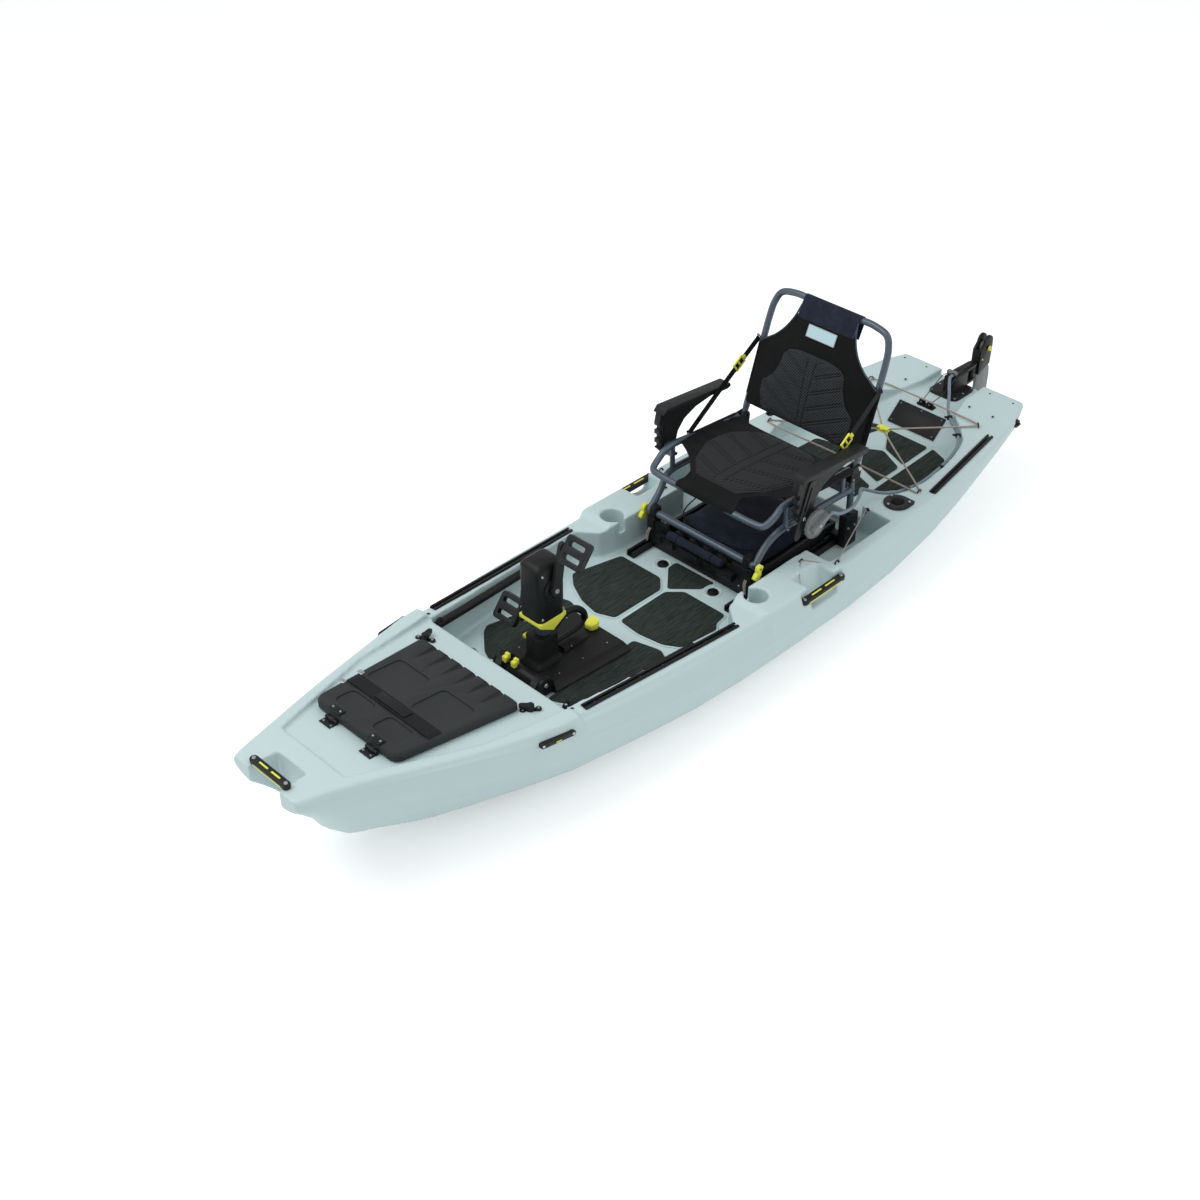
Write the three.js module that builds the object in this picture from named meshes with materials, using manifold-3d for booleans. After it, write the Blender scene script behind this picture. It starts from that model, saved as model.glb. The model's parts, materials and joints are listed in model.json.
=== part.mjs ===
// Sit-on-top pedal kayak with a framed seat, bow hatch, tankwell and hand-steered rudder.
// Millimetres. The bow points along -Y, port is +X, +Z is up. The hull stands on z = 0, midships is y = 0.
import * as THREE from 'three';
import { mergeVertices } from 'three/addons/utils/BufferGeometryUtils.js';
import Module from 'manifold-3d';

const wasm = await Module();
wasm.setup();

// Driving dimensions of the hull
const HULL_LENGTH = 3050;
const HULL_HALF_BEAM = 415;
const BOW_HEIGHT = 406;
const DECK_EDGE_RADIUS = 13;
const BOTTOM_FLAT = 6;
const BOW_NOTCH_HALF_WIDTH = 58;
const BOW_NOTCH_DEPTH = 90;
const STERN_CHANNEL_HALF_WIDTH = 88;
const STERN_CHANNEL_DROP = 126;
const STERN_CHANNEL_FLOOR = BOW_HEIGHT - STERN_CHANNEL_DROP;

// Cockpit, wells and pockets
const COCKPIT_FLOOR = 188;
const BULKHEAD_Y = -735;
const COCKPIT_REAR_Y = 637;
const SEAT_BAY_HALF_WIDTH = 254;
const SIDE_POCKET_HALF_WIDTH = 345;
const SIDE_POCKET_FRONT_Y = 325;
const TANKWELL_FLOOR = 207;
const TANKWELL_FRONT_Y = 690;
const TANKWELL_HALF_WIDTH = 288;
const SLOPE_START_Y = 1218;
const SLOPE_END_Y = 1300;
const SADDLE_TOP = 246;
const SCUPPER_RADIUS = 17;
const CUP_RADIUS = 38;
const CUP_DEPTH = 85;
const DRIVE_Y = -556;
const DRIVE_WELL_RADIUS = 32;
const LEG_TRUNK_TOP = 112;
const LEG_TRUNK_WIDTH = 62;
const LEG_PIVOT_Z = 70;
const LEG_LENGTH = 270;
const PROPELLER_RADIUS = 140;
const PROPELLER_POCKET_TOP = 54;

// Hatch
const HATCH_FRONT_Y = -1240;
const HATCH_REAR_Y = -835;
const HATCH_FRONT_HALF_WIDTH = 170;
const HATCH_REAR_HALF_WIDTH = 200;
const HATCH_THICKNESS = 30;
const HATCH_SLOPE = 0.112;
const HATCH_DECK_DROP = 36;
const HATCH_DECK_FRONT_Z = BOW_HEIGHT - HATCH_DECK_DROP;

// Pedal drive
const CRANK_Z = 504;
const CRANK_LENGTH = 142;
const CRANK_LEAN = 0.19;
const HEAD_BOTTOM_Z = 400;
const HEAD_HALF_WIDTH = 44;
const HEAD_HALF_DEPTH = 50;
const HEAD_TOP_Z = 588;
const COLUMN_TOP_Z = 328;
const PEDAL_WIDTH = 86;
const PEDAL_HEIGHT = 84;
const PEDAL_THICKNESS = 18;
const PEDAL_TILT = 0.913;
const DRIVE_DECK_Z = 232;
const AXLE_RADIUS = 8;
const SHAFT_RADIUS = 4.5;
const CROWN_TEETH = 32;
const PINION_TEETH = 8;
const CROWN_OUTER_RADIUS = 41;

// Seat
const SEAT_TUBE_RADIUS = 11;
const STRUT_RADIUS = 8.8;
const SIDE_TUBE_X = 234;
const SEAT_BASE_HALF_WIDTH = 190;
const SEAT_BASE_FRONT_Y = 112;
const SEAT_BASE_REAR_Y = 560;
const SEAT_BASE_TOP = 292;
const SEAT_BAG_TOP = 302;
const CROSSBAR_Z = 317;
const CROSSBAR_RADIUS = 12;
const CROSSBAR_SETBACK = 8;
const REAR_BLOCK = { innerX: 222, outerX: 251, frontY: 530, rearY: 590, top: 306 };
const REAR_LEG_X = 232;
const REAR_LEG_Y = 566;
const BACK_PIVOT_Y = 580;
const BACK_PIVOT_Z = 466;
const BACK_TUBE_X = 228;
const BACK_HEIGHT = 435;
const BACK_LEAN = 0.3;
const ARM_X = 278;
const ARM = { inner: 267, outer: 289, gap: 1, padWidth: 44, frontY: 214, length: 320, bottomZ: 440,
  height: 178 };
const ARM_PIVOT = { y: 246, z: 464, pin: 6, outer: 294 };
const CAM = { inner: 229.5, outer: 243, pin: 4 };

// Steering and rudder
const DIAL_RADIUS = 48;
const DIAL_Y = 285;
const DIAL_Z = 436;
const DIAL = { thickness: 9, pin: 5 };
const RUDDER_POST_Y = 1574;
const RUDDER_BASE = { socketX: 9, socketY: 1440, socketZ: STERN_CHANNEL_FLOOR + 72, blockHeight: 57 };
const BLADE_PIVOT_Y = 1637;
const BLADE_PIVOT_RISE = 108;
const BLADE_PIVOT_Z = STERN_CHANNEL_FLOOR + BLADE_PIVOT_RISE;
const BLADE_LENGTH = 330;
const BLADE_CHORD = 84;

// Grab handles and gear tracks
const HANDLE_INSET = 17;
const HANDLE_X = HULL_HALF_BEAM - HANDLE_INSET;
const HANDLE_FRONT_Y = 144;
const HANDLE_REAR_Y = 317;
const HANDLE_DROP = 148;
const HANDLE_Z = BOW_HEIGHT - HANDLE_DROP;
const HANDLE_WIDTH = 24;
const HANDLE_THICKNESS = 15;
const BOW_HANDLE_Y = -1503;
const BOW_HANDLE_HALF_SPAN = 78;
const TRACK_WIDTH = 22;
const TRACK_HEIGHT = 9;
const TRACK_DEPTH = 5;
const RAIL_X = 205;
const RAIL_WIDTH = 30;
const RAIL_HEIGHT = 20;
const PLUG_RADIUS = 15;
const CLAMP_X = 217;
const CLAMP_Y = -812;
const CLAMP_REACH = 33;
const TRACKS = {
  front: { fromX: HULL_HALF_BEAM - 104, fromY: -707, toX: HULL_HALF_BEAM - 71, toY: -105 },
  rear: { fromX: HULL_HALF_BEAM - 69, fromY: 855, toX: HULL_HALF_BEAM - 124, toY: 1268 },
};
const ROD_HOLDER = { x: 300, y: 729, boreRadius: 24, wall: 3.5, depth: 130, tilt: 0.45, flangeRadius: 44 };
const DRAIN_PLUG = { y: 1430, z: STERN_CHANNEL_FLOOR, radius: 15, seatX: HULL_HALF_BEAM * 0.6795 };
const HINGE = { x: 83, setback: 7, rise: 8, barrel: 6, pin: 3, halfWidth: 22, knuckle: 8, leaf: 26,
  sheet: 3 };

// Shared clearances and facet counts
const SEAT_GAP = 0.3;
const RUN_GAP = 0.5;
const CUT_OVERRUN = 40;
const ROUND_SIDES = 16;
const SMALL_SIDES = 12;
const TUBE_SIDES = 10;
const CORD_SIDES = 8;
const LOOP_STEPS = 30;
const MERGE_GAP = 0.0001;

const HALF_LENGTH = HULL_LENGTH / 2;
const FULL_TURN = Math.PI * 2;
const QUARTER_TURN = Math.PI / 2;
const SIDES = { port: 1, starboard: -1 };

// Colours, roughness and metalness of the materials
const finishes = {
  hull: { color: 0xbfd5d8, roughness: 0.55, metalness: 0 },
  black: { color: 0x17181a, roughness: 0.5, metalness: 0 },
  charcoal: { color: 0x2b2d30, roughness: 0.6, metalness: 0 },
  yellow: { color: 0xdfe04a, roughness: 0.45, metalness: 0 },
  grey: { color: 0x75787a, roughness: 0.5, metalness: 0 },
  frame: { color: 0x4b5866, roughness: 0.4, metalness: 0.5 },
  steel: { color: 0x9aa0a6, roughness: 0.35, metalness: 0.9 },
  navy: { color: 0x27303f, roughness: 0.9, metalness: 0 },
  mesh: { color: 0x202123, roughness: 0.9, metalness: 0 },
  cord: { color: 0x8f7f74, roughness: 0.8, metalness: 0 },
};

const kayak = new THREE.Group();

// Signed volume of an indexed triangle mesh, negative where its faces point in.
function signedVolume(points, triangles) {
  const corner = (index) => new THREE.Vector3().fromArray(points, 3 * index);
  let volume = 0;
  for (let first = 0; first < triangles.length; first += 3) {
    const [a, b, c] = [0, 1, 2].map((step) => corner(triangles[first + step]));
    volume += a.dot(b.cross(c)) / 6;
  }
  return volume;
}

// Turns a closed geometry into a solid that can be joined and cut.
function solid(geometry) {
  const bare = geometry.clone();
  bare.deleteAttribute('normal');
  bare.deleteAttribute('uv');
  const merged = mergeVertices(bare, MERGE_GAP);
  const vertProperties = new Float32Array(merged.attributes.position.array);
  const triangles = [];
  for (let first = 0; first < merged.index.count; first += 3) {
    const [a, b, c] = merged.index.array.slice(first, first + 3);
    if (a !== b && b !== c && c !== a) triangles.push(a, b, c);
  }
  if (signedVolume(vertProperties, triangles) < 0) triangles.reverse();
  const triVerts = new Uint32Array(triangles);
  return new wasm.Manifold(new wasm.Mesh({ numProp: 3, vertProperties, triVerts }));
}

// Turns a solid back into a geometry with flat faces.
function geometryOf(manifold) {
  const mesh = manifold.getMesh();
  const points = [];
  for (let corner = 0; corner < mesh.vertProperties.length / mesh.numProp; corner += 1) {
    const start = corner * mesh.numProp;
    points.push(...mesh.vertProperties.slice(start, start + 3));
  }
  const geometry = new THREE.BufferGeometry();
  geometry.setAttribute('position', new THREE.Float32BufferAttribute(points, 3));
  geometry.setIndex([...mesh.triVerts]);
  geometry.computeVertexNormals();
  return geometry;
}

// Adds one named piece to the kayak, or to the nested group that carries it.
function piece(name, manifold, finish, carrier = kayak) {
  const mesh = new THREE.Mesh(geometryOf(manifold), new THREE.MeshStandardMaterial(finishes[finish]));
  mesh.name = name;
  carrier.add(mesh);
  return mesh;
}

// Adds a group that is placed at a point and turned about X.
function carrierAt(x, y, z, turnX = 0) {
  const carrier = new THREE.Group();
  carrier.position.set(x, y, z);
  carrier.rotation.x = turnX;
  kayak.add(carrier);
  return carrier;
}

const join = (first, ...others) => others.reduce((whole, other) => whole.add(other), first);
const cut = (first, ...others) => others.reduce((whole, other) => whole.subtract(other), first);

function extruded(outline, depth, options = {}) {
  const shape = new THREE.Shape(outline.map(([across, up]) => new THREE.Vector2(across, up)));
  return new THREE.ExtrudeGeometry(shape, { depth, bevelEnabled: false, ...options });
}

// Prisms along each axis, from an outline in the other two and the two ends.
function prismZ(outline, bottom, top) {
  return solid(extruded(outline, top - bottom).translate(0, 0, bottom));
}

function prismX(outline, left, right) {
  const toYz = new THREE.Matrix4().makeBasis(
    new THREE.Vector3(0, 1, 0), new THREE.Vector3(0, 0, 1), new THREE.Vector3(1, 0, 0));
  return solid(extruded(outline, right - left).applyMatrix4(toYz).translate(left, 0, 0));
}

function prismY(outline, front, rear) {
  const toXz = new THREE.Matrix4().makeBasis(
    new THREE.Vector3(1, 0, 0), new THREE.Vector3(0, 0, 1), new THREE.Vector3(0, -1, 0));
  return solid(extruded(outline, rear - front).applyMatrix4(toXz).translate(0, rear, 0));
}

// A box from its two corners.
function box(x0, x1, y0, y1, z0, z1) {
  const geometry = new THREE.BoxGeometry(Math.abs(x1 - x0), Math.abs(y1 - y0), Math.abs(z1 - z0));
  return solid(geometry.translate((x0 + x1) / 2, (y0 + y1) / 2, (z0 + z1) / 2));
}

// A round rod between two points, tapered where a second radius is given.
function rod(from, to, radius, sides = ROUND_SIDES, endRadius = radius) {
  const start = new THREE.Vector3(...from);
  const way = new THREE.Vector3(...to).sub(start);
  const geometry = new THREE.CylinderGeometry(endRadius, radius, way.length(), sides);
  const turn = new THREE.Quaternion().setFromUnitVectors(new THREE.Vector3(0, 1, 0), way.clone().normalize());
  geometry.applyQuaternion(turn);
  const middle = start.addScaledVector(way, 1 / 2);
  return solid(geometry.translate(middle.x, middle.y, middle.z));
}

// A round tube along a smooth curve through the points.
function pipe(points, radius, steps, sides = SMALL_SIDES, closed = false) {
  const path = new THREE.CatmullRomCurve3(points.map((point) => new THREE.Vector3(...point)), closed,
    'centripetal');
  const ring = Array.from({ length: sides }, (_, side) => {
    const angle = (FULL_TURN * side) / sides;
    return [radius * Math.cos(angle), radius * Math.sin(angle)];
  });
  return solid(extruded(ring, 1, { steps, extrudePath: path }));
}

// A straight beam along a line that may slope, from its profile across and up.
function beam(profile, from, to) {
  const start = new THREE.Vector3(...from);
  const along = new THREE.Vector3(...to).sub(start);
  const length = along.length();
  along.normalize();
  const across = new THREE.Vector3(0, 0, 1).cross(along).normalize();
  const turn = new THREE.Matrix4().makeBasis(across, along.clone().cross(across), along);
  return solid(extruded(profile, length).applyMatrix4(turn).translate(...from));
}

const rectangle = (halfWidth, bottom, top) =>
  [[-halfWidth, bottom], [halfWidth, bottom], [halfWidth, top], [-halfWidth, top]];

// The lower and the higher x of a span that is given outwards on one side.
const spanX = (side, inner, outer) => (side > 0 ? [inner, outer] : [-outer, -inner]);

// Points of an arc, from one angle to another, ends included.
function arc(centreX, centreY, radius, fromAngle, toAngle, steps) {
  return Array.from({ length: steps + 1 }, (_, step) => {
    const angle = fromAngle + ((toAngle - fromAngle) * step) / steps;
    return [centreX + radius * Math.cos(angle), centreY + radius * Math.sin(angle)];
  });
}

// A rounded rectangle from its two corners.
function roundedRectangle(x0, x1, y0, y1, radius, steps = 4) {
  const corners = [[x1, y1, 0], [x0, y1, 1], [x0, y0, 2], [x1, y0, 3]];
  return corners.flatMap(([x, y, quarter]) => {
    const inX = x - Math.sign(x - (x0 + x1) / 2) * radius;
    const inY = y - Math.sign(y - (y0 + y1) / 2) * radius;
    return arc(inX, inY, radius, quarter * QUARTER_TURN, (quarter + 1) * QUARTER_TURN, steps);
  });
}

// Mirrors the half outline on the port side into a whole one across x = 0.
function mirroredOutline(half) {
  return [...half, ...half.map(([x, y]) => [-x, y]).reverse()];
}

// A closed skin over rings that all have the same count of points.
function loft(rings) {
  const count = rings[0].length;
  const points = rings.flat(2);
  const triangles = [];
  for (let ring = 0; ring + 1 < rings.length; ring += 1) {
    for (let side = 0; side < count; side += 1) {
      const a = ring * count + side;
      const b = ring * count + ((side + 1) % count);
      triangles.push(a, b, a + count, b, b + count, a + count);
    }
  }
  [0, rings.length - 1].forEach((ring) => {
    const middle = rings[ring].reduce((sum, point) => sum.add(new THREE.Vector3(...point)),
      new THREE.Vector3());
    const hub = points.length / 3;
    points.push(...middle.divideScalar(count).toArray());
    for (let side = 0; side < count; side += 1) {
      const a = ring * count + side;
      const b = ring * count + ((side + 1) % count);
      triangles.push(...(ring === 0 ? [b, a, hub] : [a, b, hub]));
    }
  });
  const geometry = new THREE.BufferGeometry();
  geometry.setAttribute('position', new THREE.Float32BufferAttribute(points, 3));
  geometry.setIndex(triangles);
  return solid(geometry);
}

// Hull sections from bow to stern. Each row holds the place along half the length, the widest half beam,
// the deck height and the keel height as shares of the bow height, the top edge's half width as a share of
// the half beam, the height of the widest line as a share of the depth, and the fullness of the bilge.
const hullSectionShares = [
  [-1, 0.318, 1, 0.872, 0.312, 0.86, 2.6],
  [-0.982, 0.35, 1, 0.8, 0.338, 0.88, 2.5],
  [-0.944, 0.386, 0.996, 0.62, 0.372, 0.9, 2.3],
  [-0.92, 0.412, 0.988, 0.45, 0.4, 0.92, 2.1],
  [-0.885, 0.452, 0.975, 0.31, 0.438, 0.94, 2],
  [-0.854, 0.49, 0.963, 0.232, 0.475, 0.95, 1.9],
  [-0.803, 0.556, 0.938, 0.158, 0.538, 0.96, 1.9],
  [-0.741, 0.63, 0.908, 0.108, 0.608, 0.96, 2],
  [-0.666, 0.712, 0.874, 0.072, 0.686, 0.95, 2.1],
  [-0.59, 0.788, 0.848, 0.048, 0.758, 0.92, 2.2],
  [-0.528, 0.843, 0.832, 0.038, 0.81, 0.88, 2.25],
  [-0.487, 0.872, 0.824, 0.034, 0.822, 0.84, 2.3],
  [-0.48, 0.875, 0.8, 0.033, 0.79, 0.84, 2.3],
  [-0.393, 0.912, 0.776, 0.026, 0.828, 0.8, 2.35],
  [-0.295, 0.944, 0.754, 0.016, 0.86, 0.76, 2.4],
  [-0.193, 0.967, 0.734, 0.008, 0.885, 0.73, 2.5],
  [-0.079, 0.984, 0.714, 0, 0.904, 0.72, 2.5],
  [-0.02, 0.99, 0.708, 0, 0.914, 0.72, 2.5],
  [-0.005, 0.993, 0.738, 0, 0.944, 0.7, 2.5],
  [0.085, 1, 0.732, 0, 0.95, 0.7, 2.5],
  [0.262, 0.998, 0.722, 0, 0.948, 0.71, 2.5],
  [0.42, 0.969, 0.716, 0, 0.925, 0.74, 2.45],
  [0.565, 0.93, 0.718, 0.03, 0.9, 0.8, 2.3],
  [0.656, 0.892, 0.724, 0.075, 0.87, 0.86, 2.2],
  [0.738, 0.848, 0.733, 0.13, 0.832, 0.91, 2.1],
  [0.852, 0.776, 0.746, 0.225, 0.765, 0.95, 2],
  [0.942, 0.704, 0.758, 0.32, 0.695, 0.96, 2],
  [1, 0.618, 0.761, 0.405, 0.61, 0.96, 2],
];
const BILGE_STEPS = 7;

function hullSection([placeShare, beamShare, deckShare, keelShare, edgeShare, widestShare, fullness]) {
  const place = placeShare * HALF_LENGTH;
  const beam = beamShare * HULL_HALF_BEAM;
  const deck = deckShare * BOW_HEIGHT;
  const keel = keelShare * BOW_HEIGHT;
  const edge = edgeShare * HULL_HALF_BEAM;
  const widest = keel + widestShare * (deck - keel);
  const half = [];
  for (let step = 1; step <= BILGE_STEPS; step += 1) {
    const angle = (QUARTER_TURN * step) / BILGE_STEPS;
    const rise = (widest - keel) * (1 - Math.max(Math.cos(angle), 0) ** (2 / fullness));
    half.push([beam * Math.sin(angle) ** (2 / fullness), keel + Math.max(rise - BOTTOM_FLAT, 0)]);
  }
  const shoulder_share = 0.3;
  const inner_edge_share = 0.3;
  half.push([edge + (beam - edge) * shoulder_share,
    deck - DECK_EDGE_RADIUS - shoulder_share * (deck - widest) / 2]);
  half.push([edge, deck - DECK_EDGE_RADIUS]);
  half.push([edge - DECK_EDGE_RADIUS * inner_edge_share, deck - DECK_EDGE_RADIUS * inner_edge_share]);
  half.push([edge - DECK_EDGE_RADIUS, deck]);
  const outline = [[0, keel], ...half, [0, deck], ...half.map(([x, z]) => [-x, z]).reverse()];
  return outline.map(([x, z]) => [x, place, z]);
}

// Height of the sloping deck that the hatch lies on.
function hatchDeckHeight(y) {
  return HATCH_DECK_FRONT_Z - HATCH_SLOPE * (y - HATCH_FRONT_Y);
}

// The two tunnels between the centre keel and the side chines under the bow.
function bowTunnels() {
  const tunnel = { x: 128, y: -1370, z: 86, halfWidth: 62, halfLength: 360, halfHeight: 92, tilt: -0.2 };
  return Object.values(SIDES).map((side) => {
    const geometry = new THREE.SphereGeometry(1, SMALL_SIDES, CORD_SIDES);
    geometry.scale(tunnel.halfWidth, tunnel.halfLength, tunnel.halfHeight).rotateX(tunnel.tilt);
    return solid(geometry.translate(side * tunnel.x, tunnel.y, tunnel.z));
  });
}

// Half of the cockpit's outline, from the bulkhead to its rear wall.
function cockpitHalf() {
  const wall_shares = { bulkhead: 1.1, front: 1.15, middle: 1.225, wide: 1.287, pod: 1.05 };
  const [frontY, middleY, wideY, podY, bayY] = [-600, -387, -102, -52, 0];
  return [
    [SEAT_BAY_HALF_WIDTH * wall_shares.bulkhead, BULKHEAD_Y],
    [SEAT_BAY_HALF_WIDTH * wall_shares.front, frontY],
    [SEAT_BAY_HALF_WIDTH * wall_shares.middle, middleY],
    [SEAT_BAY_HALF_WIDTH * wall_shares.wide, wideY],
    [SEAT_BAY_HALF_WIDTH * wall_shares.pod, podY],
    [SEAT_BAY_HALF_WIDTH, bayY],
    [SEAT_BAY_HALF_WIDTH, SIDE_POCKET_FRONT_Y],
    [SIDE_POCKET_HALF_WIDTH, SIDE_POCKET_FRONT_Y],
    [SIDE_POCKET_HALF_WIDTH, COCKPIT_REAR_Y],
  ];
}

// The tankwell's rim with the stern channel, and its floor that climbs at the rear.
function tankwellCut() {
  const rim_shares = [[0.83, -0.01], [0.955, 0.19], [1, 0.34], [0.97, 0.55], [0.935, 0.66], [0.875, 0.76],
    [0.8, 0.84], [0.6, 0.94], [0.41, 1.02], [0.32, 1.2]];
  const wellLength = 600;
  const above = BOW_HEIGHT + CUT_OVERRUN;
  const rim = rim_shares.map(([across, along]) =>
    [TANKWELL_HALF_WIDTH * across, TANKWELL_FRONT_Y + wellLength * along]);
  rim.push([STERN_CHANNEL_HALF_WIDTH, HALF_LENGTH + CUT_OVERRUN]);
  const side = [[TANKWELL_FRONT_Y, TANKWELL_FLOOR], [SLOPE_START_Y, TANKWELL_FLOOR], [SLOPE_END_Y,
    STERN_CHANNEL_FLOOR],
    [HALF_LENGTH + CUT_OVERRUN, STERN_CHANNEL_FLOOR], [HALF_LENGTH + CUT_OVERRUN, above],
    [TANKWELL_FRONT_Y, above]];
  const plan = prismZ(mirroredOutline(rim), 0, above);
  return plan.intersect(prismX(side, -HULL_HALF_BEAM, HULL_HALF_BEAM));
}

// Cup holder bore with the slot that opens it towards the cockpit.
function cupHolder(side) {
  const cup = { x: 298, y: 34, slotHalfWidth: 13, rimZ: BOW_HEIGHT - 109 };
  const bottom = cup.rimZ - CUP_DEPTH;
  const top = cup.rimZ + CUT_OVERRUN;
  const bore = rod([side * cup.x, cup.y, bottom], [side * cup.x, cup.y, top], CUP_RADIUS);
  const slotInner = side * (SEAT_BAY_HALF_WIDTH - CUT_OVERRUN);
  const slot = box(slotInner, side * cup.x, cup.y - cup.slotHalfWidth, cup.y + cup.slotHalfWidth,
    bottom + CUP_RADIUS, top);
  return join(bore, slot);
}

// The scoop under a side handle, open outboard.
function handleRecess(side) {
  const scoop = { innerX: HANDLE_X - 98, innerZ: HANDLE_Z + 60, floorX: HANDLE_X - 32, floorZ: HANDLE_Z - 30,
    outerX: HANDLE_X + 72, endInset: 26 };
  const profile = [[scoop.innerX, scoop.innerZ], [scoop.floorX, scoop.floorZ], [scoop.outerX, scoop.floorZ],
    [scoop.outerX, scoop.innerZ]].map(([x, z]) => [side * x, z]);
  const seatHalf = HANDLE_WIDTH / 2 + RUN_GAP;
  const ledge = box(side * (HANDLE_X - seatHalf), side * scoop.outerX, HANDLE_FRONT_Y - seatHalf,
    HANDLE_REAR_Y + seatHalf, HANDLE_Z, scoop.innerZ);
  return join(prismY(profile, HANDLE_FRONT_Y + scoop.endInset, HANDLE_REAR_Y - scoop.endInset), ledge);
}

// The rod holder's bore, tilted rearward, between its foot and a point above the deck.
function rodBore(radius, footRise, topRise) {
  const along = (rise) => [ROD_HOLDER.x, ROD_HOLDER.y + rise * Math.sin(ROD_HOLDER.tilt),
    deckHeight(ROD_HOLDER.y) + rise * Math.cos(ROD_HOLDER.tilt)];
  return rod(along(footRise), along(topRise), radius);
}

// Height of the deck along the hull, straight between the sections.
function deckHeight(y) {
  const place = y / HALF_LENGTH;
  const after = Math.max(hullSectionShares.findIndex(([share]) => share >= place), 1);
  const [before, next] = [hullSectionShares[after - 1], hullSectionShares[after]];
  return BOW_HEIGHT * (before[2] + ((next[2] - before[2]) * (place - before[0])) / (next[0] - before[0]));
}

// Foot of a gear track's slot on one side, raised by a lift and shortened at both ends.
function trackLine({ fromX, fromY, toX, toY }, side, lift, shortening = 0) {
  return [[fromX, fromY, fromY + shortening], [toX, toY, toY - shortening]].map(([x, deckY, y]) =>
    [side * x, y, deckHeight(deckY) - TRACK_DEPTH + lift]);
}

const drainPocket = (radius, from, to) =>
  rod([from, DRAIN_PLUG.y, DRAIN_PLUG.z], [to, DRAIN_PLUG.y, DRAIN_PLUG.z], radius);

function hull() {
  let body = loft(hullSectionShares.map(hullSection));
  const below = -CUT_OVERRUN;
  const above = BOW_HEIGHT + CUT_OVERRUN;
  const notchRear = -HALF_LENGTH + BOW_NOTCH_DEPTH;
  const notchFlare = 8;
  const notch = prismZ([[-BOW_NOTCH_HALF_WIDTH - notchFlare, -HALF_LENGTH - CUT_OVERRUN],
    [BOW_NOTCH_HALF_WIDTH + notchFlare, -HALF_LENGTH - CUT_OVERRUN],
    [BOW_NOTCH_HALF_WIDTH, notchRear], [-BOW_NOTCH_HALF_WIDTH, notchRear]], below, above);
  const hatchDeck = { tipY: -1370, tipHalfWidth: 132, midY: -1015, midHalfWidth: 252, rearHalfWidth: 292 };
  const deckPlan = prismZ(mirroredOutline([[hatchDeck.tipHalfWidth, hatchDeck.tipY],
    [hatchDeck.midHalfWidth, hatchDeck.midY], [hatchDeck.rearHalfWidth, BULKHEAD_Y]]), below, above);
  const deckSide = prismX([[hatchDeck.tipY, hatchDeckHeight(hatchDeck.tipY)], [BULKHEAD_Y,
    hatchDeckHeight(BULKHEAD_Y)],
    [BULKHEAD_Y, above], [hatchDeck.tipY, above]], -HULL_HALF_BEAM, HULL_HALF_BEAM);
  const hatchDeckCut = deckPlan.intersect(deckSide);
  const tub = { inset: 26, rearInset: 48, floor: 150 };
  const compartment = prismZ(mirroredOutline([
    [HATCH_FRONT_HALF_WIDTH - tub.inset, HATCH_FRONT_Y + tub.inset],
    [HATCH_REAR_HALF_WIDTH - tub.rearInset, HATCH_REAR_Y - tub.inset]]), tub.floor, above);
  const cockpit = prismZ(mirroredOutline(cockpitHalf()), COCKPIT_FLOOR, above);
  const saddle = { halfWidth: 230 };
  const saddleCut = box(-saddle.halfWidth, saddle.halfWidth, COCKPIT_REAR_Y - CUT_OVERRUN,
    TANKWELL_FRONT_Y + CUT_OVERRUN, SADDLE_TOP, above);
  const driveWell = rod([0, DRIVE_Y, below], [0, DRIVE_Y, COCKPIT_FLOOR + CUT_OVERRUN], DRIVE_WELL_RADIUS);
  const trunkRear = DRIVE_Y + DRIVE_WELL_RADIUS;
  const legEnd = DRIVE_Y - LEG_LENGTH;
  const trunk = box(-LEG_TRUNK_WIDTH / 2, LEG_TRUNK_WIDTH / 2, legEnd - LEG_TRUNK_WIDTH / 2, trunkRear,
    below, LEG_TRUNK_TOP);
  const pocketGap = 10;
  const pocket = rod([0, legEnd, below], [0, legEnd, PROPELLER_POCKET_TOP], PROPELLER_RADIUS + pocketGap);
  const scuppers = scupperPlaces().map(([x, y]) => rod([x, y, below], [x, y, COCKPIT_FLOOR + CUT_OVERRUN],
    SCUPPER_RADIUS));
  const drain = drainPocket(DRAIN_PLUG.radius + RUN_GAP, DRAIN_PLUG.seatX, DRAIN_PLUG.seatX + CUT_OVERRUN);
  body = cut(body, notch, hatchDeckCut, compartment, cockpit, saddleCut, tankwellCut(), driveWell, trunk,
    pocket,
    rodBore(ROD_HOLDER.boreRadius, -ROD_HOLDER.depth, CUT_OVERRUN), drain, ...bowTunnels(), ...scuppers);
  const slot = rectangle(TRACK_WIDTH / 2 + RUN_GAP, 0, CUT_OVERRUN);
  Object.values(SIDES).forEach((side) => {
    const slots = Object.values(TRACKS).map((track) => beam(slot, ...trackLine(track, side, 0)));
    body = cut(body, cupHolder(side), handleRecess(side), ...slots);
  });
  piece('hull', body, 'hull');
}

function scupperPlaces() {
  const front = { x: 210, y: -660 };
  const seat = { x: 105, y: 66 };
  return [front, seat].flatMap(({ x, y }) => [[x, y], [-x, y]]);
}


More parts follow.
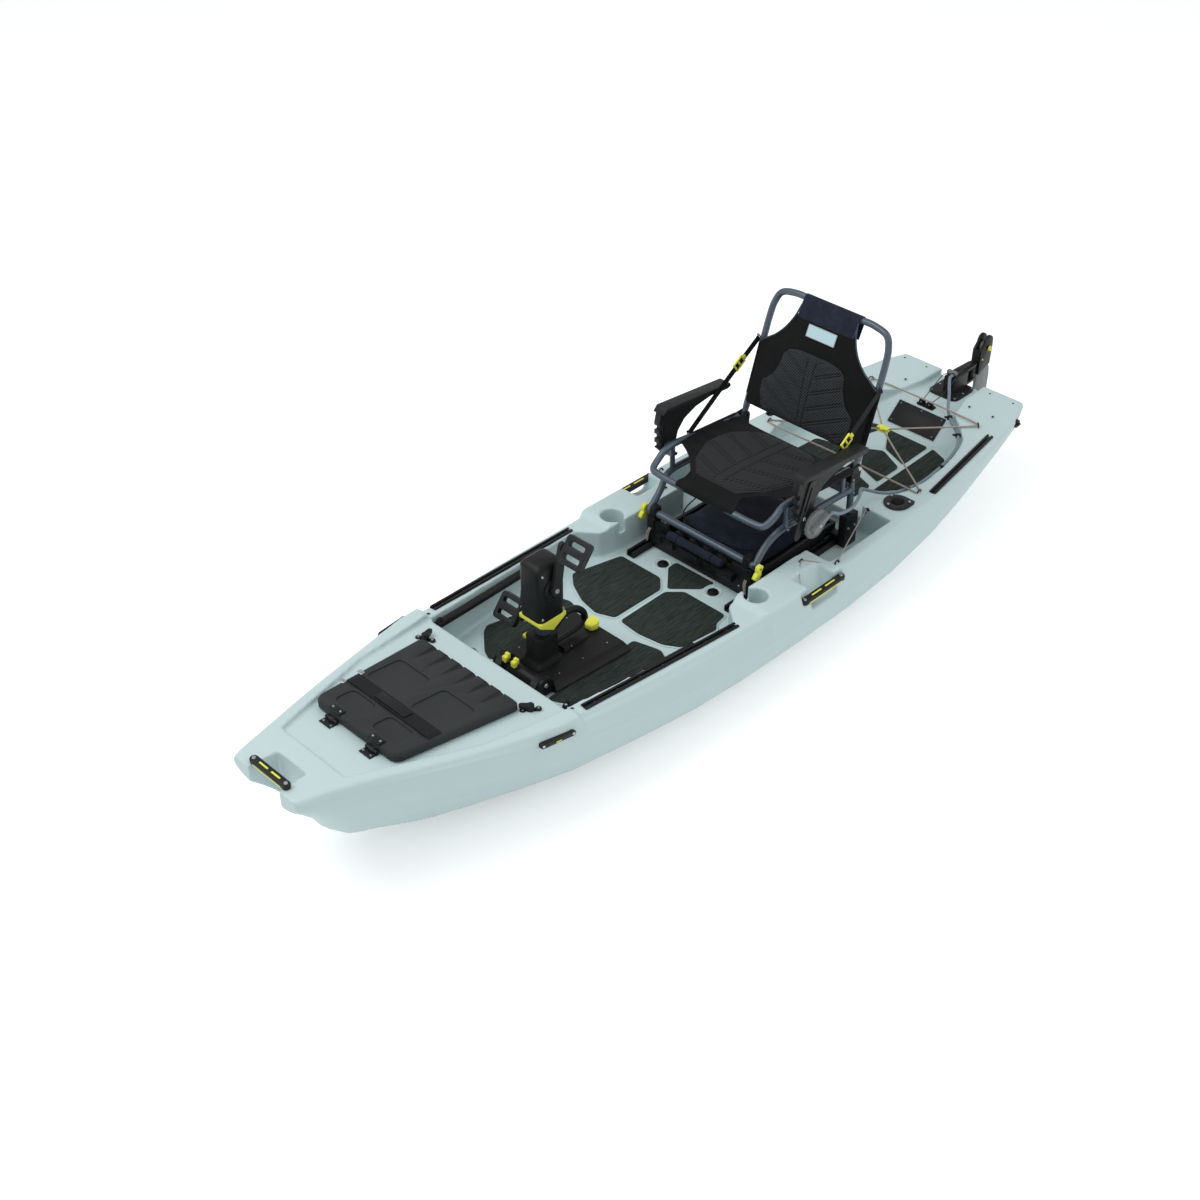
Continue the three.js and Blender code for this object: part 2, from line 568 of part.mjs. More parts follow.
// Grab handles: a bar across the bow notch and one on the ledge of each side recess.
function grabHandles() {
  const radius = HANDLE_WIDTH / 2;
  const bar = ([x0, x1], y0, y1, deck) => prismZ(roundedRectangle(x0, x1, y0, y1, radius - SEAT_GAP),
    deck + SEAT_GAP, deck + HANDLE_THICKNESS);
  const bow = bar([-BOW_HANDLE_HALF_SPAN, BOW_HANDLE_HALF_SPAN], BOW_HANDLE_Y - radius, BOW_HANDLE_Y + radius,
    BOW_HEIGHT);
  piece('bow_handle', bow, 'charcoal');
  Object.entries(SIDES).forEach(([name, side]) => {
    const span = spanX(side, HANDLE_X - radius, HANDLE_X + radius);
    piece(`side_handle_${name}`, bar(span, HANDLE_FRONT_Y - radius, HANDLE_REAR_Y + radius, HANDLE_Z),
      'charcoal');
  });
}

// Profile of a channel with lips over its slot.
function channelProfile(width, height, wall, slotHalfWidth) {
  const half = width / 2;
  return mirroredOutline([[half, 0], [half, height], [slotHalfWidth, height], [slotHalfWidth, height - wall],
    [half - wall, height - wall], [half - wall, wall]]);
}

// Gear tracks on the side decks, deck rail tubes along the cockpit walls and seat rails on its floor.
function tracksAndRails() {
  const track = { wall: 2.2, slotHalfWidth: 3.5 };
  const rail = { frontY: 20, rearY: 600, wall: 3, slotHalfWidth: 6 };
  const tube = { radius: 13, wallGap: 1.2, drop: 27, rearY: -250 };
  const wall = cockpitHalf();
  const wallX = (y) => {
    const next = wall.findIndex(([, wallY]) => wallY >= y);
    const [[x0, y0], [x1, y1]] = [wall[next - 1], wall[next]];
    return x0 + ((x1 - x0) * (y - y0)) / (y1 - y0);
  };
  const inset = tube.radius + tube.wallGap;
  const tubeYs = [BULKHEAD_Y + tube.wallGap * 2, wall[1][1], wall[2][1], tube.rearY];
  Object.entries(SIDES).forEach(([name, side]) => {
    Object.entries(TRACKS).forEach(([place, line]) => {
      const profile = channelProfile(TRACK_WIDTH, TRACK_HEIGHT, track.wall, track.slotHalfWidth);
      piece(`gear_track_${place}_${name}`, beam(profile, ...trackLine(line, side, SEAT_GAP,
        TRACK_DEPTH / 2)), 'black');
    });
    const points = tubeYs.map((y) => [side * (wallX(y) - inset), y, deckHeight(y) - tube.drop]);
    piece(`deck_rail_tube_${name}`, pipe(points, tube.radius, CORD_SIDES, TUBE_SIDES), 'black');
    const seatRail = beam(channelProfile(RAIL_WIDTH, RAIL_HEIGHT, rail.wall, rail.slotHalfWidth),
      [side * RAIL_X, rail.frontY, COCKPIT_FLOOR + SEAT_GAP], [side * RAIL_X, rail.rearY,
      COCKPIT_FLOOR + SEAT_GAP]);
    piece(`seat_rail_${name}`, seatRail, 'frame');
  });
}

// Plugs in the front scuppers and at the stern, the rod holder's liner and the cover on the tankwell's slope.
function deckFittings() {
  const plug = { stem: 18, flange: 5, height: 4 };
  const floor = COCKPIT_FLOOR + SEAT_GAP;
  scupperPlaces().slice(0, 2).forEach(([x, y]) => {
    const stem = rod([x, y, COCKPIT_FLOOR - plug.stem], [x, y, floor + plug.height / 2],
      SCUPPER_RADIUS - SEAT_GAP);
    const flange = rod([x, y, floor], [x, y, floor + plug.height], SCUPPER_RADIUS + plug.flange);
    piece(`scupper_plug_${x > 0 ? 'port' : 'starboard'}`, join(stem, flange), 'black');
  });
  const drain = { thickness: 14, grip: 8, gripHalfWidth: 3 };
  const seatX = DRAIN_PLUG.seatX + SEAT_GAP;
  const faceX = seatX + drain.thickness;
  const grip = box(seatX, faceX + drain.grip, DRAIN_PLUG.y - DRAIN_PLUG.radius / 2,
    DRAIN_PLUG.y + DRAIN_PLUG.radius / 2, DRAIN_PLUG.z - drain.gripHalfWidth,
    DRAIN_PLUG.z + drain.gripHalfWidth);
  piece('drain_plug', join(drainPocket(DRAIN_PLUG.radius, seatX, faceX), grip), 'black');

  const { x, y, boreRadius, wall, depth, flangeRadius } = ROD_HOLDER;
  const flange = { thickness: 5, pointX: 38, pointY: 30 };
  const flangeBottom = deckHeight(y + flangeRadius) + SEAT_GAP;
  const flangeTop = flangeBottom + flange.thickness;
  const pointed = [...arc(x, y, flangeRadius, QUARTER_TURN, FULL_TURN, ROUND_SIDES),
    [x + flangeRadius, y + flange.pointY], [x + flange.pointX, y + flangeRadius]];
  let liner = rodBore(boreRadius - SEAT_GAP, SEAT_GAP - depth, CUT_OVERRUN);
  liner = cut(liner, box(x - flangeRadius, x + flangeRadius, y - flangeRadius, y + flangeRadius + CUT_OVERRUN,
    flangeTop, flangeTop + CUT_OVERRUN + flangeRadius));
  liner = cut(join(liner, prismZ(pointed, flangeBottom, flangeTop)),
    rodBore(boreRadius - wall, wall - depth, CUT_OVERRUN));
  piece('rod_holder', liner, 'charcoal');

  const cover = { halfWidth: 98, start: 10, end: 98, thickness: 5 };
  const along = new THREE.Vector2(SLOPE_END_Y - SLOPE_START_Y,
    STERN_CHANNEL_FLOOR - TANKWELL_FLOOR).normalize();
  const onSlope = (up, out) => [SLOPE_START_Y + along.x * up - along.y * out,
    TANKWELL_FLOOR + along.y * up + along.x * out];
  const plate = prismX([onSlope(cover.start, SEAT_GAP), onSlope(cover.end, SEAT_GAP),
    onSlope(cover.end, cover.thickness), onSlope(cover.start, cover.thickness)], -cover.halfWidth,
    cover.halfWidth);
  piece('electronics_cover', plate, 'black');
}

// A slab that follows the sloping hatch deck between two heights above it.
function hatchSlab(bottomRise, topRise) {
  const [front, rear] = [-HALF_LENGTH, BULKHEAD_Y];
  return prismX([[front, hatchDeckHeight(front) + bottomRise], [rear, hatchDeckHeight(rear) + bottomRise],
    [rear, hatchDeckHeight(rear) + topRise], [front, hatchDeckHeight(front) + topRise]],
  -HULL_HALF_BEAM, HULL_HALF_BEAM);
}

const onHatch = (outline, bottomRise, topRise) =>
  prismZ(outline, 0, BOW_HEIGHT + CUT_OVERRUN).intersect(hatchSlab(bottomRise, topRise));

const hingeAxis = () => [HATCH_FRONT_Y - HINGE.setback,
  hatchDeckHeight(HATCH_FRONT_Y - HINGE.setback) + HINGE.rise];

const hingeRod = (x, fromX, toX, radius) => {
  const [y, z] = hingeAxis();
  return rod([x + fromX, y, z], [x + toX, y, z], radius, CORD_SIDES);
};

// The double-walled hatch lid with its sunken panels, rear flutes, clamp notches and hinge knuckles.
function hatchLid() {
  const radii = { front: 30, rear: 16 };
  const half = [
    ...arc(HATCH_FRONT_HALF_WIDTH - radii.front, HATCH_FRONT_Y + radii.front, radii.front, -QUARTER_TURN,
    0, 4),
    ...arc(HATCH_REAR_HALF_WIDTH - radii.rear, HATCH_REAR_Y - radii.rear, radii.rear, 0, QUARTER_TURN, 4)];
  const middleY = (HATCH_FRONT_Y + HATCH_REAR_Y) / 2;
  const halfLength = (HATCH_REAR_Y - HATCH_FRONT_Y) / 2;
  const ring = (inset, rise) => mirroredOutline(half).map(([x, y]) => {
    const ringY = middleY + ((y - middleY) * (halfLength - inset)) / halfLength;
    return [(x * (HATCH_REAR_HALF_WIDTH - inset)) / HATCH_REAR_HALF_WIDTH, ringY,
      hatchDeckHeight(ringY) + rise];
  });
  const rim = { inset: 5, foot: 6, shoulder: 23 };
  let lid = loft([ring(rim.inset, RUN_GAP), ring(0, rim.foot), ring(0, rim.shoulder), ring(rim.inset,
    HATCH_THICKNESS)]);
  const panel = { depth: 4, innerX: 26, frontY: -1205, frontOuterX: 128, strapFrontY: -1136,
    strapRearY: -1074,
    rearY: -950, rearOuterX: 158 };
  const flute = { count: 6, spacing: 54, length: 82, radius: 15, tipRadius: 4, tipRise: 3 };
  Object.values(SIDES).forEach((side) => {
    const panels = [[panel.frontY, panel.strapFrontY], [panel.strapRearY, panel.rearY]].map(([y0, y1]) => {
      const [x0, x1] = spanX(side, panel.innerX,
        y1 < panel.strapRearY ? panel.frontOuterX : panel.rearOuterX);
      return onHatch(roundedRectangle(x0, x1, y0, y1, radii.rear, 2), HATCH_THICKNESS - panel.depth,
        HATCH_THICKNESS + CUT_OVERRUN);
    });
    const notch = rod([side * CLAMP_X, CLAMP_Y, 0], [side * CLAMP_X, CLAMP_Y, BOW_HEIGHT + CUT_OVERRUN],
      CLAMP_REACH + RUN_GAP);
    lid = cut(lid, ...panels, notch);
  });
  for (let index = 0; index < flute.count; index += 1) {
    const x = (index - (flute.count - 1) / 2) * flute.spacing;
    const tipY = HATCH_REAR_Y - flute.length;
    lid = cut(lid, rod([x, HATCH_REAR_Y + flute.radius, hatchDeckHeight(HATCH_REAR_Y) + HATCH_THICKNESS],
      [x, tipY, hatchDeckHeight(tipY) + HATCH_THICKNESS + flute.tipRise], flute.radius, CORD_SIDES,
      flute.tipRadius));
  }
  const [, axisZ] = hingeAxis();
  [HINGE.x, -HINGE.x].forEach((x) => {
    const reach = HINGE.knuckle - RUN_GAP;
    const web = box(x - reach, x + reach, HATCH_FRONT_Y - HINGE.setback,
      HATCH_FRONT_Y + HINGE.barrel + rim.inset,
      axisZ - HINGE.sheet, axisZ + HINGE.sheet);
    const leaf = onHatch(rectangle(HINGE.halfWidth, HATCH_FRONT_Y + rim.inset + RUN_GAP,
      HATCH_FRONT_Y + HINGE.leaf)
      .map(([across, y]) => [x + across, y]), HATCH_THICKNESS - HINGE.sheet, HATCH_THICKNESS + HINGE.sheet);
    lid = cut(join(lid, hingeRod(x, -reach, reach, HINGE.barrel), web, leaf),
      hingeRod(x, -reach, reach, HINGE.pin + SEAT_GAP));
  });
  piece('hatch_lid', lid, 'charcoal');

  const strap = { y: -1105, halfWidth: 22, thickness: 3, overhang: 4 };
  const strapHalf = HATCH_FRONT_HALF_WIDTH + strap.overhang;
  piece('hatch_strap', onHatch(roundedRectangle(-strapHalf, strapHalf, strap.y - strap.halfWidth,
    strap.y + strap.halfWidth, strap.overhang), HATCH_THICKNESS + SEAT_GAP,
    HATCH_THICKNESS + strap.thickness), 'black');
}

// Deck halves of the two hatch hinges with their pins, and the two turning clamps.
function hatchHardware() {
  const [axisY] = hingeAxis();
  Object.entries(SIDES).forEach(([name, side]) => {
    const x = side * HINGE.x;
    const leafOutline = rectangle(HINGE.halfWidth, axisY - HINGE.leaf, axisY + HINGE.pin)
      .map(([across, y]) => [x + across, y]);
    const barrels = [[-HINGE.halfWidth, -HINGE.knuckle], [HINGE.knuckle, HINGE.halfWidth]]
      .map(([from, to]) => hingeRod(x, from, to, HINGE.barrel));
    const leaf = cut(onHatch(leafOutline, SEAT_GAP, SEAT_GAP + HINGE.sheet),
      hingeRod(x, -HINGE.knuckle, HINGE.knuckle, HINGE.barrel + RUN_GAP));
    const pin = hingeRod(x, -HINGE.halfWidth, HINGE.halfWidth, HINGE.pin);
    piece(`hatch_hinge_${name}`, join(leaf, ...barrels, pin), 'charcoal');

    const clamp = { hub: 11, foot: 1.6, top: 20, armBottom: 9, armTop: 17, armHalfWidth: 8,
      angle: { port: 3.76, starboard: 1.9 } };
    const deck = hatchDeckHeight(CLAMP_Y);
    const hub = rod([side * CLAMP_X, CLAMP_Y, deck + clamp.foot], [side * CLAMP_X, CLAMP_Y, deck + clamp.top],
      clamp.hub, SMALL_SIDES);
    const tip = [side * CLAMP_X + (CLAMP_REACH - clamp.armHalfWidth) * Math.cos(clamp.angle[name]),
      CLAMP_Y + (CLAMP_REACH - clamp.armHalfWidth) * Math.sin(clamp.angle[name])];
    const arm = prismZ(capsule(side * CLAMP_X, CLAMP_Y, clamp.hub, tip[0], tip[1], clamp.armHalfWidth, 4),
      deck + clamp.armBottom, deck + clamp.armTop);
    piece(`hatch_clamp_${name}`, join(hub, arm), 'black');
  });
}

// Outline of a bar with a round end at each of two points.
function capsule(x0, y0, radius0, x1, y1, radius1, steps = 5) {
  const angle = Math.atan2(y1 - y0, x1 - x0);
  return [...arc(x0, y0, radius0, angle + QUARTER_TURN, angle + 3 * QUARTER_TURN, steps),
    ...arc(x1, y1, radius1, angle - QUARTER_TURN, angle + QUARTER_TURN, steps)];
}

const uprightRod = (radius, bottom, top, sides = ROUND_SIDES) =>
  rod([0, DRIVE_Y, bottom], [0, DRIVE_Y, top], radius, sides);

const crossRod = (y, z, radius, halfLength, sides = ROUND_SIDES) =>
  rod([-halfLength, y, z], [halfLength, y, z], radius, sides);

// The drive's tray with its cheeks, the barrel between them, the latch and the column through the hull.
function driveBase() {
  const tray = { frontY: -610, rearY: -325, frontHalfWidth: 108, rearHalfWidth: 128, shoulder: 16,
    bevel: 16 };
  const floor = COCKPIT_FLOOR + SEAT_GAP;
  const ring = (inset, z) => [[-tray.frontHalfWidth + inset, tray.frontY], [tray.frontHalfWidth - inset,
    tray.frontY],
    [tray.rearHalfWidth - inset, tray.rearY - inset], [inset - tray.rearHalfWidth, tray.rearY - inset]]
    .map(([x, y]) => [x, y, z]);
  const body = loft([ring(0, floor), ring(0, floor + tray.shoulder), ring(tray.bevel, DRIVE_DECK_Z)]);
  const barrel = { y: -640, z: 222, radius: 22, halfLength: 61, cheek: 33, cheekThickness: 22, pin: 8,
    head: 6 };
  const cheekOutline = [[barrel.y - barrel.cheek, floor], ...arc(barrel.y, barrel.z, barrel.cheek, Math.PI,
    0, SMALL_SIDES),
    [tray.frontY + tray.bevel, floor]];
  const cheekOuter = barrel.halfLength + RUN_GAP + barrel.cheekThickness;
  const cheeks = Object.values(SIDES).map((side) =>
    prismX(cheekOutline, ...spanX(side, barrel.halfLength + RUN_GAP, cheekOuter)));
  const sill = { frontY: -690, thickness: 10 };
  const spine = { frontY: -498, crestY: -450, rearY: -385, halfWidth: 26, rise: 14 };
  const crest = DRIVE_DECK_Z + spine.rise;
  const ridge = prismX([[spine.frontY, floor], [spine.frontY, crest], [spine.crestY, crest],
    [spine.rearY, DRIVE_DECK_Z], [spine.rearY, floor]], -spine.halfWidth, spine.halfWidth);
  let base = join(body, ...cheeks, ridge,
    box(-cheekOuter, cheekOuter, sill.frontY, tray.frontY + tray.bevel, floor, floor + sill.thickness));
  base = cut(base, uprightRod(DRIVE_WELL_RADIUS, 0, CRANK_Z), crossRod(barrel.y, barrel.z,
    barrel.pin + SEAT_GAP,
    HULL_HALF_BEAM, SMALL_SIDES));
  piece('drive_base', base, 'black');
  const headX = cheekOuter + SEAT_GAP;
  const pin = join(crossRod(barrel.y, barrel.z, barrel.radius, barrel.halfLength),
    crossRod(barrel.y, barrel.z, barrel.pin, headX + barrel.head, SMALL_SIDES),
    ...Object.values(SIDES).map((side) => rod([side * headX, barrel.y, barrel.z],
      [side * (headX + barrel.head), barrel.y, barrel.z], barrel.pin + barrel.head / 2, SMALL_SIDES)));
  piece('drive_pivot_pin', pin, 'charcoal');

  const latch = { halfWidth: 17, frontY: -374, rearY: -340, toe: 9, height: 27 };
  const foot = DRIVE_DECK_Z + SEAT_GAP;
  piece('drive_latch', prismX([[latch.frontY, foot], [latch.rearY, foot], [latch.rearY, foot + latch.height],
    [latch.frontY + latch.toe, foot + latch.height], [latch.frontY, foot + latch.toe]], -latch.halfWidth,
  latch.halfWidth), 'yellow');
}

function driveColumn() {
  const block = { halfWidth: 31, frontY: -600, rearY: -523, corner: 9, skirt: 13, skirtHeight: 26 };
  const middleY = (block.frontY + block.rearY) / 2;
  const outline = roundedRectangle(-block.halfWidth, block.halfWidth, block.frontY, block.rearY,
    block.corner, 2);
  const foot = DRIVE_DECK_Z + SEAT_GAP;
  const ring = (grow, z) => outline.map(([x, y]) => [(x * (block.halfWidth + grow)) / block.halfWidth,
    middleY + ((y - middleY) * (block.halfWidth + grow)) / block.halfWidth, z]);
  const body = loft([ring(block.skirt, foot), ring(block.skirt / 3, foot + block.skirtHeight / 2),
    ring(0, foot + block.skirtHeight), ring(0, COLUMN_TOP_Z)]);
  const stem = { bottom: 96, lugInner: 15.5, lugOuter: 30.4, lugRadius: 20, pinHole: 5.4 };
  const lugOutline = [...arc(DRIVE_Y, LEG_PIVOT_Z, stem.lugRadius, Math.PI, FULL_TURN, SMALL_SIDES),
    [DRIVE_Y + stem.lugRadius, stem.bottom + stem.lugRadius / 2], [DRIVE_Y - stem.lugRadius,
    stem.bottom + stem.lugRadius / 2]];
  const lugs = Object.values(SIDES).map((side) => prismX(lugOutline, ...spanX(side, stem.lugInner,
    stem.lugOuter)));
  const fork = cut(join(...lugs), crossRod(DRIVE_Y, LEG_PIVOT_Z, stem.pinHole, HULL_HALF_BEAM, SMALL_SIDES));
  const post = uprightRod(DRIVE_WELL_RADIUS - SEAT_GAP, stem.bottom, foot + SEAT_GAP);
  const loop = { radius: 8, points: [[0, -530, 308], [0, -508, 322], [0, -470, 346], [0, -428, 340], [0,
    -394, 308],
    [0, -388, 284], [0, -408, 266], [0, -455, 262], [0, -530, 264]] };
  const column = cut(join(body, post, fork, pipe(loop.points, loop.radius, SMALL_SIDES + 2, CORD_SIDES)),
    uprightRod(SHAFT_RADIUS + RUN_GAP, 0, CRANK_Z, SMALL_SIDES));
  piece('drive_column', column, 'black');
}

// The swinging leg, stowed forward in its trunk, with its gearcase and the propeller below it.
function lowerLeg() {
  const leg = { boss: 18, bossHalfWidth: 15, pin: 5, halfWidth: 10, halfDepth: 18, casing: 20, nose: 9,
    bottom: 46, waist: 62, shoulder: 90, top: 106 };
  const endY = DRIVE_Y - LEG_LENGTH;
  const ring = (y, halfWidth, halfDepth) => arc(0, 0, 1, 0, FULL_TURN * (1 - 1 / SMALL_SIDES),
    SMALL_SIDES - 1)
    .map(([x, z]) => [x * halfWidth, y, LEG_PIVOT_Z + z * halfDepth]);
  const shank = loft([ring(DRIVE_Y, leg.bossHalfWidth, leg.boss / 2), ring(DRIVE_Y - leg.boss * 2,
    leg.bossHalfWidth, leg.halfDepth),
    ring(DRIVE_Y - LEG_LENGTH / 2, leg.halfWidth, leg.halfDepth), ring(endY, leg.halfWidth, leg.halfDepth)]);
  const casing = [[leg.bottom, leg.waist, leg.casing - leg.nose / 2, leg.casing], [leg.waist, leg.shoulder,
    leg.casing, leg.casing],
    [leg.shoulder, leg.top, leg.casing, leg.nose]].map(([from, to, radius, endRadius]) =>
    rod([0, endY, from], [0, endY, to], radius, ROUND_SIDES, endRadius));
  const body = join(shank, crossRod(DRIVE_Y, LEG_PIVOT_Z, leg.boss, leg.bossHalfWidth),
    crossRod(DRIVE_Y, LEG_PIVOT_Z, leg.pin, leg.bossHalfWidth * 2, SMALL_SIDES), ...casing);
  piece('lower_leg', body, 'charcoal');

  const propeller = { hub: 15, tip: 11, bottom: 24, top: 45.5, blades: 2, rootPitch: 0.66, tipPitch: 0.3,
    rootChord: 30, wideChord: 46, tipChord: 22, thickness: 5 };
  const planeZ = (propeller.bottom + propeller.top) / 2;
  const stations = [[0.06, propeller.rootChord], [0.3, propeller.wideChord * 0.9], [0.6, propeller.wideChord],
    [0.88, propeller.wideChord * 0.8], [1, propeller.tipChord]];
  const foil_shares = [[-0.5, 0], [-0.2, 0.5], [0.25, 0.4], [0.5, 0], [0.25, -0.4], [-0.2, -0.5]];
  const bladeRing = ([share, chord]) => {
    const pitch = propeller.rootPitch + (propeller.tipPitch - propeller.rootPitch) * share;
    return foil_shares.map(([along, out]) => {
      const [across, up] = [along * chord, out * propeller.thickness * (1 - share / 2)];
      return [PROPELLER_RADIUS * share, across * Math.cos(pitch) - up * Math.sin(pitch),
        across * Math.sin(pitch) + up * Math.cos(pitch)];
    });
  };
  let screw = rod([0, endY, propeller.bottom], [0, endY, propeller.top], propeller.tip, ROUND_SIDES,
    propeller.hub);
  for (let blade = 0; blade < propeller.blades; blade += 1) {
    const turn = (FULL_TURN * blade) / propeller.blades;
    const [cos, sin] = [Math.cos(turn), Math.sin(turn)];
    screw = join(screw, loft(stations.map((station) => bladeRing(station)
      .map(([x, y, z]) => [x * cos - y * sin, endY + x * sin + y * cos, planeZ + z]))));
  }
  piece('propeller', screw, 'charcoal');
}

// Mast, chevron band, gear head with its open gear chamber, cranks, pedals and the upright shaft.
function driveHead() {
  const mast = { radius: 23 };
  const shaftBore = uprightRod(SHAFT_RADIUS + RUN_GAP, 0, CRANK_Z, SMALL_SIDES);
  piece('drive_mast', cut(uprightRod(mast.radius, COLUMN_TOP_Z + SEAT_GAP, HEAD_BOTTOM_Z - SEAT_GAP),
    shaftBore), 'frame');

  const band = { tipZ: 357, shoulderZ: 386 };
  const [front, rear] = [DRIVE_Y - HEAD_HALF_DEPTH, DRIVE_Y + HEAD_HALF_DEPTH];
  const chevron = prismX([[front, band.shoulderZ], [DRIVE_Y, band.tipZ], [rear, band.shoulderZ],
    [rear, HEAD_BOTTOM_Z - SEAT_GAP], [front, HEAD_BOTTOM_Z - SEAT_GAP]], -HEAD_HALF_WIDTH, HEAD_HALF_WIDTH);
  piece('drive_band', cut(chevron, uprightRod(mast.radius + SEAT_GAP, 0, CRANK_Z)), 'yellow');

  const head = { corner: 18, domeInset: 7, domeHeight: 14, capInset: 17, boss: 34, bossRise: 5 };
  const ring = (inset, z) => roundedRectangle(inset - HEAD_HALF_WIDTH, HEAD_HALF_WIDTH - inset, front + inset,
    rear - inset, head.corner - inset / 2).map(([x, y]) => [x, y, z]);
  let housing = loft([ring(0, HEAD_BOTTOM_Z), ring(0, HEAD_TOP_Z - head.domeHeight),
    ring(head.domeInset, HEAD_TOP_Z - head.domeHeight / 3), ring(head.capInset, HEAD_TOP_Z)]);
  housing = join(housing, crossRod(DRIVE_Y, CRANK_Z, head.boss, HEAD_HALF_WIDTH + head.bossRise));
  const chamber = { radius: 44, left: -26, right: 16 };
  housing = cut(housing, rod([chamber.left, DRIVE_Y, CRANK_Z], [chamber.right, DRIVE_Y, CRANK_Z],
    chamber.radius),
    crossRod(DRIVE_Y, CRANK_Z, AXLE_RADIUS + RUN_GAP, HULL_HALF_BEAM), uprightRod(SHAFT_RADIUS + RUN_GAP,
    0, CRANK_Z, SMALL_SIDES));
  piece('drive_head', housing, 'charcoal');
  crankSet(HEAD_HALF_WIDTH + head.bossRise);
}

// The crown gear on the crank axle, the arms, the pedals, and the pinion on the upright shaft.
function crankSet(bossX) {
  const crown = { discLeft: -22, discRight: -13.5, discRadius: 40, toothRight: -6.5, toothInner: 34.5,
    toothWidth: 1.8,
    root: 1 };
  const arm = { gap: 1.5, thickness: 12, hub: 17, end: 12, spindle: 5, spindleReach: 100 };
  const armInner = bossX + arm.gap;
  let axle = join(crossRod(DRIVE_Y, CRANK_Z, AXLE_RADIUS, armInner + arm.thickness),
    rod([crown.discLeft, DRIVE_Y, CRANK_Z], [crown.discRight, DRIVE_Y, CRANK_Z], crown.discRadius));
  for (let tooth = 0; tooth < CROWN_TEETH; tooth += 1) {
    const geometry = new THREE.BoxGeometry(crown.toothRight - crown.discRight + crown.root, crown.toothWidth,
      CROWN_OUTER_RADIUS - crown.toothInner);
    geometry.translate((crown.toothRight + crown.discRight - crown.root) / 2, 0,
      -(CROWN_OUTER_RADIUS + crown.toothInner) / 2);
    geometry.rotateX((FULL_TURN * (tooth + 1 / 2)) / CROWN_TEETH).translate(0, DRIVE_Y, CRANK_Z);
    axle = join(axle, solid(geometry));
  }
  piece('crank_axle', axle, 'steel');

  const pinion = { bottom: 464, top: 470, root: 6, tip: 11, toothWidth: 1.8, shaftBottom: 100,
    shaftTop: 476 };
  let shaft = join(uprightRod(SHAFT_RADIUS, pinion.shaftBottom, pinion.shaftTop, SMALL_SIDES),
    uprightRod(pinion.root, pinion.bottom, pinion.top, SMALL_SIDES));
  for (let tooth = 0; tooth < PINION_TEETH; tooth += 1) {
    const geometry = new THREE.BoxGeometry(pinion.tip, pinion.toothWidth, pinion.top - pinion.bottom);
    geometry.translate(pinion.tip / 2, 0, (pinion.top + pinion.bottom) / 2);
    geometry.rotateZ((FULL_TURN * tooth) / PINION_TEETH).translate(0, DRIVE_Y, 0);
    shaft = join(shaft, solid(geometry));
  }
  piece('drive_shaft', shaft, 'steel');

  const slot = { halfLength: 30, inner: 11, outer: 27, corner: 5 };
  Object.entries(SIDES).forEach(([name, side]) => {
    const tipY = DRIVE_Y + side * CRANK_LENGTH * Math.sin(CRANK_LEAN);
    const tipZ = CRANK_Z + side * CRANK_LENGTH * Math.cos(CRANK_LEAN);
    const bar = prismX(capsule(DRIVE_Y, CRANK_Z, arm.hub, tipY, tipZ, arm.end),
      ...spanX(side, armInner, armInner + arm.thickness));
    const spindle = rod([side * armInner, tipY, tipZ], [side * (armInner + arm.spindleReach), tipY, tipZ],
      arm.spindle, SMALL_SIDES);
    const hubBore = crossRod(DRIVE_Y, CRANK_Z, AXLE_RADIUS + SEAT_GAP, HULL_HALF_BEAM);
    piece(`crank_arm_${name}`, join(cut(bar, hubBore), spindle), 'charcoal');
    const middleX = armInner + arm.spindleReach - PEDAL_WIDTH / 2 + arm.gap;
    const carrier = carrierAt(side * middleX, tipY, tipZ, PEDAL_TILT);
    const plate = prismZ(roundedRectangle(-PEDAL_WIDTH / 2, PEDAL_WIDTH / 2, -PEDAL_HEIGHT / 2,
      PEDAL_HEIGHT / 2,
      slot.corner * 2, 2), -PEDAL_THICKNESS / 2, PEDAL_THICKNESS / 2);
    const slots = [1, -1].map((way) => prismZ(roundedRectangle(-slot.halfLength, slot.halfLength,
      Math.min(way * slot.inner, way * slot.outer), Math.max(way * slot.inner, way * slot.outer),
      slot.corner, 2),
    -PEDAL_THICKNESS, PEDAL_THICKNESS));
    const bore = rod([-PEDAL_WIDTH, 0, 0], [PEDAL_WIDTH, 0, 0], arm.spindle + SEAT_GAP, SMALL_SIDES);
    piece(`pedal_${name}`, cut(plate, ...slots, bore), 'charcoal', carrier);
  });
}

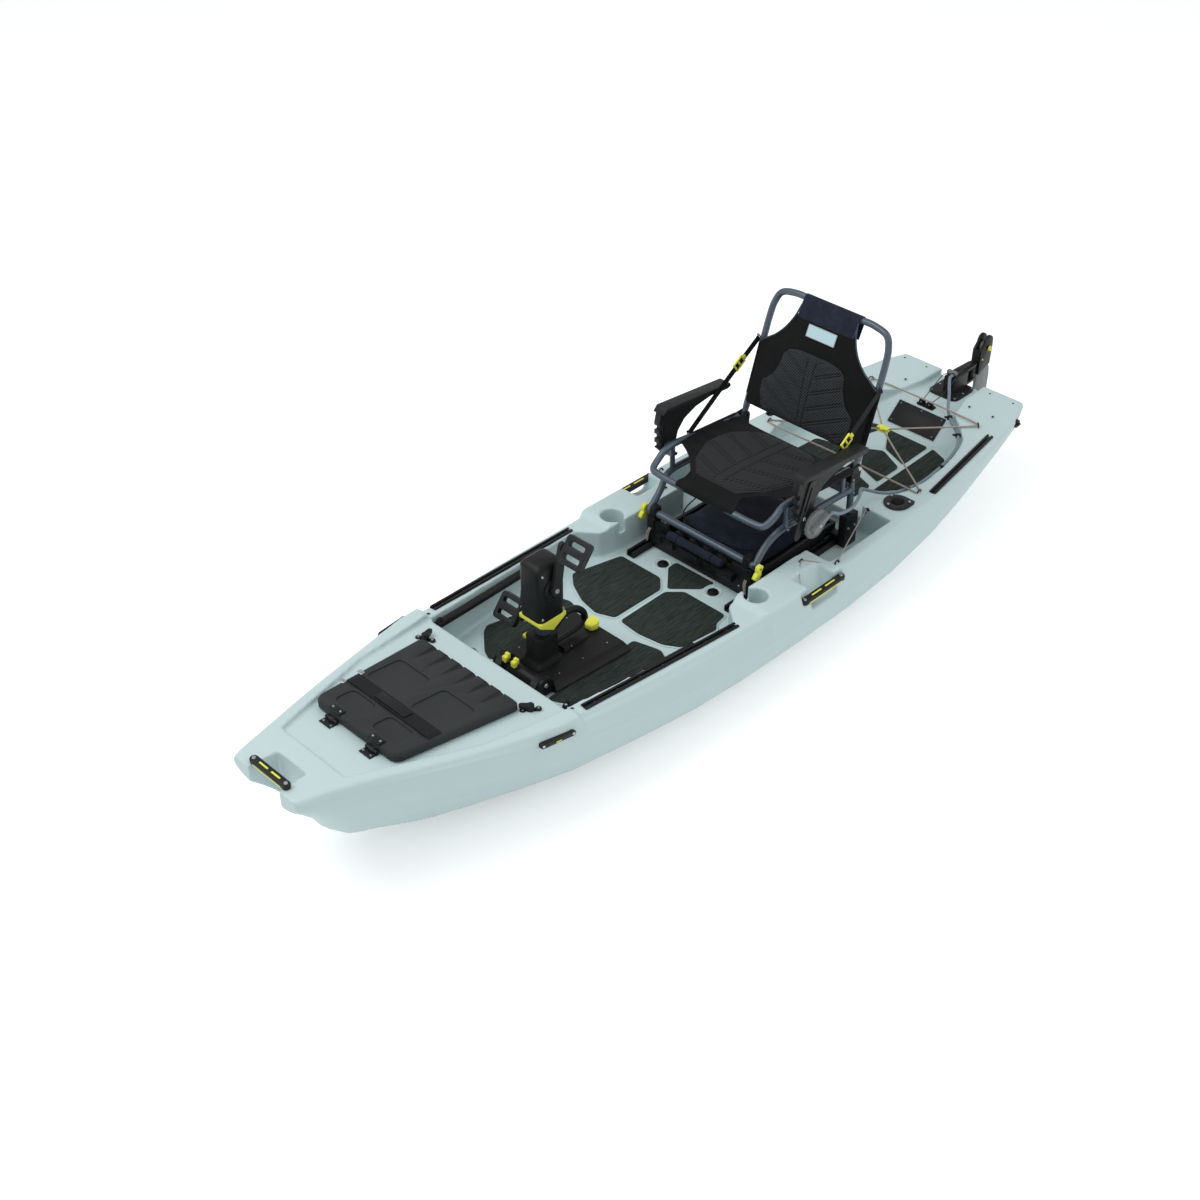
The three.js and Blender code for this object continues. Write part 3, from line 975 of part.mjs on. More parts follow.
// The tray that slides on the seat rails, with its scalloped front panel and rear blocks.
function seatBase() {
  const tray = { wall: 12, skirt: 2, floorThickness: 4, sideTop: 250, cornerInner: 186, cornerOuter: 214,
    cornerY: 142,
    shoeOuter: 222, shoeTop: 224, scallop: 17, scallops: 5, scallopPitch: 58 };
  const shoeBottom = COCKPIT_FLOOR + SEAT_GAP + RAIL_HEIGHT + SEAT_GAP;
  const inner = SEAT_BASE_HALF_WIDTH - tray.wall;
  const crossbarFoot = CROSSBAR_Z - CROSSBAR_RADIUS - SEAT_GAP;
  let panel = box(-SEAT_BASE_HALF_WIDTH, SEAT_BASE_HALF_WIDTH, SEAT_BASE_FRONT_Y,
    SEAT_BASE_FRONT_Y + tray.wall,
    COCKPIT_FLOOR + tray.skirt, SEAT_BASE_TOP);
  for (let index = 0; index < tray.scallops; index += 1) {
    const x = (index - (tray.scallops - 1) / 2) * tray.scallopPitch;
    panel = cut(panel, rod([x, SEAT_BASE_FRONT_Y - CUT_OVERRUN, SEAT_BASE_TOP], [x,
      SEAT_BASE_FRONT_Y + CUT_OVERRUN,
      SEAT_BASE_TOP], tray.scallop, SMALL_SIDES));
  }
  let base = join(panel, box(-SEAT_BASE_HALF_WIDTH, SEAT_BASE_HALF_WIDTH, SEAT_BASE_FRONT_Y, SEAT_BASE_REAR_Y,
    shoeBottom, shoeBottom + tray.floorThickness),
  box(-SEAT_BASE_HALF_WIDTH, SEAT_BASE_HALF_WIDTH, SEAT_BASE_REAR_Y - tray.wall, SEAT_BASE_REAR_Y, shoeBottom,
    tray.sideTop));
  Object.values(SIDES).forEach((side) => {
    base = join(base,
      box(side * inner, side * SEAT_BASE_HALF_WIDTH, SEAT_BASE_FRONT_Y, SEAT_BASE_REAR_Y, shoeBottom,
      tray.sideTop),
      box(side * tray.cornerInner, side * tray.cornerOuter, SEAT_BASE_FRONT_Y - tray.wall / 2,
      tray.cornerY, shoeBottom,
        crossbarFoot),
      box(side * inner, side * tray.shoeOuter, SEAT_BASE_FRONT_Y, SEAT_BASE_FRONT_Y + tray.cornerY / 2,
      shoeBottom,
        tray.shoeTop),
      box(side * inner, side * REAR_BLOCK.outerX, REAR_BLOCK.frontY, SEAT_BASE_REAR_Y, shoeBottom,
      tray.shoeTop),
      box(side * REAR_BLOCK.innerX, side * REAR_BLOCK.outerX, REAR_BLOCK.frontY, REAR_BLOCK.rearY,
        COCKPIT_FLOOR + tray.skirt, REAR_BLOCK.top));
  });
  piece('seat_base', base, 'black');

  const bag = { halfWidth: 150, frontGap: 66, rearGap: 28, softness: 12, crown: 4 };
  const bagFloor = shoeBottom + tray.floorThickness + SEAT_GAP;
  const [bagFront, bagRear] = [SEAT_BASE_FRONT_Y + bag.frontGap, SEAT_BASE_REAR_Y - tray.wall - bag.rearGap];
  const ring = (inset, z) => roundedRectangle(inset - bag.halfWidth, bag.halfWidth - inset, bagFront + inset,
    bagRear - inset, bag.softness, 3).map(([x, y]) => [x, y, z]);
  piece('under_seat_bag', loft([ring(bag.crown, bagFloor), ring(0, bagFloor + bag.softness),
    ring(0, SEAT_BAG_TOP - bag.softness), ring(bag.crown, SEAT_BAG_TOP - bag.crown), ring(bag.softness * 2,
    SEAT_BAG_TOP)]),
  'navy');

  const roll = { radius: 17, halfLength: 125 };
  piece('pouch_roll', crossRod(SEAT_BASE_FRONT_Y - roll.radius - SEAT_GAP, SEAT_BASE_TOP - roll.radius / 2,
    roll.radius, roll.halfLength, SMALL_SIDES), 'navy');
}

// The seat's bent tubes: side tubes with the front cross tube, legs, lower rails, crossbar and hinge clevises.
function seatFrame() {
  const tube = SEAT_TUBE_RADIUS;
  const crossTube = { y: 134, z: 452, corner: 20 };
  const bend = { y: 217, z: 495 };
  const rear = { y: 548, z: 468, x: 228 };
  const leg = { x: 217, kneeY: 168, kneeZ: 366, topY: 210, topZ: 402, rearZ: 392, rearX: 232 };
  const sling = { y: 515, z: 432.6, radius: 10, outerX: 228 };
  const clevis = { inner: 214, tongueInner: 221.4, tongueOuter: 234.6, outer: 242, radius: 14, footY: 546,
    rearY: 592,
    footZ: 424, blockTop: 444, pin: 5 };
  const x = SIDE_TUBE_X;
  const hoop = (side) => [[side * rear.x, rear.y, rear.z], [side * x, (rear.y + bend.y) / 2,
    (rear.z + bend.z) / 2],
    [side * x, bend.y, bend.z], [side * x, crossTube.y + crossTube.corner * 2,
    crossTube.z + crossTube.corner],
    [side * (x - crossTube.corner / 2), crossTube.y + crossTube.corner / 3, crossTube.z + tube / 4],
    [side * (x - crossTube.corner * 2), crossTube.y, crossTube.z]];
  const loopPoints = [...hoop(1), [0, crossTube.y, crossTube.z], ...hoop(-1).reverse()];
  let frame = join(pipe(loopPoints, tube, LOOP_STEPS, CORD_SIDES),
    crossRod(SEAT_BASE_FRONT_Y + CROSSBAR_SETBACK, CROSSBAR_Z, CROSSBAR_RADIUS, leg.x, SMALL_SIDES),
    crossRod(sling.y, sling.z, sling.radius, sling.outerX, SMALL_SIDES));
  const crossbarY = SEAT_BASE_FRONT_Y + CROSSBAR_SETBACK;
  Object.values(SIDES).forEach((side) => {
    const legPoints = [[side * leg.x, crossbarY, CROSSBAR_Z], [side * leg.x, leg.kneeY, leg.kneeZ],
      [side * (leg.x + tube), leg.topY, leg.topZ], [side * leg.rearX, (leg.topY + clevis.footY) / 2,
      leg.topZ],
      [side * leg.rearX, clevis.footY + tube, leg.rearZ]];
    const strut = rod([side * leg.rearX, bend.y + tube * 2, leg.topZ], [side * x, bend.y + tube * 2,
      bend.z - tube / 2],
      STRUT_RADIUS, CORD_SIDES);
    const rearStrut = rod([side * leg.rearX, sling.y, leg.rearZ], [side * (rear.x + tube / 4), sling.y,
      rear.z],
      STRUT_RADIUS, CORD_SIDES);
    const rearLeg = rod([side * REAR_LEG_X, REAR_LEG_Y, REAR_BLOCK.top + SEAT_GAP], [side * rear.x,
      REAR_LEG_Y, clevis.blockTop],
      tube, SMALL_SIDES);
    const block = box(side * clevis.inner, side * clevis.outer, clevis.footY, clevis.rearY, clevis.footZ,
      clevis.blockTop);
    const plateOutline = [[clevis.footY, clevis.footZ], [clevis.rearY, clevis.footZ],
      ...arc(BACK_PIVOT_Y, BACK_PIVOT_Z, clevis.radius, 0, Math.PI, CORD_SIDES), [clevis.footY,
      rear.z + tube]];
    const plates = [[clevis.inner, clevis.tongueInner], [clevis.tongueOuter, clevis.outer]].map(([from,
      to]) =>
      prismX(plateOutline, ...spanX(side, from, to)));
    const hingePin = rod([side * clevis.inner, BACK_PIVOT_Y, BACK_PIVOT_Z],
      [side * (clevis.outer + clevis.pin), BACK_PIVOT_Y,
      BACK_PIVOT_Z], clevis.pin, SMALL_SIDES);
    const lug = box(side * (x + tube / 2), side * (ARM.inner - ARM.gap), ARM_PIVOT.y - ARM_PIVOT.pin * 2,
      ARM_PIVOT.y + ARM_PIVOT.pin * 2, ARM_PIVOT.z - ARM_PIVOT.pin * 2, bend.z - tube / 2);
    const armPin = rod([side * x, ARM_PIVOT.y, ARM_PIVOT.z], [side * ARM_PIVOT.outer, ARM_PIVOT.y,
      ARM_PIVOT.z],
      ARM_PIVOT.pin, SMALL_SIDES);
    const camPin = rod([side * leg.x, crossbarY, CROSSBAR_Z], [side * CAM.outer, crossbarY, CROSSBAR_Z],
      CAM.pin, SMALL_SIDES);
    frame = join(frame, pipe(legPoints, tube, CORD_SIDES, CORD_SIDES), strut, rearStrut, rearLeg, block,
      ...plates, hingePin, lug,
      armPin, camPin);
  });
  piece('seat_frame', frame, 'frame');

  Object.entries(SIDES).forEach(([name, side]) => {
    const cam = { hub: 13, length: 36, tip: 8, angle: 4.1 };
    const tip = [crossbarY + cam.length * Math.cos(cam.angle), CROSSBAR_Z + cam.length * Math.sin(cam.angle)];
    const lever = prismX(capsule(crossbarY, CROSSBAR_Z, cam.hub, ...tip, cam.tip), ...spanX(side,
      CAM.inner, CAM.outer));
    piece(`seat_clamp_${name}`, cut(lever, crossRod(crossbarY, CROSSBAR_Z, CAM.pin + SEAT_GAP,
      HULL_HALF_BEAM, SMALL_SIDES)),
      'yellow');
  });
}

// Drop of the chevron channels at a place on a pad: a ridge line down the middle and slanting grooves.
function channelDrop(across, along, pitch, slant, groove, depth) {
  const phase = (((along + slant * Math.abs(across)) % pitch) + pitch) % pitch;
  const fromGroove = Math.min(phase, pitch - phase);
  return depth * Math.max(1 - fromGroove / groove, 0);
}

// The seat cushion with its crown, falling front and chevron channels, and the drawn-in sleeve edge.
function seatCushion() {
  const pad = { frontY: 146, rearY: 541, cornerLength: 50, cornerInset: 46, taperY: 382, taper: 8,
    bottom: 443,
    side: 451, edge: 462, top: 481, frontDrop: 16, dropLength: 60,
    padHalfWidth: 150, pitch: 64, slant: -0.6, groove: 17, depth: 5, columns: 16, rows: 18 };
  const halfWidth = SIDE_TUBE_X - SEAT_TUBE_RADIUS - SEAT_GAP;
  const ring = (row) => {
    const y = pad.frontY + ((pad.rearY - pad.frontY) * row) / pad.rows;
    const ends = Math.sin(Math.PI * Math.min(Math.max(row / pad.rows, 0.04), 0.96)) ** 0.35;
    const front = pad.frontDrop * Math.max(1 - (y - pad.frontY) / pad.dropLength, 0) ** 2;
    const corner = Math.max(1 - (y - pad.frontY) / pad.cornerLength, 0);
    const taper = Math.max((y - pad.taperY) / (pad.rearY - pad.taperY), 0);
    const half = halfWidth - pad.cornerInset * corner ** 1.5 - pad.taper * taper;
    const top = Array.from({ length: pad.columns + 1 }, (_, column) => {
      const x = half * ((2 * column) / pad.columns - 1);
      const crown = Math.max(1 - (Math.abs(x) / pad.padHalfWidth) ** 4, 0) ** 0.5 * ends;
      const drop = channelDrop(x, y, pad.pitch, pad.slant, pad.groove, pad.depth * crown);
      return [x, y, pad.edge + (pad.top - pad.edge) * crown - drop - front];
    });
    return [...top.reverse(), [-half, y, pad.side - front / 3], [-pad.padHalfWidth, y, pad.bottom],
      [pad.padHalfWidth, y, pad.bottom], [half, y, pad.side - front / 3]];
  };
  piece('seat_cushion', loft(Array.from({ length: pad.rows + 1 }, (_, row) => ring(row))), 'mesh');
}

// The reclining back: its bent tube, and the panel with the padded chevron field and the sleeve over the top tube.
function seatBack() {
  const carrier = carrierAt(0, BACK_PIVOT_Y, BACK_PIVOT_Z, -BACK_LEAN);
  const x = BACK_TUBE_X;
  const tongue = { halfWidth: 6.2, radius: 12, top: 26, tubeBottom: 20, hole: 5.4 };
  const bend_shares = [[1, 0.05], [1, 0.4], [1, 0.76], [0.975, 0.885], [0.9, 0.965], [0.66, 0.999], [0.44,
    1]];
  const half = bend_shares.map(([across, up]) => [x * across, BACK_HEIGHT * up]);
  const points = [...half.map(([across, up]) => [across, 0, up]), [0, 0, BACK_HEIGHT],
    ...half.map(([across, up]) => [-across, 0, up]).reverse()];
  let tube = pipe(points, SEAT_TUBE_RADIUS, LOOP_STEPS, CORD_SIDES);
  Object.values(SIDES).forEach((side) => {
    const outline = [...arc(0, 0, tongue.radius, Math.PI, FULL_TURN, CORD_SIDES),
      [STRUT_RADIUS, tongue.top], [-STRUT_RADIUS, tongue.top]];
    tube = join(tube, cut(prismX(outline, ...spanX(side, x - tongue.halfWidth, x + tongue.halfWidth)),
      rod([-HULL_HALF_BEAM, 0, 0], [HULL_HALF_BEAM, 0, 0], tongue.hole, SMALL_SIDES)));
  });
  piece('back_frame', tube, 'frame', carrier);

  const sheet = { thickness: 5, bottom: 44 };
  const face = -SEAT_TUBE_RADIUS - SEAT_GAP;
  const side_shares = [[0.9, 0.1], [0.99, 0.125], [1, 0.17], [1, 0.585], [0.87, 0.62], [0.72, 0.68], [0.58,
    0.77],
    [0.49, 0.87], [0.46, 0.95], [0.455, 1]];
  const outline = mirroredOutline(side_shares.map(([across, up]) => [(x + SEAT_TUBE_RADIUS) * across,
    BACK_HEIGHT * up]));
  const bandHalf = (x + SEAT_TUBE_RADIUS) * side_shares[side_shares.length - 1][0];
  const bandRadius = SEAT_TUBE_RADIUS + SEAT_GAP + sheet.thickness;
  const sleeve = cut(rod([-bandHalf, 0, BACK_HEIGHT], [bandHalf, 0, BACK_HEIGHT], bandRadius, ROUND_SIDES),
    rod([-x, 0, BACK_HEIGHT], [x, 0, BACK_HEIGHT], SEAT_TUBE_RADIUS + SEAT_GAP * 3, ROUND_SIDES));
  const panel = cut(prismY(outline, face - sheet.thickness, face), rod([-x, 0, BACK_HEIGHT], [x, 0,
    BACK_HEIGHT],
    SEAT_TUBE_RADIUS + SEAT_GAP * 3, ROUND_SIDES));

  const pad = { bottom: 62, top: 300, seam: 0.5, crown: 15, pitch: 40, slant: -0.75, groove: 11, depth: 4,
    columns: 14, rows: 14 };
  const width_shares = [[0, 0.4], [0.12, 0.46], [0.35, 0.52], [0.55, 0.53], [0.68, 0.5], [0.74, 0.42], [1,
    0.36]];
  const widthAt = (share) => {
    const next = Math.max(width_shares.findIndex(([along]) => along >= share), 1);
    const [[a0, w0], [a1, w1]] = [width_shares[next - 1], width_shares[next]];
    return x * (w0 + ((w1 - w0) * (share - a0)) / (a1 - a0));
  };
  const ring = (row) => {
    const share = row / pad.rows;
    const z = pad.bottom + (pad.top - pad.bottom) * share;
    const half = widthAt(share);
    const front = face - sheet.thickness;
    const ends = Math.sin(Math.PI * Math.min(Math.max(share, 0.03), 0.97)) ** 0.4;
    const skin = Array.from({ length: pad.columns + 1 }, (_, column) => {
      const across = half * ((2 * column) / pad.columns - 1);
      const crown = Math.max(1 - (Math.abs(across) / half) ** 6, 0) ** 0.5 * ends;
      const drop = channelDrop(across, z, pad.pitch, pad.slant, pad.groove, pad.depth * crown);
      return [across, front + pad.seam - pad.crown * crown + drop, z];
    });
    return [...skin, [half, front + sheet.thickness / 2, z], [-half, front + sheet.thickness / 2, z]];
  };
  const field = loft(Array.from({ length: pad.rows + 1 }, (_, row) => ring(row)));
  piece('back_panel', join(panel, sleeve, field), 'mesh', carrier);
}

// Armrests on their pivot pins: a flat pad over a post that sweeps into it, with utility notches in front.
function armrests() {
  const arm_shares = [[0.1, 0], [0, 0.2], [-0.01, 0.72], [0.012, 0.9], [0.06, 1], [1, 0.83], [1.01, 0.78],
    [0.97, 0.74],
    [0.74, 0.73], [0.52, 0.68], [0.36, 0.56], [0.27, 0.38], [0.235, 0.15], [0.2, 0]];
  const pad_shares = [[0.012, 0.9], [0.06, 1], [1, 0.83], [1.01, 0.77], [0.97, 0.74], [0.075, 0.9]];
  const notch_shares = [0.26, 0.44, 0.62];
  const notch = { depth: 9, height: 17 };
  const place = ([along, up]) => [ARM.frontY + ARM.length * along, ARM.bottomZ + ARM.height * up];
  Object.entries(SIDES).forEach(([name, side]) => {
    let arm = join(prismX(arm_shares.map(place), ...spanX(side, ARM.inner, ARM.outer)),
      prismX(pad_shares.map(place), ...spanX(side, ARM_X - ARM.padWidth / 2, ARM_X + ARM.padWidth / 2)));
    notch_shares.forEach((share) => {
      const [y, z] = place([0, share]);
      arm = cut(arm, box(side * ARM.inner - side * CUT_OVERRUN, side * ARM.outer + side * CUT_OVERRUN,
        y - CUT_OVERRUN,
        y + notch.depth, z - notch.height / 2, z + notch.height / 2));
    });
    arm = cut(arm, crossRod(ARM_PIVOT.y, ARM_PIVOT.z, ARM_PIVOT.pin + SEAT_GAP, HULL_HALF_BEAM, SMALL_SIDES));
    piece(`armrest_${name}`, arm, 'charcoal');
  });
}

// Webbing from the back's tubes down to the side tubes.
function sideStraps() {
  const strap = { width: 25, thickness: 2.4, topY: 650, topZ: 717, bottomY: 330, bottomZ: 492 };
  const out = SEAT_GAP + strap.thickness / 2 + SEAT_TUBE_RADIUS;
  Object.entries(SIDES).forEach(([name, side]) => {
    const webbing = beam(rectangle(strap.thickness / 2, -strap.width / 2, strap.width / 2),
      [side * (SIDE_TUBE_X + out + SEAT_GAP * 2), strap.bottomY, strap.bottomZ],
      [side * (BACK_TUBE_X + out + SEAT_GAP * 4), strap.topY, strap.topZ]);
    piece(`side_strap_${name}`, webbing, 'black');
  });
}

// The slotted bracket that carries the steering dial, the dial itself and the conduit boss.
function steeringDial() {
  const plate = { inner: 290.6, outer: 294.6, halfWidth: 14, topY: 272, topZ: 576, bottomY: 219, bottomZ: 412,
    slotFrom: 0.5, slotTo: 0.92, slotHalfWidth: 4 };
  const slope = (share) => [plate.bottomY + (plate.topY - plate.bottomY) * share,
    plate.bottomZ + (plate.topZ - plate.bottomZ) * share];
  const bar = prismX(capsule(plate.bottomY, plate.bottomZ, plate.halfWidth, plate.topY, plate.topZ,
    plate.halfWidth),
    plate.inner, plate.outer);
  const slot = prismX(capsule(...slope(plate.slotFrom), plate.slotHalfWidth, ...slope(plate.slotTo),
    plate.slotHalfWidth),
    plate.inner - RUN_GAP, plate.outer + RUN_GAP);
  const housing = { radius: 44, rise: 9, arm: 30, boss: 8, bossY: 337, bossEndY: 358, bossZ: 430,
    bossX: 304 };
  const housingOuter = plate.outer + housing.rise;
  const disc = rod([plate.inner, DIAL_Y, DIAL_Z], [housingOuter, DIAL_Y, DIAL_Z], housing.radius, 20);
  const pivotPin = rod([plate.inner, DIAL_Y, DIAL_Z], [housingOuter + DIAL.thickness, DIAL_Y, DIAL_Z],
    DIAL.pin, SMALL_SIDES);
  const neck = box(plate.inner, housingOuter, DIAL_Y + housing.arm, housing.bossY + housing.boss,
    housing.bossZ - housing.boss, housing.bossZ + housing.boss);
  const boss = rod([housing.bossX, housing.bossY, housing.bossZ], [housing.bossX, housing.bossEndY,
    housing.bossZ],
    housing.boss, SMALL_SIDES);
  const bracket = cut(join(bar, disc, neck, boss, pivotPin), slot,
    crossRod(ARM_PIVOT.y, ARM_PIVOT.z, ARM_PIVOT.pin + SEAT_GAP, HULL_HALF_BEAM, SMALL_SIDES));
  piece('dial_bracket', bracket, 'charcoal');

  const faceX = housingOuter + SEAT_GAP;
  const grip = { rise: 16, tip: 8, root: 13, reach: 0.88, angle: 0.45 };
  const [gripY, gripZ] = [Math.cos(grip.angle) * DIAL_RADIUS * grip.reach,
    Math.sin(grip.angle) * DIAL_RADIUS * grip.reach];
  const wing = prismX(capsule(DIAL_Y - gripY / 2, DIAL_Z - gripZ / 2, grip.root, DIAL_Y + gripY,
    DIAL_Z + gripZ, grip.tip),
    faceX, faceX + DIAL.thickness + grip.rise);
  const face = rod([faceX, DIAL_Y, DIAL_Z], [faceX + DIAL.thickness, DIAL_Y, DIAL_Z], DIAL_RADIUS,
    ROUND_SIDES);
  piece('steering_dial', cut(join(face, wing), rod([0, DIAL_Y, DIAL_Z],
    [housingOuter + DIAL.thickness + SEAT_GAP, DIAL_Y, DIAL_Z],
    DIAL.pin + SEAT_GAP, SMALL_SIDES)), 'grey');
}

// The steering conduit: a lead that follows the seat, then a run fixed along the deck to the rudder bracket.
function steeringConduit() {
  const conduit = { radius: 5.5, leadSteps: 34, runSteps: 20 };
  const offDeck = ([x, y, rise]) => [x, y, deckHeight(y) + rise];
  const { socketX, socketY, socketZ } = RUDDER_BASE;
  const fromDial = [[304, 358.8, 430], [304, 374, 430], [304.5, 403, 412], [301, 468, 396], [262, 566, 370],
    [205, 660, 334]];
  const leadRises = [[197, 706, 14.1], [226, 738, 1.9], [248, 776, -6.2], [268, 830, -7.4], [278, 896, -8.1],
    [272, 990, -9.8], [268, 1022, -10.6], [265, 1042, -11.2]];
  const runRises = [[264.9, 1042.7, -11.2], [262, 1063, -11.8], [252, 1110, -11.1], [236, 1156, -9.5],
    [203, 1206, -9],
    [164, 1241, -8.1]];
  const sternRises = [[118, 1278, 15], [82, 1318, 22], [50, 1366, 40], [22, 1402, 62]];
  const lead = [...fromDial, ...leadRises.map(offDeck)];
  const run = [...runRises.map(offDeck), ...sternRises.map(([x, y, rise]) => [x, y,
    STERN_CHANNEL_FLOOR + rise]),
    [socketX, 1424, socketZ],
    [socketX, socketY - RUN_GAP - SEAT_GAP, socketZ]];
  piece('steering_cable_lead', pipe(lead, conduit.radius, conduit.leadSteps, CORD_SIDES), 'grey');
  piece('steering_cable_run', pipe(run, conduit.radius, conduit.runSteps, CORD_SIDES), 'grey');
}

// The rudder's base with its yaw post, the head that turns on it and the blade that lifts between the cheeks.
function rudder() {
  const base = { halfWidth: 60, frontY: 1395, rearY: 1520, plate: 7, blockHalfWidth: 22, blockFrontY: 1436,
    blockTop: STERN_CHANNEL_FLOOR + RUDDER_BASE.blockHeight,
    lug: 9, lugHalfWidth: 16, post: 7, socket: 9, socketLength: 16 };
  const floor = STERN_CHANNEL_FLOOR + SEAT_GAP;
  const lugs = [floor, base.blockTop].map((z) => prismZ(capsule(0, base.blockFrontY + base.blockHalfWidth,
    base.blockHalfWidth,
    0, RUDDER_POST_Y, base.lugHalfWidth), z, z + base.lug));
  const socket = join(
    rod([RUDDER_BASE.socketX, RUDDER_BASE.socketY, RUDDER_BASE.socketZ],
      [RUDDER_BASE.socketX, RUDDER_BASE.socketY + base.socketLength, RUDDER_BASE.socketZ], base.socket,
      SMALL_SIDES),
    box(RUDDER_BASE.socketX - base.socket / 2, RUDDER_BASE.socketX + base.socket / 2,
    RUDDER_BASE.socketY + RUN_GAP,
      RUDDER_BASE.socketY + base.socketLength, base.blockTop, RUDDER_BASE.socketZ));
  const mount = join(prismZ(roundedRectangle(-base.halfWidth, base.halfWidth, base.frontY, base.rearY,
    base.blockHalfWidth),
    floor, floor + base.plate),
  box(-base.blockHalfWidth, base.blockHalfWidth, base.blockFrontY, base.rearY, floor,
  base.blockTop + base.lug / 2),
  ...lugs, rod([0, RUDDER_POST_Y, floor], [0, RUDDER_POST_Y, base.blockTop + base.lug], base.post,
  SMALL_SIDES), socket);
  piece('rudder_base', mount, 'charcoal');

  const head = { hub: 14, cheekInner: 8, cheekOuter: 18, cheekFrontY: 1594, webRearY: 1604,
    cheekBottom: STERN_CHANNEL_FLOOR + 38,
    shoulder: 24, flare: 26.4, pin: 6, arcSteps: 10 };
  const hubSpan = [floor + base.lug + SEAT_GAP, base.blockTop - SEAT_GAP];
  const hub = rod([0, RUDDER_POST_Y, hubSpan[0]], [0, RUDDER_POST_Y, hubSpan[1]], head.hub, SMALL_SIDES);
  const arm = box(-head.cheekInner, head.cheekInner, RUDDER_POST_Y, head.webRearY,
    head.cheekBottom - head.shoulder, hubSpan[1]);
  const web = box(-head.cheekOuter, head.cheekOuter, head.cheekFrontY, head.webRearY,
    head.cheekBottom - head.shoulder,
    BLADE_PIVOT_Z);
  const cheekOutline = [[head.cheekFrontY, head.cheekBottom - head.shoulder],
    [BLADE_PIVOT_Y + head.shoulder, head.cheekBottom],
    [BLADE_PIVOT_Y + head.flare, BLADE_PIVOT_Z],
    ...arc(BLADE_PIVOT_Y, BLADE_PIVOT_Z + head.shoulder, head.shoulder, 0, Math.PI, head.arcSteps),
    [head.cheekFrontY, BLADE_PIVOT_Z]];
  const cheeks = Object.values(SIDES).map((side) => prismX(cheekOutline, ...spanX(side, head.cheekInner,
    head.cheekOuter)));
  const bolt = rod([-head.cheekOuter - head.pin, BLADE_PIVOT_Y, BLADE_PIVOT_Z],
    [head.cheekOuter + head.pin, BLADE_PIVOT_Y,
    BLADE_PIVOT_Z], head.pin, SMALL_SIDES);
  piece('rudder_head', cut(join(hub, arm, web, ...cheeks, bolt), rod([0, RUDDER_POST_Y, 0], [0,
    RUDDER_POST_Y, BLADE_PIVOT_Z + BLADE_CHORD],
    base.post + SEAT_GAP, SMALL_SIDES)), 'charcoal');

  const blade = { hub: 22, root: 12, halfThickness: 5, hubHalfThickness: 7.6, edgeHalfThickness: 1.5,
    edge: 14 };
  const blade_shares = [[-0.26, 0.06], [-0.3, 0.2], [-0.36, 0.3], [-0.37, 0.8], [-0.28, 0.95], [-0.1, 1],
    [0.3, 0.98], [0.52, 0.9],
    [0.62, 0.7], [0.63, 0.4], [0.56, 0.3], [0.3, 0.2], [0.26, 0.06]];
  const outline = blade_shares.map(([across, down]) => [BLADE_PIVOT_Y + BLADE_CHORD * across,
    BLADE_PIVOT_Z - BLADE_LENGTH * down]);
  const plate = prismX(outline, -blade.halfThickness, blade.halfThickness);
  const eye = crossRod(BLADE_PIVOT_Y, BLADE_PIVOT_Z, blade.hub, blade.hubHalfThickness);
  piece('rudder_blade', cut(join(plate, eye), crossRod(BLADE_PIVOT_Y, BLADE_PIVOT_Z, head.pin + SEAT_GAP,
    HULL_HALF_BEAM, SMALL_SIDES)),
    'grey');
}

// One bungee round four eyes and a middle hook, crossing over the tankwell.
function tankwellBungee() {
  const bungee = { radius: 3, steps: 52, rearLift: 2.5, frontInset: 99, rearInset: 187 };
  const [front, back] = [HULL_HALF_BEAM - bungee.frontInset, HULL_HALF_BEAM - bungee.rearInset];
  const eye = (x, y, lift = 0) => [x, y, deckHeight(y) + bungee.radius + SEAT_GAP + lift];
  const hook = { x: 10, y: 1055, rise: 1.5, turn: 6, waist: 8 };
  const hookZ = deckHeight(hook.y) + hook.rise;
  const hookBend = (way) => [[way * hook.x, hook.y + way * hook.turn, hookZ],
    [way * hook.waist, hook.y, hookZ], [way * hook.x, hook.y - way * hook.turn, hookZ]];
  const rear = [[4 - back, 1278], [-back, 1288], [10 - back, 1292], [back - 10, 1292], [back, 1288],
    [back - 4, 1278]];
  const route = [eye(front - 4, 818), eye(0, 822), eye(10 - front, 820), eye(-front, 828), eye(8 - front,
    838), ...hookBend(-1),
    ...rear.map(([x, y]) => eye(x, y, bungee.rearLift)), ...hookBend(1), eye(front - 8, 838), eye(front,
    830)];
  piece('tankwell_bungee', pipe(route, bungee.radius, bungee.steps, CORD_SIDES), 'cord');
}

hull();
grabHandles();
tracksAndRails();
deckFittings();
hatchLid();
hatchHardware();
driveBase();
driveColumn();
lowerLeg();
driveHead();
seatBase();
seatFrame();
seatCushion();
seatBack();
armrests();
sideStraps();
steeringDial();
steeringConduit();
rudder();
tankwellBungee();

export default kayak;
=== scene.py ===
"""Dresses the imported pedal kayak: finishes, soft goods, cords, trim, soft studio light and the camera."""

import json
import logging
import math
from dataclasses import dataclass
from enum import Enum
from typing import Any, Callable, Iterator, Optional, Sequence

import bmesh
import bpy
from mathutils import Matrix, Vector


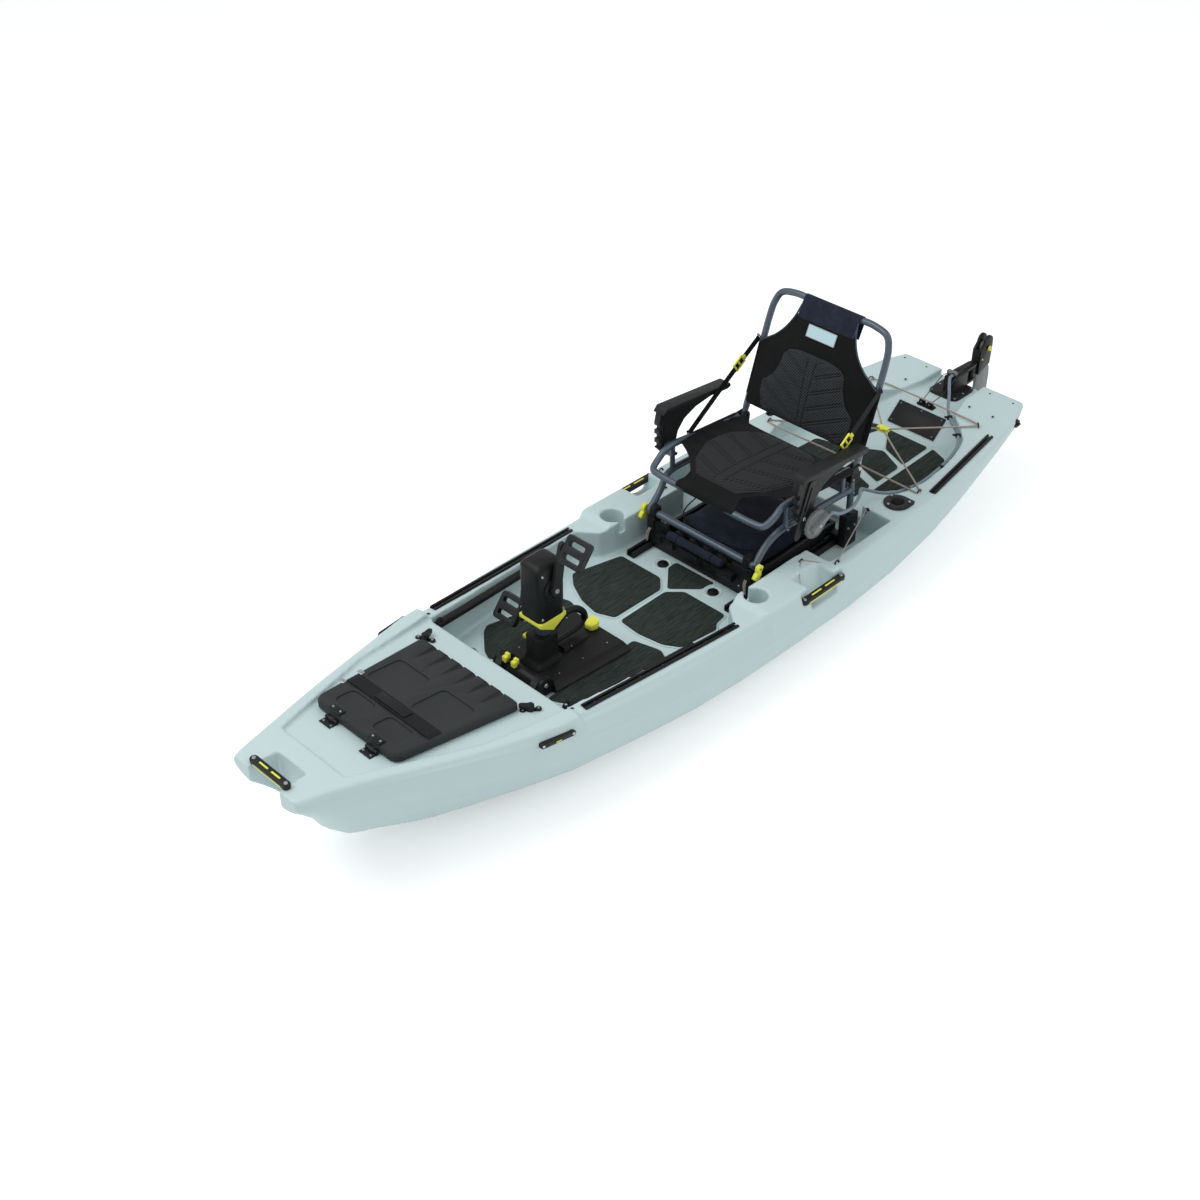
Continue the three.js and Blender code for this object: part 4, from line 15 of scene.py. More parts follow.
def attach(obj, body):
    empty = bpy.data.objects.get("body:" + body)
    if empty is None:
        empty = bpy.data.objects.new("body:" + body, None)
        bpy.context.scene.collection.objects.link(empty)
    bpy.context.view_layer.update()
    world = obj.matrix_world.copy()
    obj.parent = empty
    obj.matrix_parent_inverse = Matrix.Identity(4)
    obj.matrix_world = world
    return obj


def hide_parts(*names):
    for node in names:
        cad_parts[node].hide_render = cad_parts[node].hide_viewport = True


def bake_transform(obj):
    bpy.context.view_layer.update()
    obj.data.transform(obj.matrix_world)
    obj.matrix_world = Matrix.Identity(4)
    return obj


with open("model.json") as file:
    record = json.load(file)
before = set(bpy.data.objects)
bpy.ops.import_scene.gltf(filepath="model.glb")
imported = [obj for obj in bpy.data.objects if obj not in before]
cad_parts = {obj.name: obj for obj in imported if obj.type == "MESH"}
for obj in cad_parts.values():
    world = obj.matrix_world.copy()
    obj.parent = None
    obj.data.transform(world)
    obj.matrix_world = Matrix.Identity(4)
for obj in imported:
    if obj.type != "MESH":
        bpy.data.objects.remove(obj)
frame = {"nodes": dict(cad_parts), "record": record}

LOG = logging.getLogger("kayak")
MM = 0.001
QUARTER = math.pi / 2
HALF_TURN = math.pi
TURN = math.tau
SIDES = {"port": 1.0, "starboard": -1.0}
AIR_PRESSURE = 3.0
AIR_FRAMES = 20
OUTWARD = (1, 0, 0)
UPWARD = (0, 0, 1)
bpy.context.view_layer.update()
BODIES = {node: body for body, nodes in frame["record"]["behaviour"]["bodies"].items() for node in nodes}
Point = Sequence[float]
Colour = tuple[float, float, float, float]


def srgb(code: str) -> Colour:
    """Turns a screen colour into the linear colour that shaders take.

    Args:
        code: Six hexadecimal digits.

    Returns:
        Red, green, blue and an alpha of 1.
    """
    parts = [int(code[start:start + 2], 16) / 255 for start in (0, 2, 4)]
    linear = [part / 12.92 if part <= 0.04045 else ((part + 0.055) / 1.055) ** 2.4 for part in parts]
    return (*linear, 1.0)


def shade(colour: Colour, factor: float, lift: float = 0.0) -> Colour:
    """Returns a colour times a factor plus a lift, at most white."""
    return (*(min(part * factor + lift, 1) for part in colour[:3]), 1.0)


class Op(Enum):
    """Maths that a shader value can do."""

    ADD = "ADD"
    SUBTRACT = "SUBTRACT"
    MULTIPLY = "MULTIPLY"
    POWER = "POWER"
    SINE = "SINE"
    LARGER = "MAXIMUM"


class Value:
    """A shader socket that takes part in Python maths."""

    def __init__(self, shader: "Shader", socket: bpy.types.NodeSocket) -> None:
        """Keeps the socket and the shader that it belongs to."""
        self.shader = shader
        self.socket = socket

    def op(self, kind: Op, other: Any = None, flipped: bool = False) -> "Value":
        """Returns the result of one Math node, with the second value first where it is flipped."""
        pair = [self, other] if other is not None else [self]
        return self.shader.math(kind, *(reversed(pair) if flipped else pair))

    def __add__(self, other: Any) -> "Value":
        """Returns the sum."""
        return self.op(Op.ADD, other)

    __radd__ = __add__

    def __sub__(self, other: Any) -> "Value":
        """Returns the difference."""
        return self.op(Op.SUBTRACT, other)

    def __rsub__(self, other: Any) -> "Value":
        """Returns the difference the other way round."""
        return self.op(Op.SUBTRACT, other, True)

    def __mul__(self, other: Any) -> "Value":
        """Returns the product."""
        return self.op(Op.MULTIPLY, other)

    __rmul__ = __mul__

    def __pow__(self, other: Any) -> "Value":
        """Returns the power."""
        return self.op(Op.POWER, other)

    def wave(self) -> "Value":
        """Returns a sine wave of the value, from 0 to 1."""
        return self.op(Op.SINE) * 0.5 + 0.5


class Shader:
    """One material's node tree with a Principled surface."""

    def __init__(self, name: str) -> None:
        """Starts an empty material of that name."""
        self.material = bpy.data.materials.new(name)
        self.material.use_nodes = True
        self.tree = self.material.node_tree
        self.tree.nodes.clear()
        self.surface = self.node("ShaderNodeBsdfPrincipled")
        self.node("ShaderNodeOutputMaterial", Surface=self.surface.outputs[0])

    def node(self, kind: str, settings: Optional[dict[str, Any]] = None, **inputs: Any) -> bpy.types.Node:
        """Adds a node.

        Args:
            kind: The node's type.
            settings: Its own settings, set before its sockets.
            inputs: Values or links by socket name, with _ for a blank.

        Returns:
            The node.
        """
        made = self.tree.nodes.new(kind)
        for key, value in (settings or {}).items():
            setattr(made, key, value)
        for key, value in inputs.items():
            self.feed(made.inputs[key.replace("_", " ")], value)
        return made

    def feed(self, socket: bpy.types.NodeSocket, value: Any) -> None:
        """Sets a socket's value, or links it."""
        if isinstance(value, Value):
            value = value.socket
        if isinstance(value, bpy.types.NodeSocket):
            self.tree.links.new(value, socket)
        else:
            socket.default_value = value

    def math(self, kind: Op, *values: Any) -> Value:
        """Adds a Math node on one or two values and returns its result."""
        made = self.node("ShaderNodeMath", {"operation": kind.value})
        for socket, value in zip(made.inputs, values):
            self.feed(socket, value)
        return Value(self, made.outputs[0])

    def place(self, scale: Point = (1, 1, 1), turn: Point = (0, 0, 0),
              uv: bool = False) -> bpy.types.NodeSocket:
        """Gives the coordinates that a pattern follows.

        Args:
            scale: How many pattern units go into a metre on each axis.
            turn: The pattern's turn about each axis, in radians.
            uv: Whether it follows the piece's own surface map.

        Returns:
            The coordinates' socket.
        """
        source = self.node("ShaderNodeTexCoord").outputs["UV" if uv else "Object"]
        first = self.node("ShaderNodeMapping", Vector=source, Rotation=tuple(turn))
        return self.node("ShaderNodeMapping", Vector=first.outputs[0], Scale=tuple(scale)).outputs[0]

    def noise(self, scale: Point, detail: float = 2.0, roughness: float = 0.5,
              turn: Point = (0, 0, 0)) -> Value:
        """Returns soft noise from 0 to 1, with its scale in lumps per metre on each axis."""
        made = self.node("ShaderNodeTexNoise", Vector=self.place(scale, turn), Scale=1.0, Detail=detail,
                         Roughness=roughness)
        return Value(self, made.outputs[0])

    def axis(self, coords: bpy.types.NodeSocket, index: int) -> Value:
        """Returns one of the three numbers in the coordinates."""
        return Value(self, self.node("ShaderNodeSeparateXYZ", Vector=coords).outputs[index])

    def ramp(self, value: Value, low: float, high: float) -> Value:
        """Returns 0 below low, 1 above high, and a smooth step between."""
        return Value(self, self.node("ShaderNodeMapRange", {"interpolation_type": "SMOOTHSTEP"}, Value=value,
                                     From_Min=low, From_Max=high).outputs[0])

    def blend(self, share: Any, first: Any, second: Any) -> bpy.types.NodeSocket:
        """Mixes two colours and returns the result's socket."""
        made = self.node("ShaderNodeMix", {"data_type": "RGBA"})
        for index, value in ((0, share), (6, first), (7, second)):
            self.feed(made.inputs[index], value)
        return made.outputs[2]

    def relief(self, height: Value, depth: float, strength: float = 1.0) -> bpy.types.NodeSocket:
        """Returns the normal of a height from 0 to 1, with its depth in metres."""
        return self.node("ShaderNodeBump", Height=height, Distance=depth, Strength=strength).outputs[0]

    def finish(self, **sockets: Any) -> bpy.types.Material:
        """Feeds the surface's sockets and returns the material."""
        for key, value in sockets.items():
            self.feed(self.surface.inputs[key.replace("_", " ")], value)
        return self.material


@dataclass(frozen=True)
class Moulded:
    """Moulded plastic: a leather-like grain, slight clouding and a few dull scuffs.

    Attributes:
        name: The material's name.
        slot: The record's slot for it.
        colour: Its screen colour.
        roughness: Its mean roughness.
        grain: Grain lumps in a metre.
        depth: The grain's depth in metres.
        clouding: How far the colour strays, from 0 to 1.
        shine: How strongly it mirrors, where 0.5 is common plastic.
    """

    name: str
    slot: str
    colour: str
    roughness: float = 0.5
    grain: float = 900.0
    depth: float = 0.00012
    clouding: float = 0.12
    shine: float = 0.25

    def build(self) -> bpy.types.Material:
        """Returns the material."""
        shader = Shader(self.name)
        base = srgb(self.colour)
        clouds = shader.noise((7, 7, 7), 4.0, 0.55)
        scuffs = shader.ramp(shader.noise((60, 9, 60), 3.0, 0.7, (0.2, 0.1, 0.5)), 0.62, 0.78)
        grain = shader.noise((self.grain,) * 3, 2.0, 0.6)
        colour = shader.blend(clouds, shade(base, 1 - self.clouding), shade(base, 1 + self.clouding, 0.004))
        return shader.finish(Base_Color=shader.blend(scuffs * 0.25, colour, shade(base, 1.25, 0.01)),
                             Roughness=self.roughness + (grain - 0.5) * 0.12 + scuffs * 0.08,
                             Normal=shader.relief(grain, self.depth), Specular_IOR_Level=self.shine)


@dataclass(frozen=True)
class HullPlastic(Moulded):
    """Rotomoulded hull plastic: pale, with a fine orange-peel grain and rubbing low on its sides.

    Attributes:
        rub: Screen colour of the rubbed streaks.
    """

    rub: str = "E4EBEA"

    def build(self) -> bpy.types.Material:
        """Returns the material."""
        shader = Shader(self.name)
        base = srgb(self.colour)
        clouds = shader.noise((2.2, 1.4, 2.2), 3.0)
        height = shader.noise((420, 420, 420), 2.0, 0.55) * 0.35 + shader.noise((24, 9, 24)) * 0.65
        low = 1 - shader.ramp(shader.axis(shader.place(), 2), 0.03, 0.16)
        scuffs = shader.ramp(shader.noise((70, 5, 70), 4.0, 0.7), 0.56, 0.7) * low
        colour = shader.blend(clouds, shade(base, 0.965), shade(base, 1.025))
        return shader.finish(Base_Color=shader.blend(scuffs * 0.5, colour, srgb(self.rub)),
                             Roughness=self.roughness + (clouds - 0.5) * 0.08 + scuffs * 0.15,
                             Normal=shader.relief(height, 0.0004, 0.7), IOR=1.5)


@dataclass(frozen=True)
class FoamPad(Moulded):
    """Brushed foam deck pad: short streaks along the hull on dark grey-green foam.

    Attributes:
        streaks: Screen colour of the streaks.
    """

    streaks: str = "566059"

    def build(self) -> bpy.types.Material:
        """Returns the material."""
        shader = Shader(self.name)
        streaks = shader.noise((620, 26, 40), 3.0, 0.7)
        mask = shader.ramp(streaks * 0.65 + shader.noise((210, 12, 20), 2.0, 0.6) * 0.35, 0.38, 0.66)
        return shader.finish(Base_Color=shader.blend(mask, srgb(self.colour), srgb(self.streaks)),
                             Roughness=0.86 - mask * 0.1, Normal=shader.relief(streaks, 0.0006),
                             Specular_IOR_Level=self.shine)


@dataclass(frozen=True)
class CoatedTube(Moulded):
    """Powder-coated aluminium tube: satin, with a faint orange peel and rubbed spots.

    Attributes:
        rub: Screen colour of the rubbed spots.
    """

    rub: str = "6E7983"

    def build(self) -> bpy.types.Material:
        """Returns the material."""
        shader = Shader(self.name)
        base = srgb(self.colour)
        peel = shader.noise((500, 500, 500))
        spots = shader.ramp(shader.noise((90, 90, 90), 3.0, 0.7), 0.68, 0.8)
        colour = shader.blend(shader.noise((14, 14, 14), 3.0), base, shade(base, 1.18))
        return shader.finish(Base_Color=shader.blend(spots * 0.3, colour, srgb(self.rub)), Metallic=0.35,
                             Roughness=self.roughness + (peel - 0.5) * 0.1,
                             Normal=shader.relief(peel, self.depth), Coat_Weight=0.15)


@dataclass(frozen=True)
class Steel(Moulded):
    """Turned stainless steel with a fine brushing."""

    def build(self) -> bpy.types.Material:
        """Returns the material."""
        shader = Shader(self.name)
        brushed = shader.noise((2600, 240, 2600), 2.0, 0.6)
        base = srgb(self.colour)
        return shader.finish(Base_Color=shader.blend(brushed, shade(base, 0.75), base), Metallic=1.0,
                             Roughness=self.roughness + brushed * 0.15,
                             Normal=shader.relief(brushed, 0.00003))


@dataclass(frozen=True)
class Woven(Moulded):
    """Cloth with a plain weave that is read from the piece's place.

    Attributes:
        pitch: Threads in a metre.
        thread: Screen colour of the raised threads.
        heather: How far single threads differ in colour.
    """

    pitch: float = 900.0
    thread: str = "3A4658"
    heather: float = 0.5

    def build(self) -> bpy.types.Material:
        """Returns the material."""
        shader = Shader(self.name)
        place = shader.place((self.pitch * math.pi,) * 3, (0.35, 0.0, 0.0))
        waves = [shader.axis(place, index).op(Op.SINE) for index in range(3)]
        weave = waves[0] * waves[1] * 0.25 + waves[0] * waves[2] * 0.25 + 0.5
        slubs = shader.noise((self.pitch * 0.8, self.pitch * 0.06, self.pitch * 0.06), 3.0, 0.6)
        mottle = shader.noise((26, 26, 26), 4.0, 0.65)
        share = shader.ramp(weave * 0.4 + slubs * self.heather + (mottle - 0.5) * 0.9, 0.15, 0.95)
        return shader.finish(Base_Color=shader.blend(share, srgb(self.colour), srgb(self.thread)),
                             Roughness=0.9, Sheen_Weight=0.04, Sheen_Roughness=0.5,
                             Normal=shader.relief(weave * 0.7 + slubs * 0.3, 0.0004),
                             Specular_IOR_Level=self.shine)


@dataclass(frozen=True)
class RibbedMesh(Moulded):
    """Knitted spacer mesh: fine parallel ribs with rows of small open holes, the rib tops painted lighter as
    a painted highlight.

    Attributes:
        ribs: Ribs in a metre.
        lean: The ribs' turn about each axis, in radians.
        thread: Screen colour of the rib tops, a painted highlight.
    """

    ribs: float = 230.0
    lean: Point = (0.0, 0.0, 0.0)
    thread: str = "55595C"

    def build(self) -> bpy.types.Material:
        """Returns the material."""
        shader = Shader(self.name)
        place = shader.place((self.ribs * TURN,) * 3, self.lean)
        rib = shader.axis(place, 0).wave()
        stitch = (shader.axis(place, 1) * 2.1).wave()
        fuzz = shader.noise((1400, 1400, 1400), 2.0, 0.6)
        holes = shader.ramp(rib * 0.7 + stitch * 0.3, 0.1, 0.34)
        share = rib ** 1.5 * 0.65 + fuzz * 0.2 + shader.noise((18, 18, 18), 3.0) * 0.15
        # The rib tops take the thread colour as a painted highlight along each rib; the grooves and holes
        # keep the dark base colour.
        return shader.finish(Base_Color=shader.blend(share * holes, srgb(self.colour), srgb(self.thread)),
                             Roughness=0.85, Sheen_Weight=0.03, Sheen_Roughness=0.4,
                             Specular_IOR_Level=self.shine,
                             Normal=shader.relief(rib * 0.7 + holes * 0.2 + fuzz * 0.1, 0.0011))


@dataclass(frozen=True)
class Webbing(Moulded):
    """Flat woven strap with close ribs across it and a thin selvedge.

    Attributes:
        thread: Screen colour of the raised threads.
    """

    thread: str = "26282A"

    def build(self) -> bpy.types.Material:
        """Returns the material."""
        shader = Shader(self.name)
        place = shader.place(uv=True)
        across, along = ((shader.axis(place, index) * TURN * ribs).wave()
                         for index, ribs in ((0, 700.0), (1, 420.0)))
        weave = across * 0.4 + along * 0.6
        fuzz = shader.noise((900, 900, 900), 2.0, 0.6)
        colour = shader.blend(weave * 0.6 + fuzz * 0.4, srgb(self.colour), srgb(self.thread))
        return shader.finish(Base_Color=colour, Roughness=0.8, Specular_IOR_Level=self.shine,
                             Normal=shader.relief(weave * 0.8 + fuzz * 0.2, 0.0004), IOR=1.45)


@dataclass(frozen=True)
class Braid(Moulded):
    """Braided cord: diagonal plaits that follow the cord's own map.

    Attributes:
        fleck: Screen colour of the second strand.
        plaits: Plaits in a metre of cord.
    """

    fleck: str = "5B514B"
    plaits: float = 220.0

    def build(self) -> bpy.types.Material:
        """Returns the material."""
        shader = Shader(self.name)
        place = shader.place(uv=True)
        along, around = shader.axis(place, 0) * self.plaits, shader.axis(place, 1) * 3.0
        left, right = (((along + around) * TURN).wave(), ((along - around) * TURN).wave())
        colour = shader.blend(shader.ramp(left * right, 0.35, 0.7), srgb(self.colour), srgb(self.fleck))
        return shader.finish(Base_Color=colour, Roughness=0.75, Sheen_Weight=0.2,
                             Normal=shader.relief(left.op(Op.LARGER, right), 0.0005), IOR=1.45)


class Finish(Enum):
    """Every finish on the kayak."""

    HULL = HullPlastic("hull_shell_plastic", "hull_plastic", "C0D5D7", 0.5)
    FOAM = FoamPad("deck_pad_foam", "black_plastic", "1C2320", 0.9, streaks="39423D")
    FOAM_EDGE = Moulded("deck_pad_edge", "black_plastic", "101312", 0.85, 500.0)
    BLACK = Moulded("black_fitting_plastic", "black_plastic", "111214", 0.45)
    CHARCOAL = Moulded("charcoal_fitting_plastic", "charcoal_plastic", "1D1F20", 0.5, 1100.0, 0.0001, 0.1)
    LID = Moulded("hatch_lid_plastic", "charcoal_plastic", "2C2F30", 0.6, 380.0, 0.0004, 0.1)
    DRIVE = Moulded("drive_housing_plastic", "charcoal_plastic", "0E0F10", 0.45, 1300.0, 0.00008, 0.1)
    YELLOW = Moulded("signal_yellow_plastic", "yellow_plastic", "E4E650", 0.38, 1500.0, 0.00005, 0.05)
    GREY = Moulded("dial_grey_plastic", "grey_plastic", "74797B", 0.4, 1500.0, 0.00005, 0.08)
    CONDUIT = Moulded("conduit_jacket", "grey_plastic", "7A8894", 0.4, 1800.0, 0.00004, 0.08)
    PLATE = Moulded("grey_cover_plate", "grey_plastic", "6E7376", 0.45)
    TUBE = CoatedTube("slate_tube_coating", "frame_aluminium", "4B5763", 0.36, 900.0, 0.00006)
    STEEL = Steel("stainless_steel", "steel", "C9CDD0", 0.22)
    DENIM = Woven("navy_marl_cloth", "navy_fabric", "141A27", 0.9, thread="2B3547")
    SLEEVE = Woven("black_sleeve_cloth", "mesh_fabric", "08090A", 0.9, pitch=1100.0, thread="17181A",
                   heather=0.25)
    # The two mesh finishes' thread colours are a painted highlight on their rib tops.
    SEAT_MESH = RibbedMesh("seat_mesh", "mesh_fabric", "131416", 0.8, ribs=160.0, lean=(0.0, 0.0, 0.785),
                           thread="3A3D40")
    BACK_MESH = RibbedMesh("back_mesh", "mesh_fabric", "0A0B0C", 0.8, ribs=150.0, lean=(0.0, -0.52, 0.0),
                           thread="454A4E")
    WEBBING = Webbing("black_webbing", "webbing", "101113", 0.8)
    PIPING = Woven("edge_piping", "navy_fabric", "3A4A5C", 0.9, pitch=700.0, thread="5A6B7C", heather=0.3)
    BUNGEE = Braid("tan_bungee", "bungee_cord", "B7A99C", 0.8)
    LINE = Braid("black_line", "webbing", "2B2C2E", 0.8, fleck="121314", plaits=400.0)
    LABEL = Moulded("pale_label_plate", "hull_plastic", "BFDCE4", 0.4, 2000.0, 0.00003, 0.05)

    @property
    def material(self) -> bpy.types.Material:
        """The finish's material, built once."""
        return bpy.data.materials.get(self.value.name) or self.value.build()


def up(height: float) -> Vector:
    """Returns a step straight up."""
    return Vector((0, 0, height))


def sided(sign: float, points: Sequence[Point]) -> list[Vector]:
    """Returns points that are given for the port side, on the side of that sign."""
    return [Vector((sign * x, y, z)) for x, y, z in points]


def mirrored(places: Sequence[Point]) -> Iterator[tuple[float, Vector]]:
    """Yields each place on the port side and then on the starboard side.

    Args:
        places: The places on the port side.

    Yields:
        The side's sign and the place.
    """
    for sign in SIDES.values():
        for place in sided(sign, places):
            yield sign, place


def oblong(middle: Vector, half: Point, width: Point) -> list[Vector]:
    """Returns the corners of an oblong from its middle and the ways to the middles of two sides."""
    a, b = Vector(half), Vector(width)
    return [middle - a - b, middle + a - b, middle + a + b, middle - a + b]


def arc(centre: Point, first: Point, second: Point, count: int, turn: float = TURN) -> list[Vector]:
    """Returns points round a circle or an ellipse.

    Args:
        centre: Its middle.
        first: The way to its first point.
        second: The way to the point a quarter turn on.
        count: Its steps.
        turn: How far round it runs.

    Returns:
        The points, both ends included.
    """
    angles = [turn * step / count for step in range(count + 1)]
    return [Vector(centre) + Vector(first) * math.cos(angle) + Vector(second) * math.sin(angle)
            for angle in angles]


def table_at(table: Sequence[tuple[float, float]], place: float) -> float:
    """Reads a value between the rows of a table.

    Args:
        table: Places and values in rising order.
        place: The place.

    Returns:
        The value there, or the first or last one outside the table.
    """
    for (a, low), (b, high) in zip(table, table[1:]):
        if place <= b:
            return low + (high - low) * max(place - a, 0.0) / (b - a)
    return table[-1][1]


def smooth_path(points: Sequence[Point], per_span: int = 8) -> list[Vector]:
    """Runs a smooth curve through points, as the part's tubes do.

    Args:
        points: The points, in millimetres.
        per_span: Steps between two neighbours.

    Returns:
        Points along the curve.
    """
    given = [Vector(point) for point in points]
    knots = [given[0] * 2 - given[1], *given, given[-1] * 2 - given[-2]]
    path: list[Vector] = []
    for p0, p1, p2, p3 in zip(knots, knots[1:], knots[2:], knots[3:]):
        gaps = [max((b - a).length, 1e-6) ** 0.5 for a, b in ((p0, p1), (p1, p2), (p2, p3))]
        slope1 = ((p1 - p0) / gaps[0] - (p2 - p0) / (gaps[0] + gaps[1]) + (p2 - p1) / gaps[1]) * gaps[1]
        slope2 = ((p2 - p1) / gaps[1] - (p3 - p1) / (gaps[1] + gaps[2]) + (p3 - p2) / gaps[2]) * gaps[1]
        for step in range(per_span):
            t = step / per_span
            path.append(p1 * (2 * t ** 3 - 3 * t * t + 1) + slope1 * (t ** 3 - 2 * t * t + t)
                        + p2 * (3 * t * t - 2 * t ** 3) + slope2 * (t ** 3 - t * t))
    return path + [given[-1]]


def even_path(path: Sequence[Vector], step: float) -> list[Vector]:
    """Spaces a path's points evenly.

    Args:
        path: The path.
        step: The distance that is aimed at.

    Returns:
        The new points, ends included.
    """
    lengths = [0.0]
    for a, b in zip(path, path[1:]):
        lengths.append(lengths[-1] + (b - a).length)
    count = max(int(round(lengths[-1] / step)), 2)
    even, index = [], 0
    for number in range(count + 1):
        goal = lengths[-1] * number / count
        while index < len(path) - 2 and lengths[index + 1] < goal:
            index += 1
        span = max(lengths[index + 1] - lengths[index], 1e-9)
        even.append(path[index].lerp(path[index + 1], min((goal - lengths[index]) / span, 1)))
    return even


def path_length(path: Sequence[Vector]) -> float:
    """Returns a path's length."""
    return sum((b - a).length for a, b in zip(path, path[1:]))


def frames_along(path: Sequence[Vector]) -> list[tuple[Vector, Vector]]:
    """Carries two cross directions along a path without twist.

    Args:
        path: The path.

    Returns:
        The two directions at each of its points.
    """
    ways = [(path[min(i + 1, len(path) - 1)] - path[max(i - 1, 0)]).normalized() for i in range(len(path))]
    side = ways[0].orthogonal().normalized()
    made = []
    for way in ways:
        side = (side - way * side.dot(way)).normalized()
        made.append((side, way.cross(side)))
    return made


def symmetric(half: Sequence[Point], middle: Sequence[Point] = ()) -> list[Vector]:
    """Returns a route or an outline that runs down one side and back up the other."""
    return [*sided(1, half), *map(Vector, middle), *reversed(sided(-1, half))]


def placed(name: str, data: Any) -> bpy.types.Object:
    """Puts a mesh, a lamp or a camera into the scene."""
    made = bpy.data.objects.new(name, data)
    bpy.context.scene.collection.objects.link(made)
    return made


def looking(made: bpy.types.Object, place: Point, target: Point) -> None:
    """Stands a lamp or the camera at a place and turns it to its target."""
    made.location = place
    made.rotation_euler = (Vector(target) - Vector(place)).to_track_quat("-Z", "Y").to_euler()


def evaluated(rough: bpy.types.Object) -> bpy.types.Mesh:
    """Returns an object's mesh with its modifiers applied."""
    return bpy.data.meshes.new_from_object(rough.evaluated_get(bpy.context.evaluated_depsgraph_get()))


def gridded(rough: bpy.types.Object, voxel: float) -> None:
    """Rebuilds an object on a grid with that step, in millimetres."""
    remesh = rough.modifiers.new("grid", "REMESH")
    remesh.mode = "VOXEL"
    remesh.voxel_size = voxel * MM


def present(made: bpy.types.Object, finish: Finish, body: str, replaced: Sequence[str] = (),
            sharp: float = 38.0) -> bpy.types.Object:
    """Gives an object its finish, its body and its part in the frame.

    Args:
        made: The object.
        finish: Its finish.
        body: The body that it rides on, or nothing where it is left without one.
        replaced: CAD nodes that it stands for.
        sharp: Edges that turn by more degrees than this stay sharp.

    Returns:
        The object.
    """
    mesh = made.data
    mesh.materials.clear()
    mesh.materials.append(finish.material)
    mesh.shade_smooth()
    mesh.set_sharp_from_angle(angle=math.radians(sharp))
    if body:
        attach(made, body)
    if replaced:
        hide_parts(*replaced)
    LOG.info("%s: %d faces on %s", made.name, len(mesh.polygons), body)
    return made


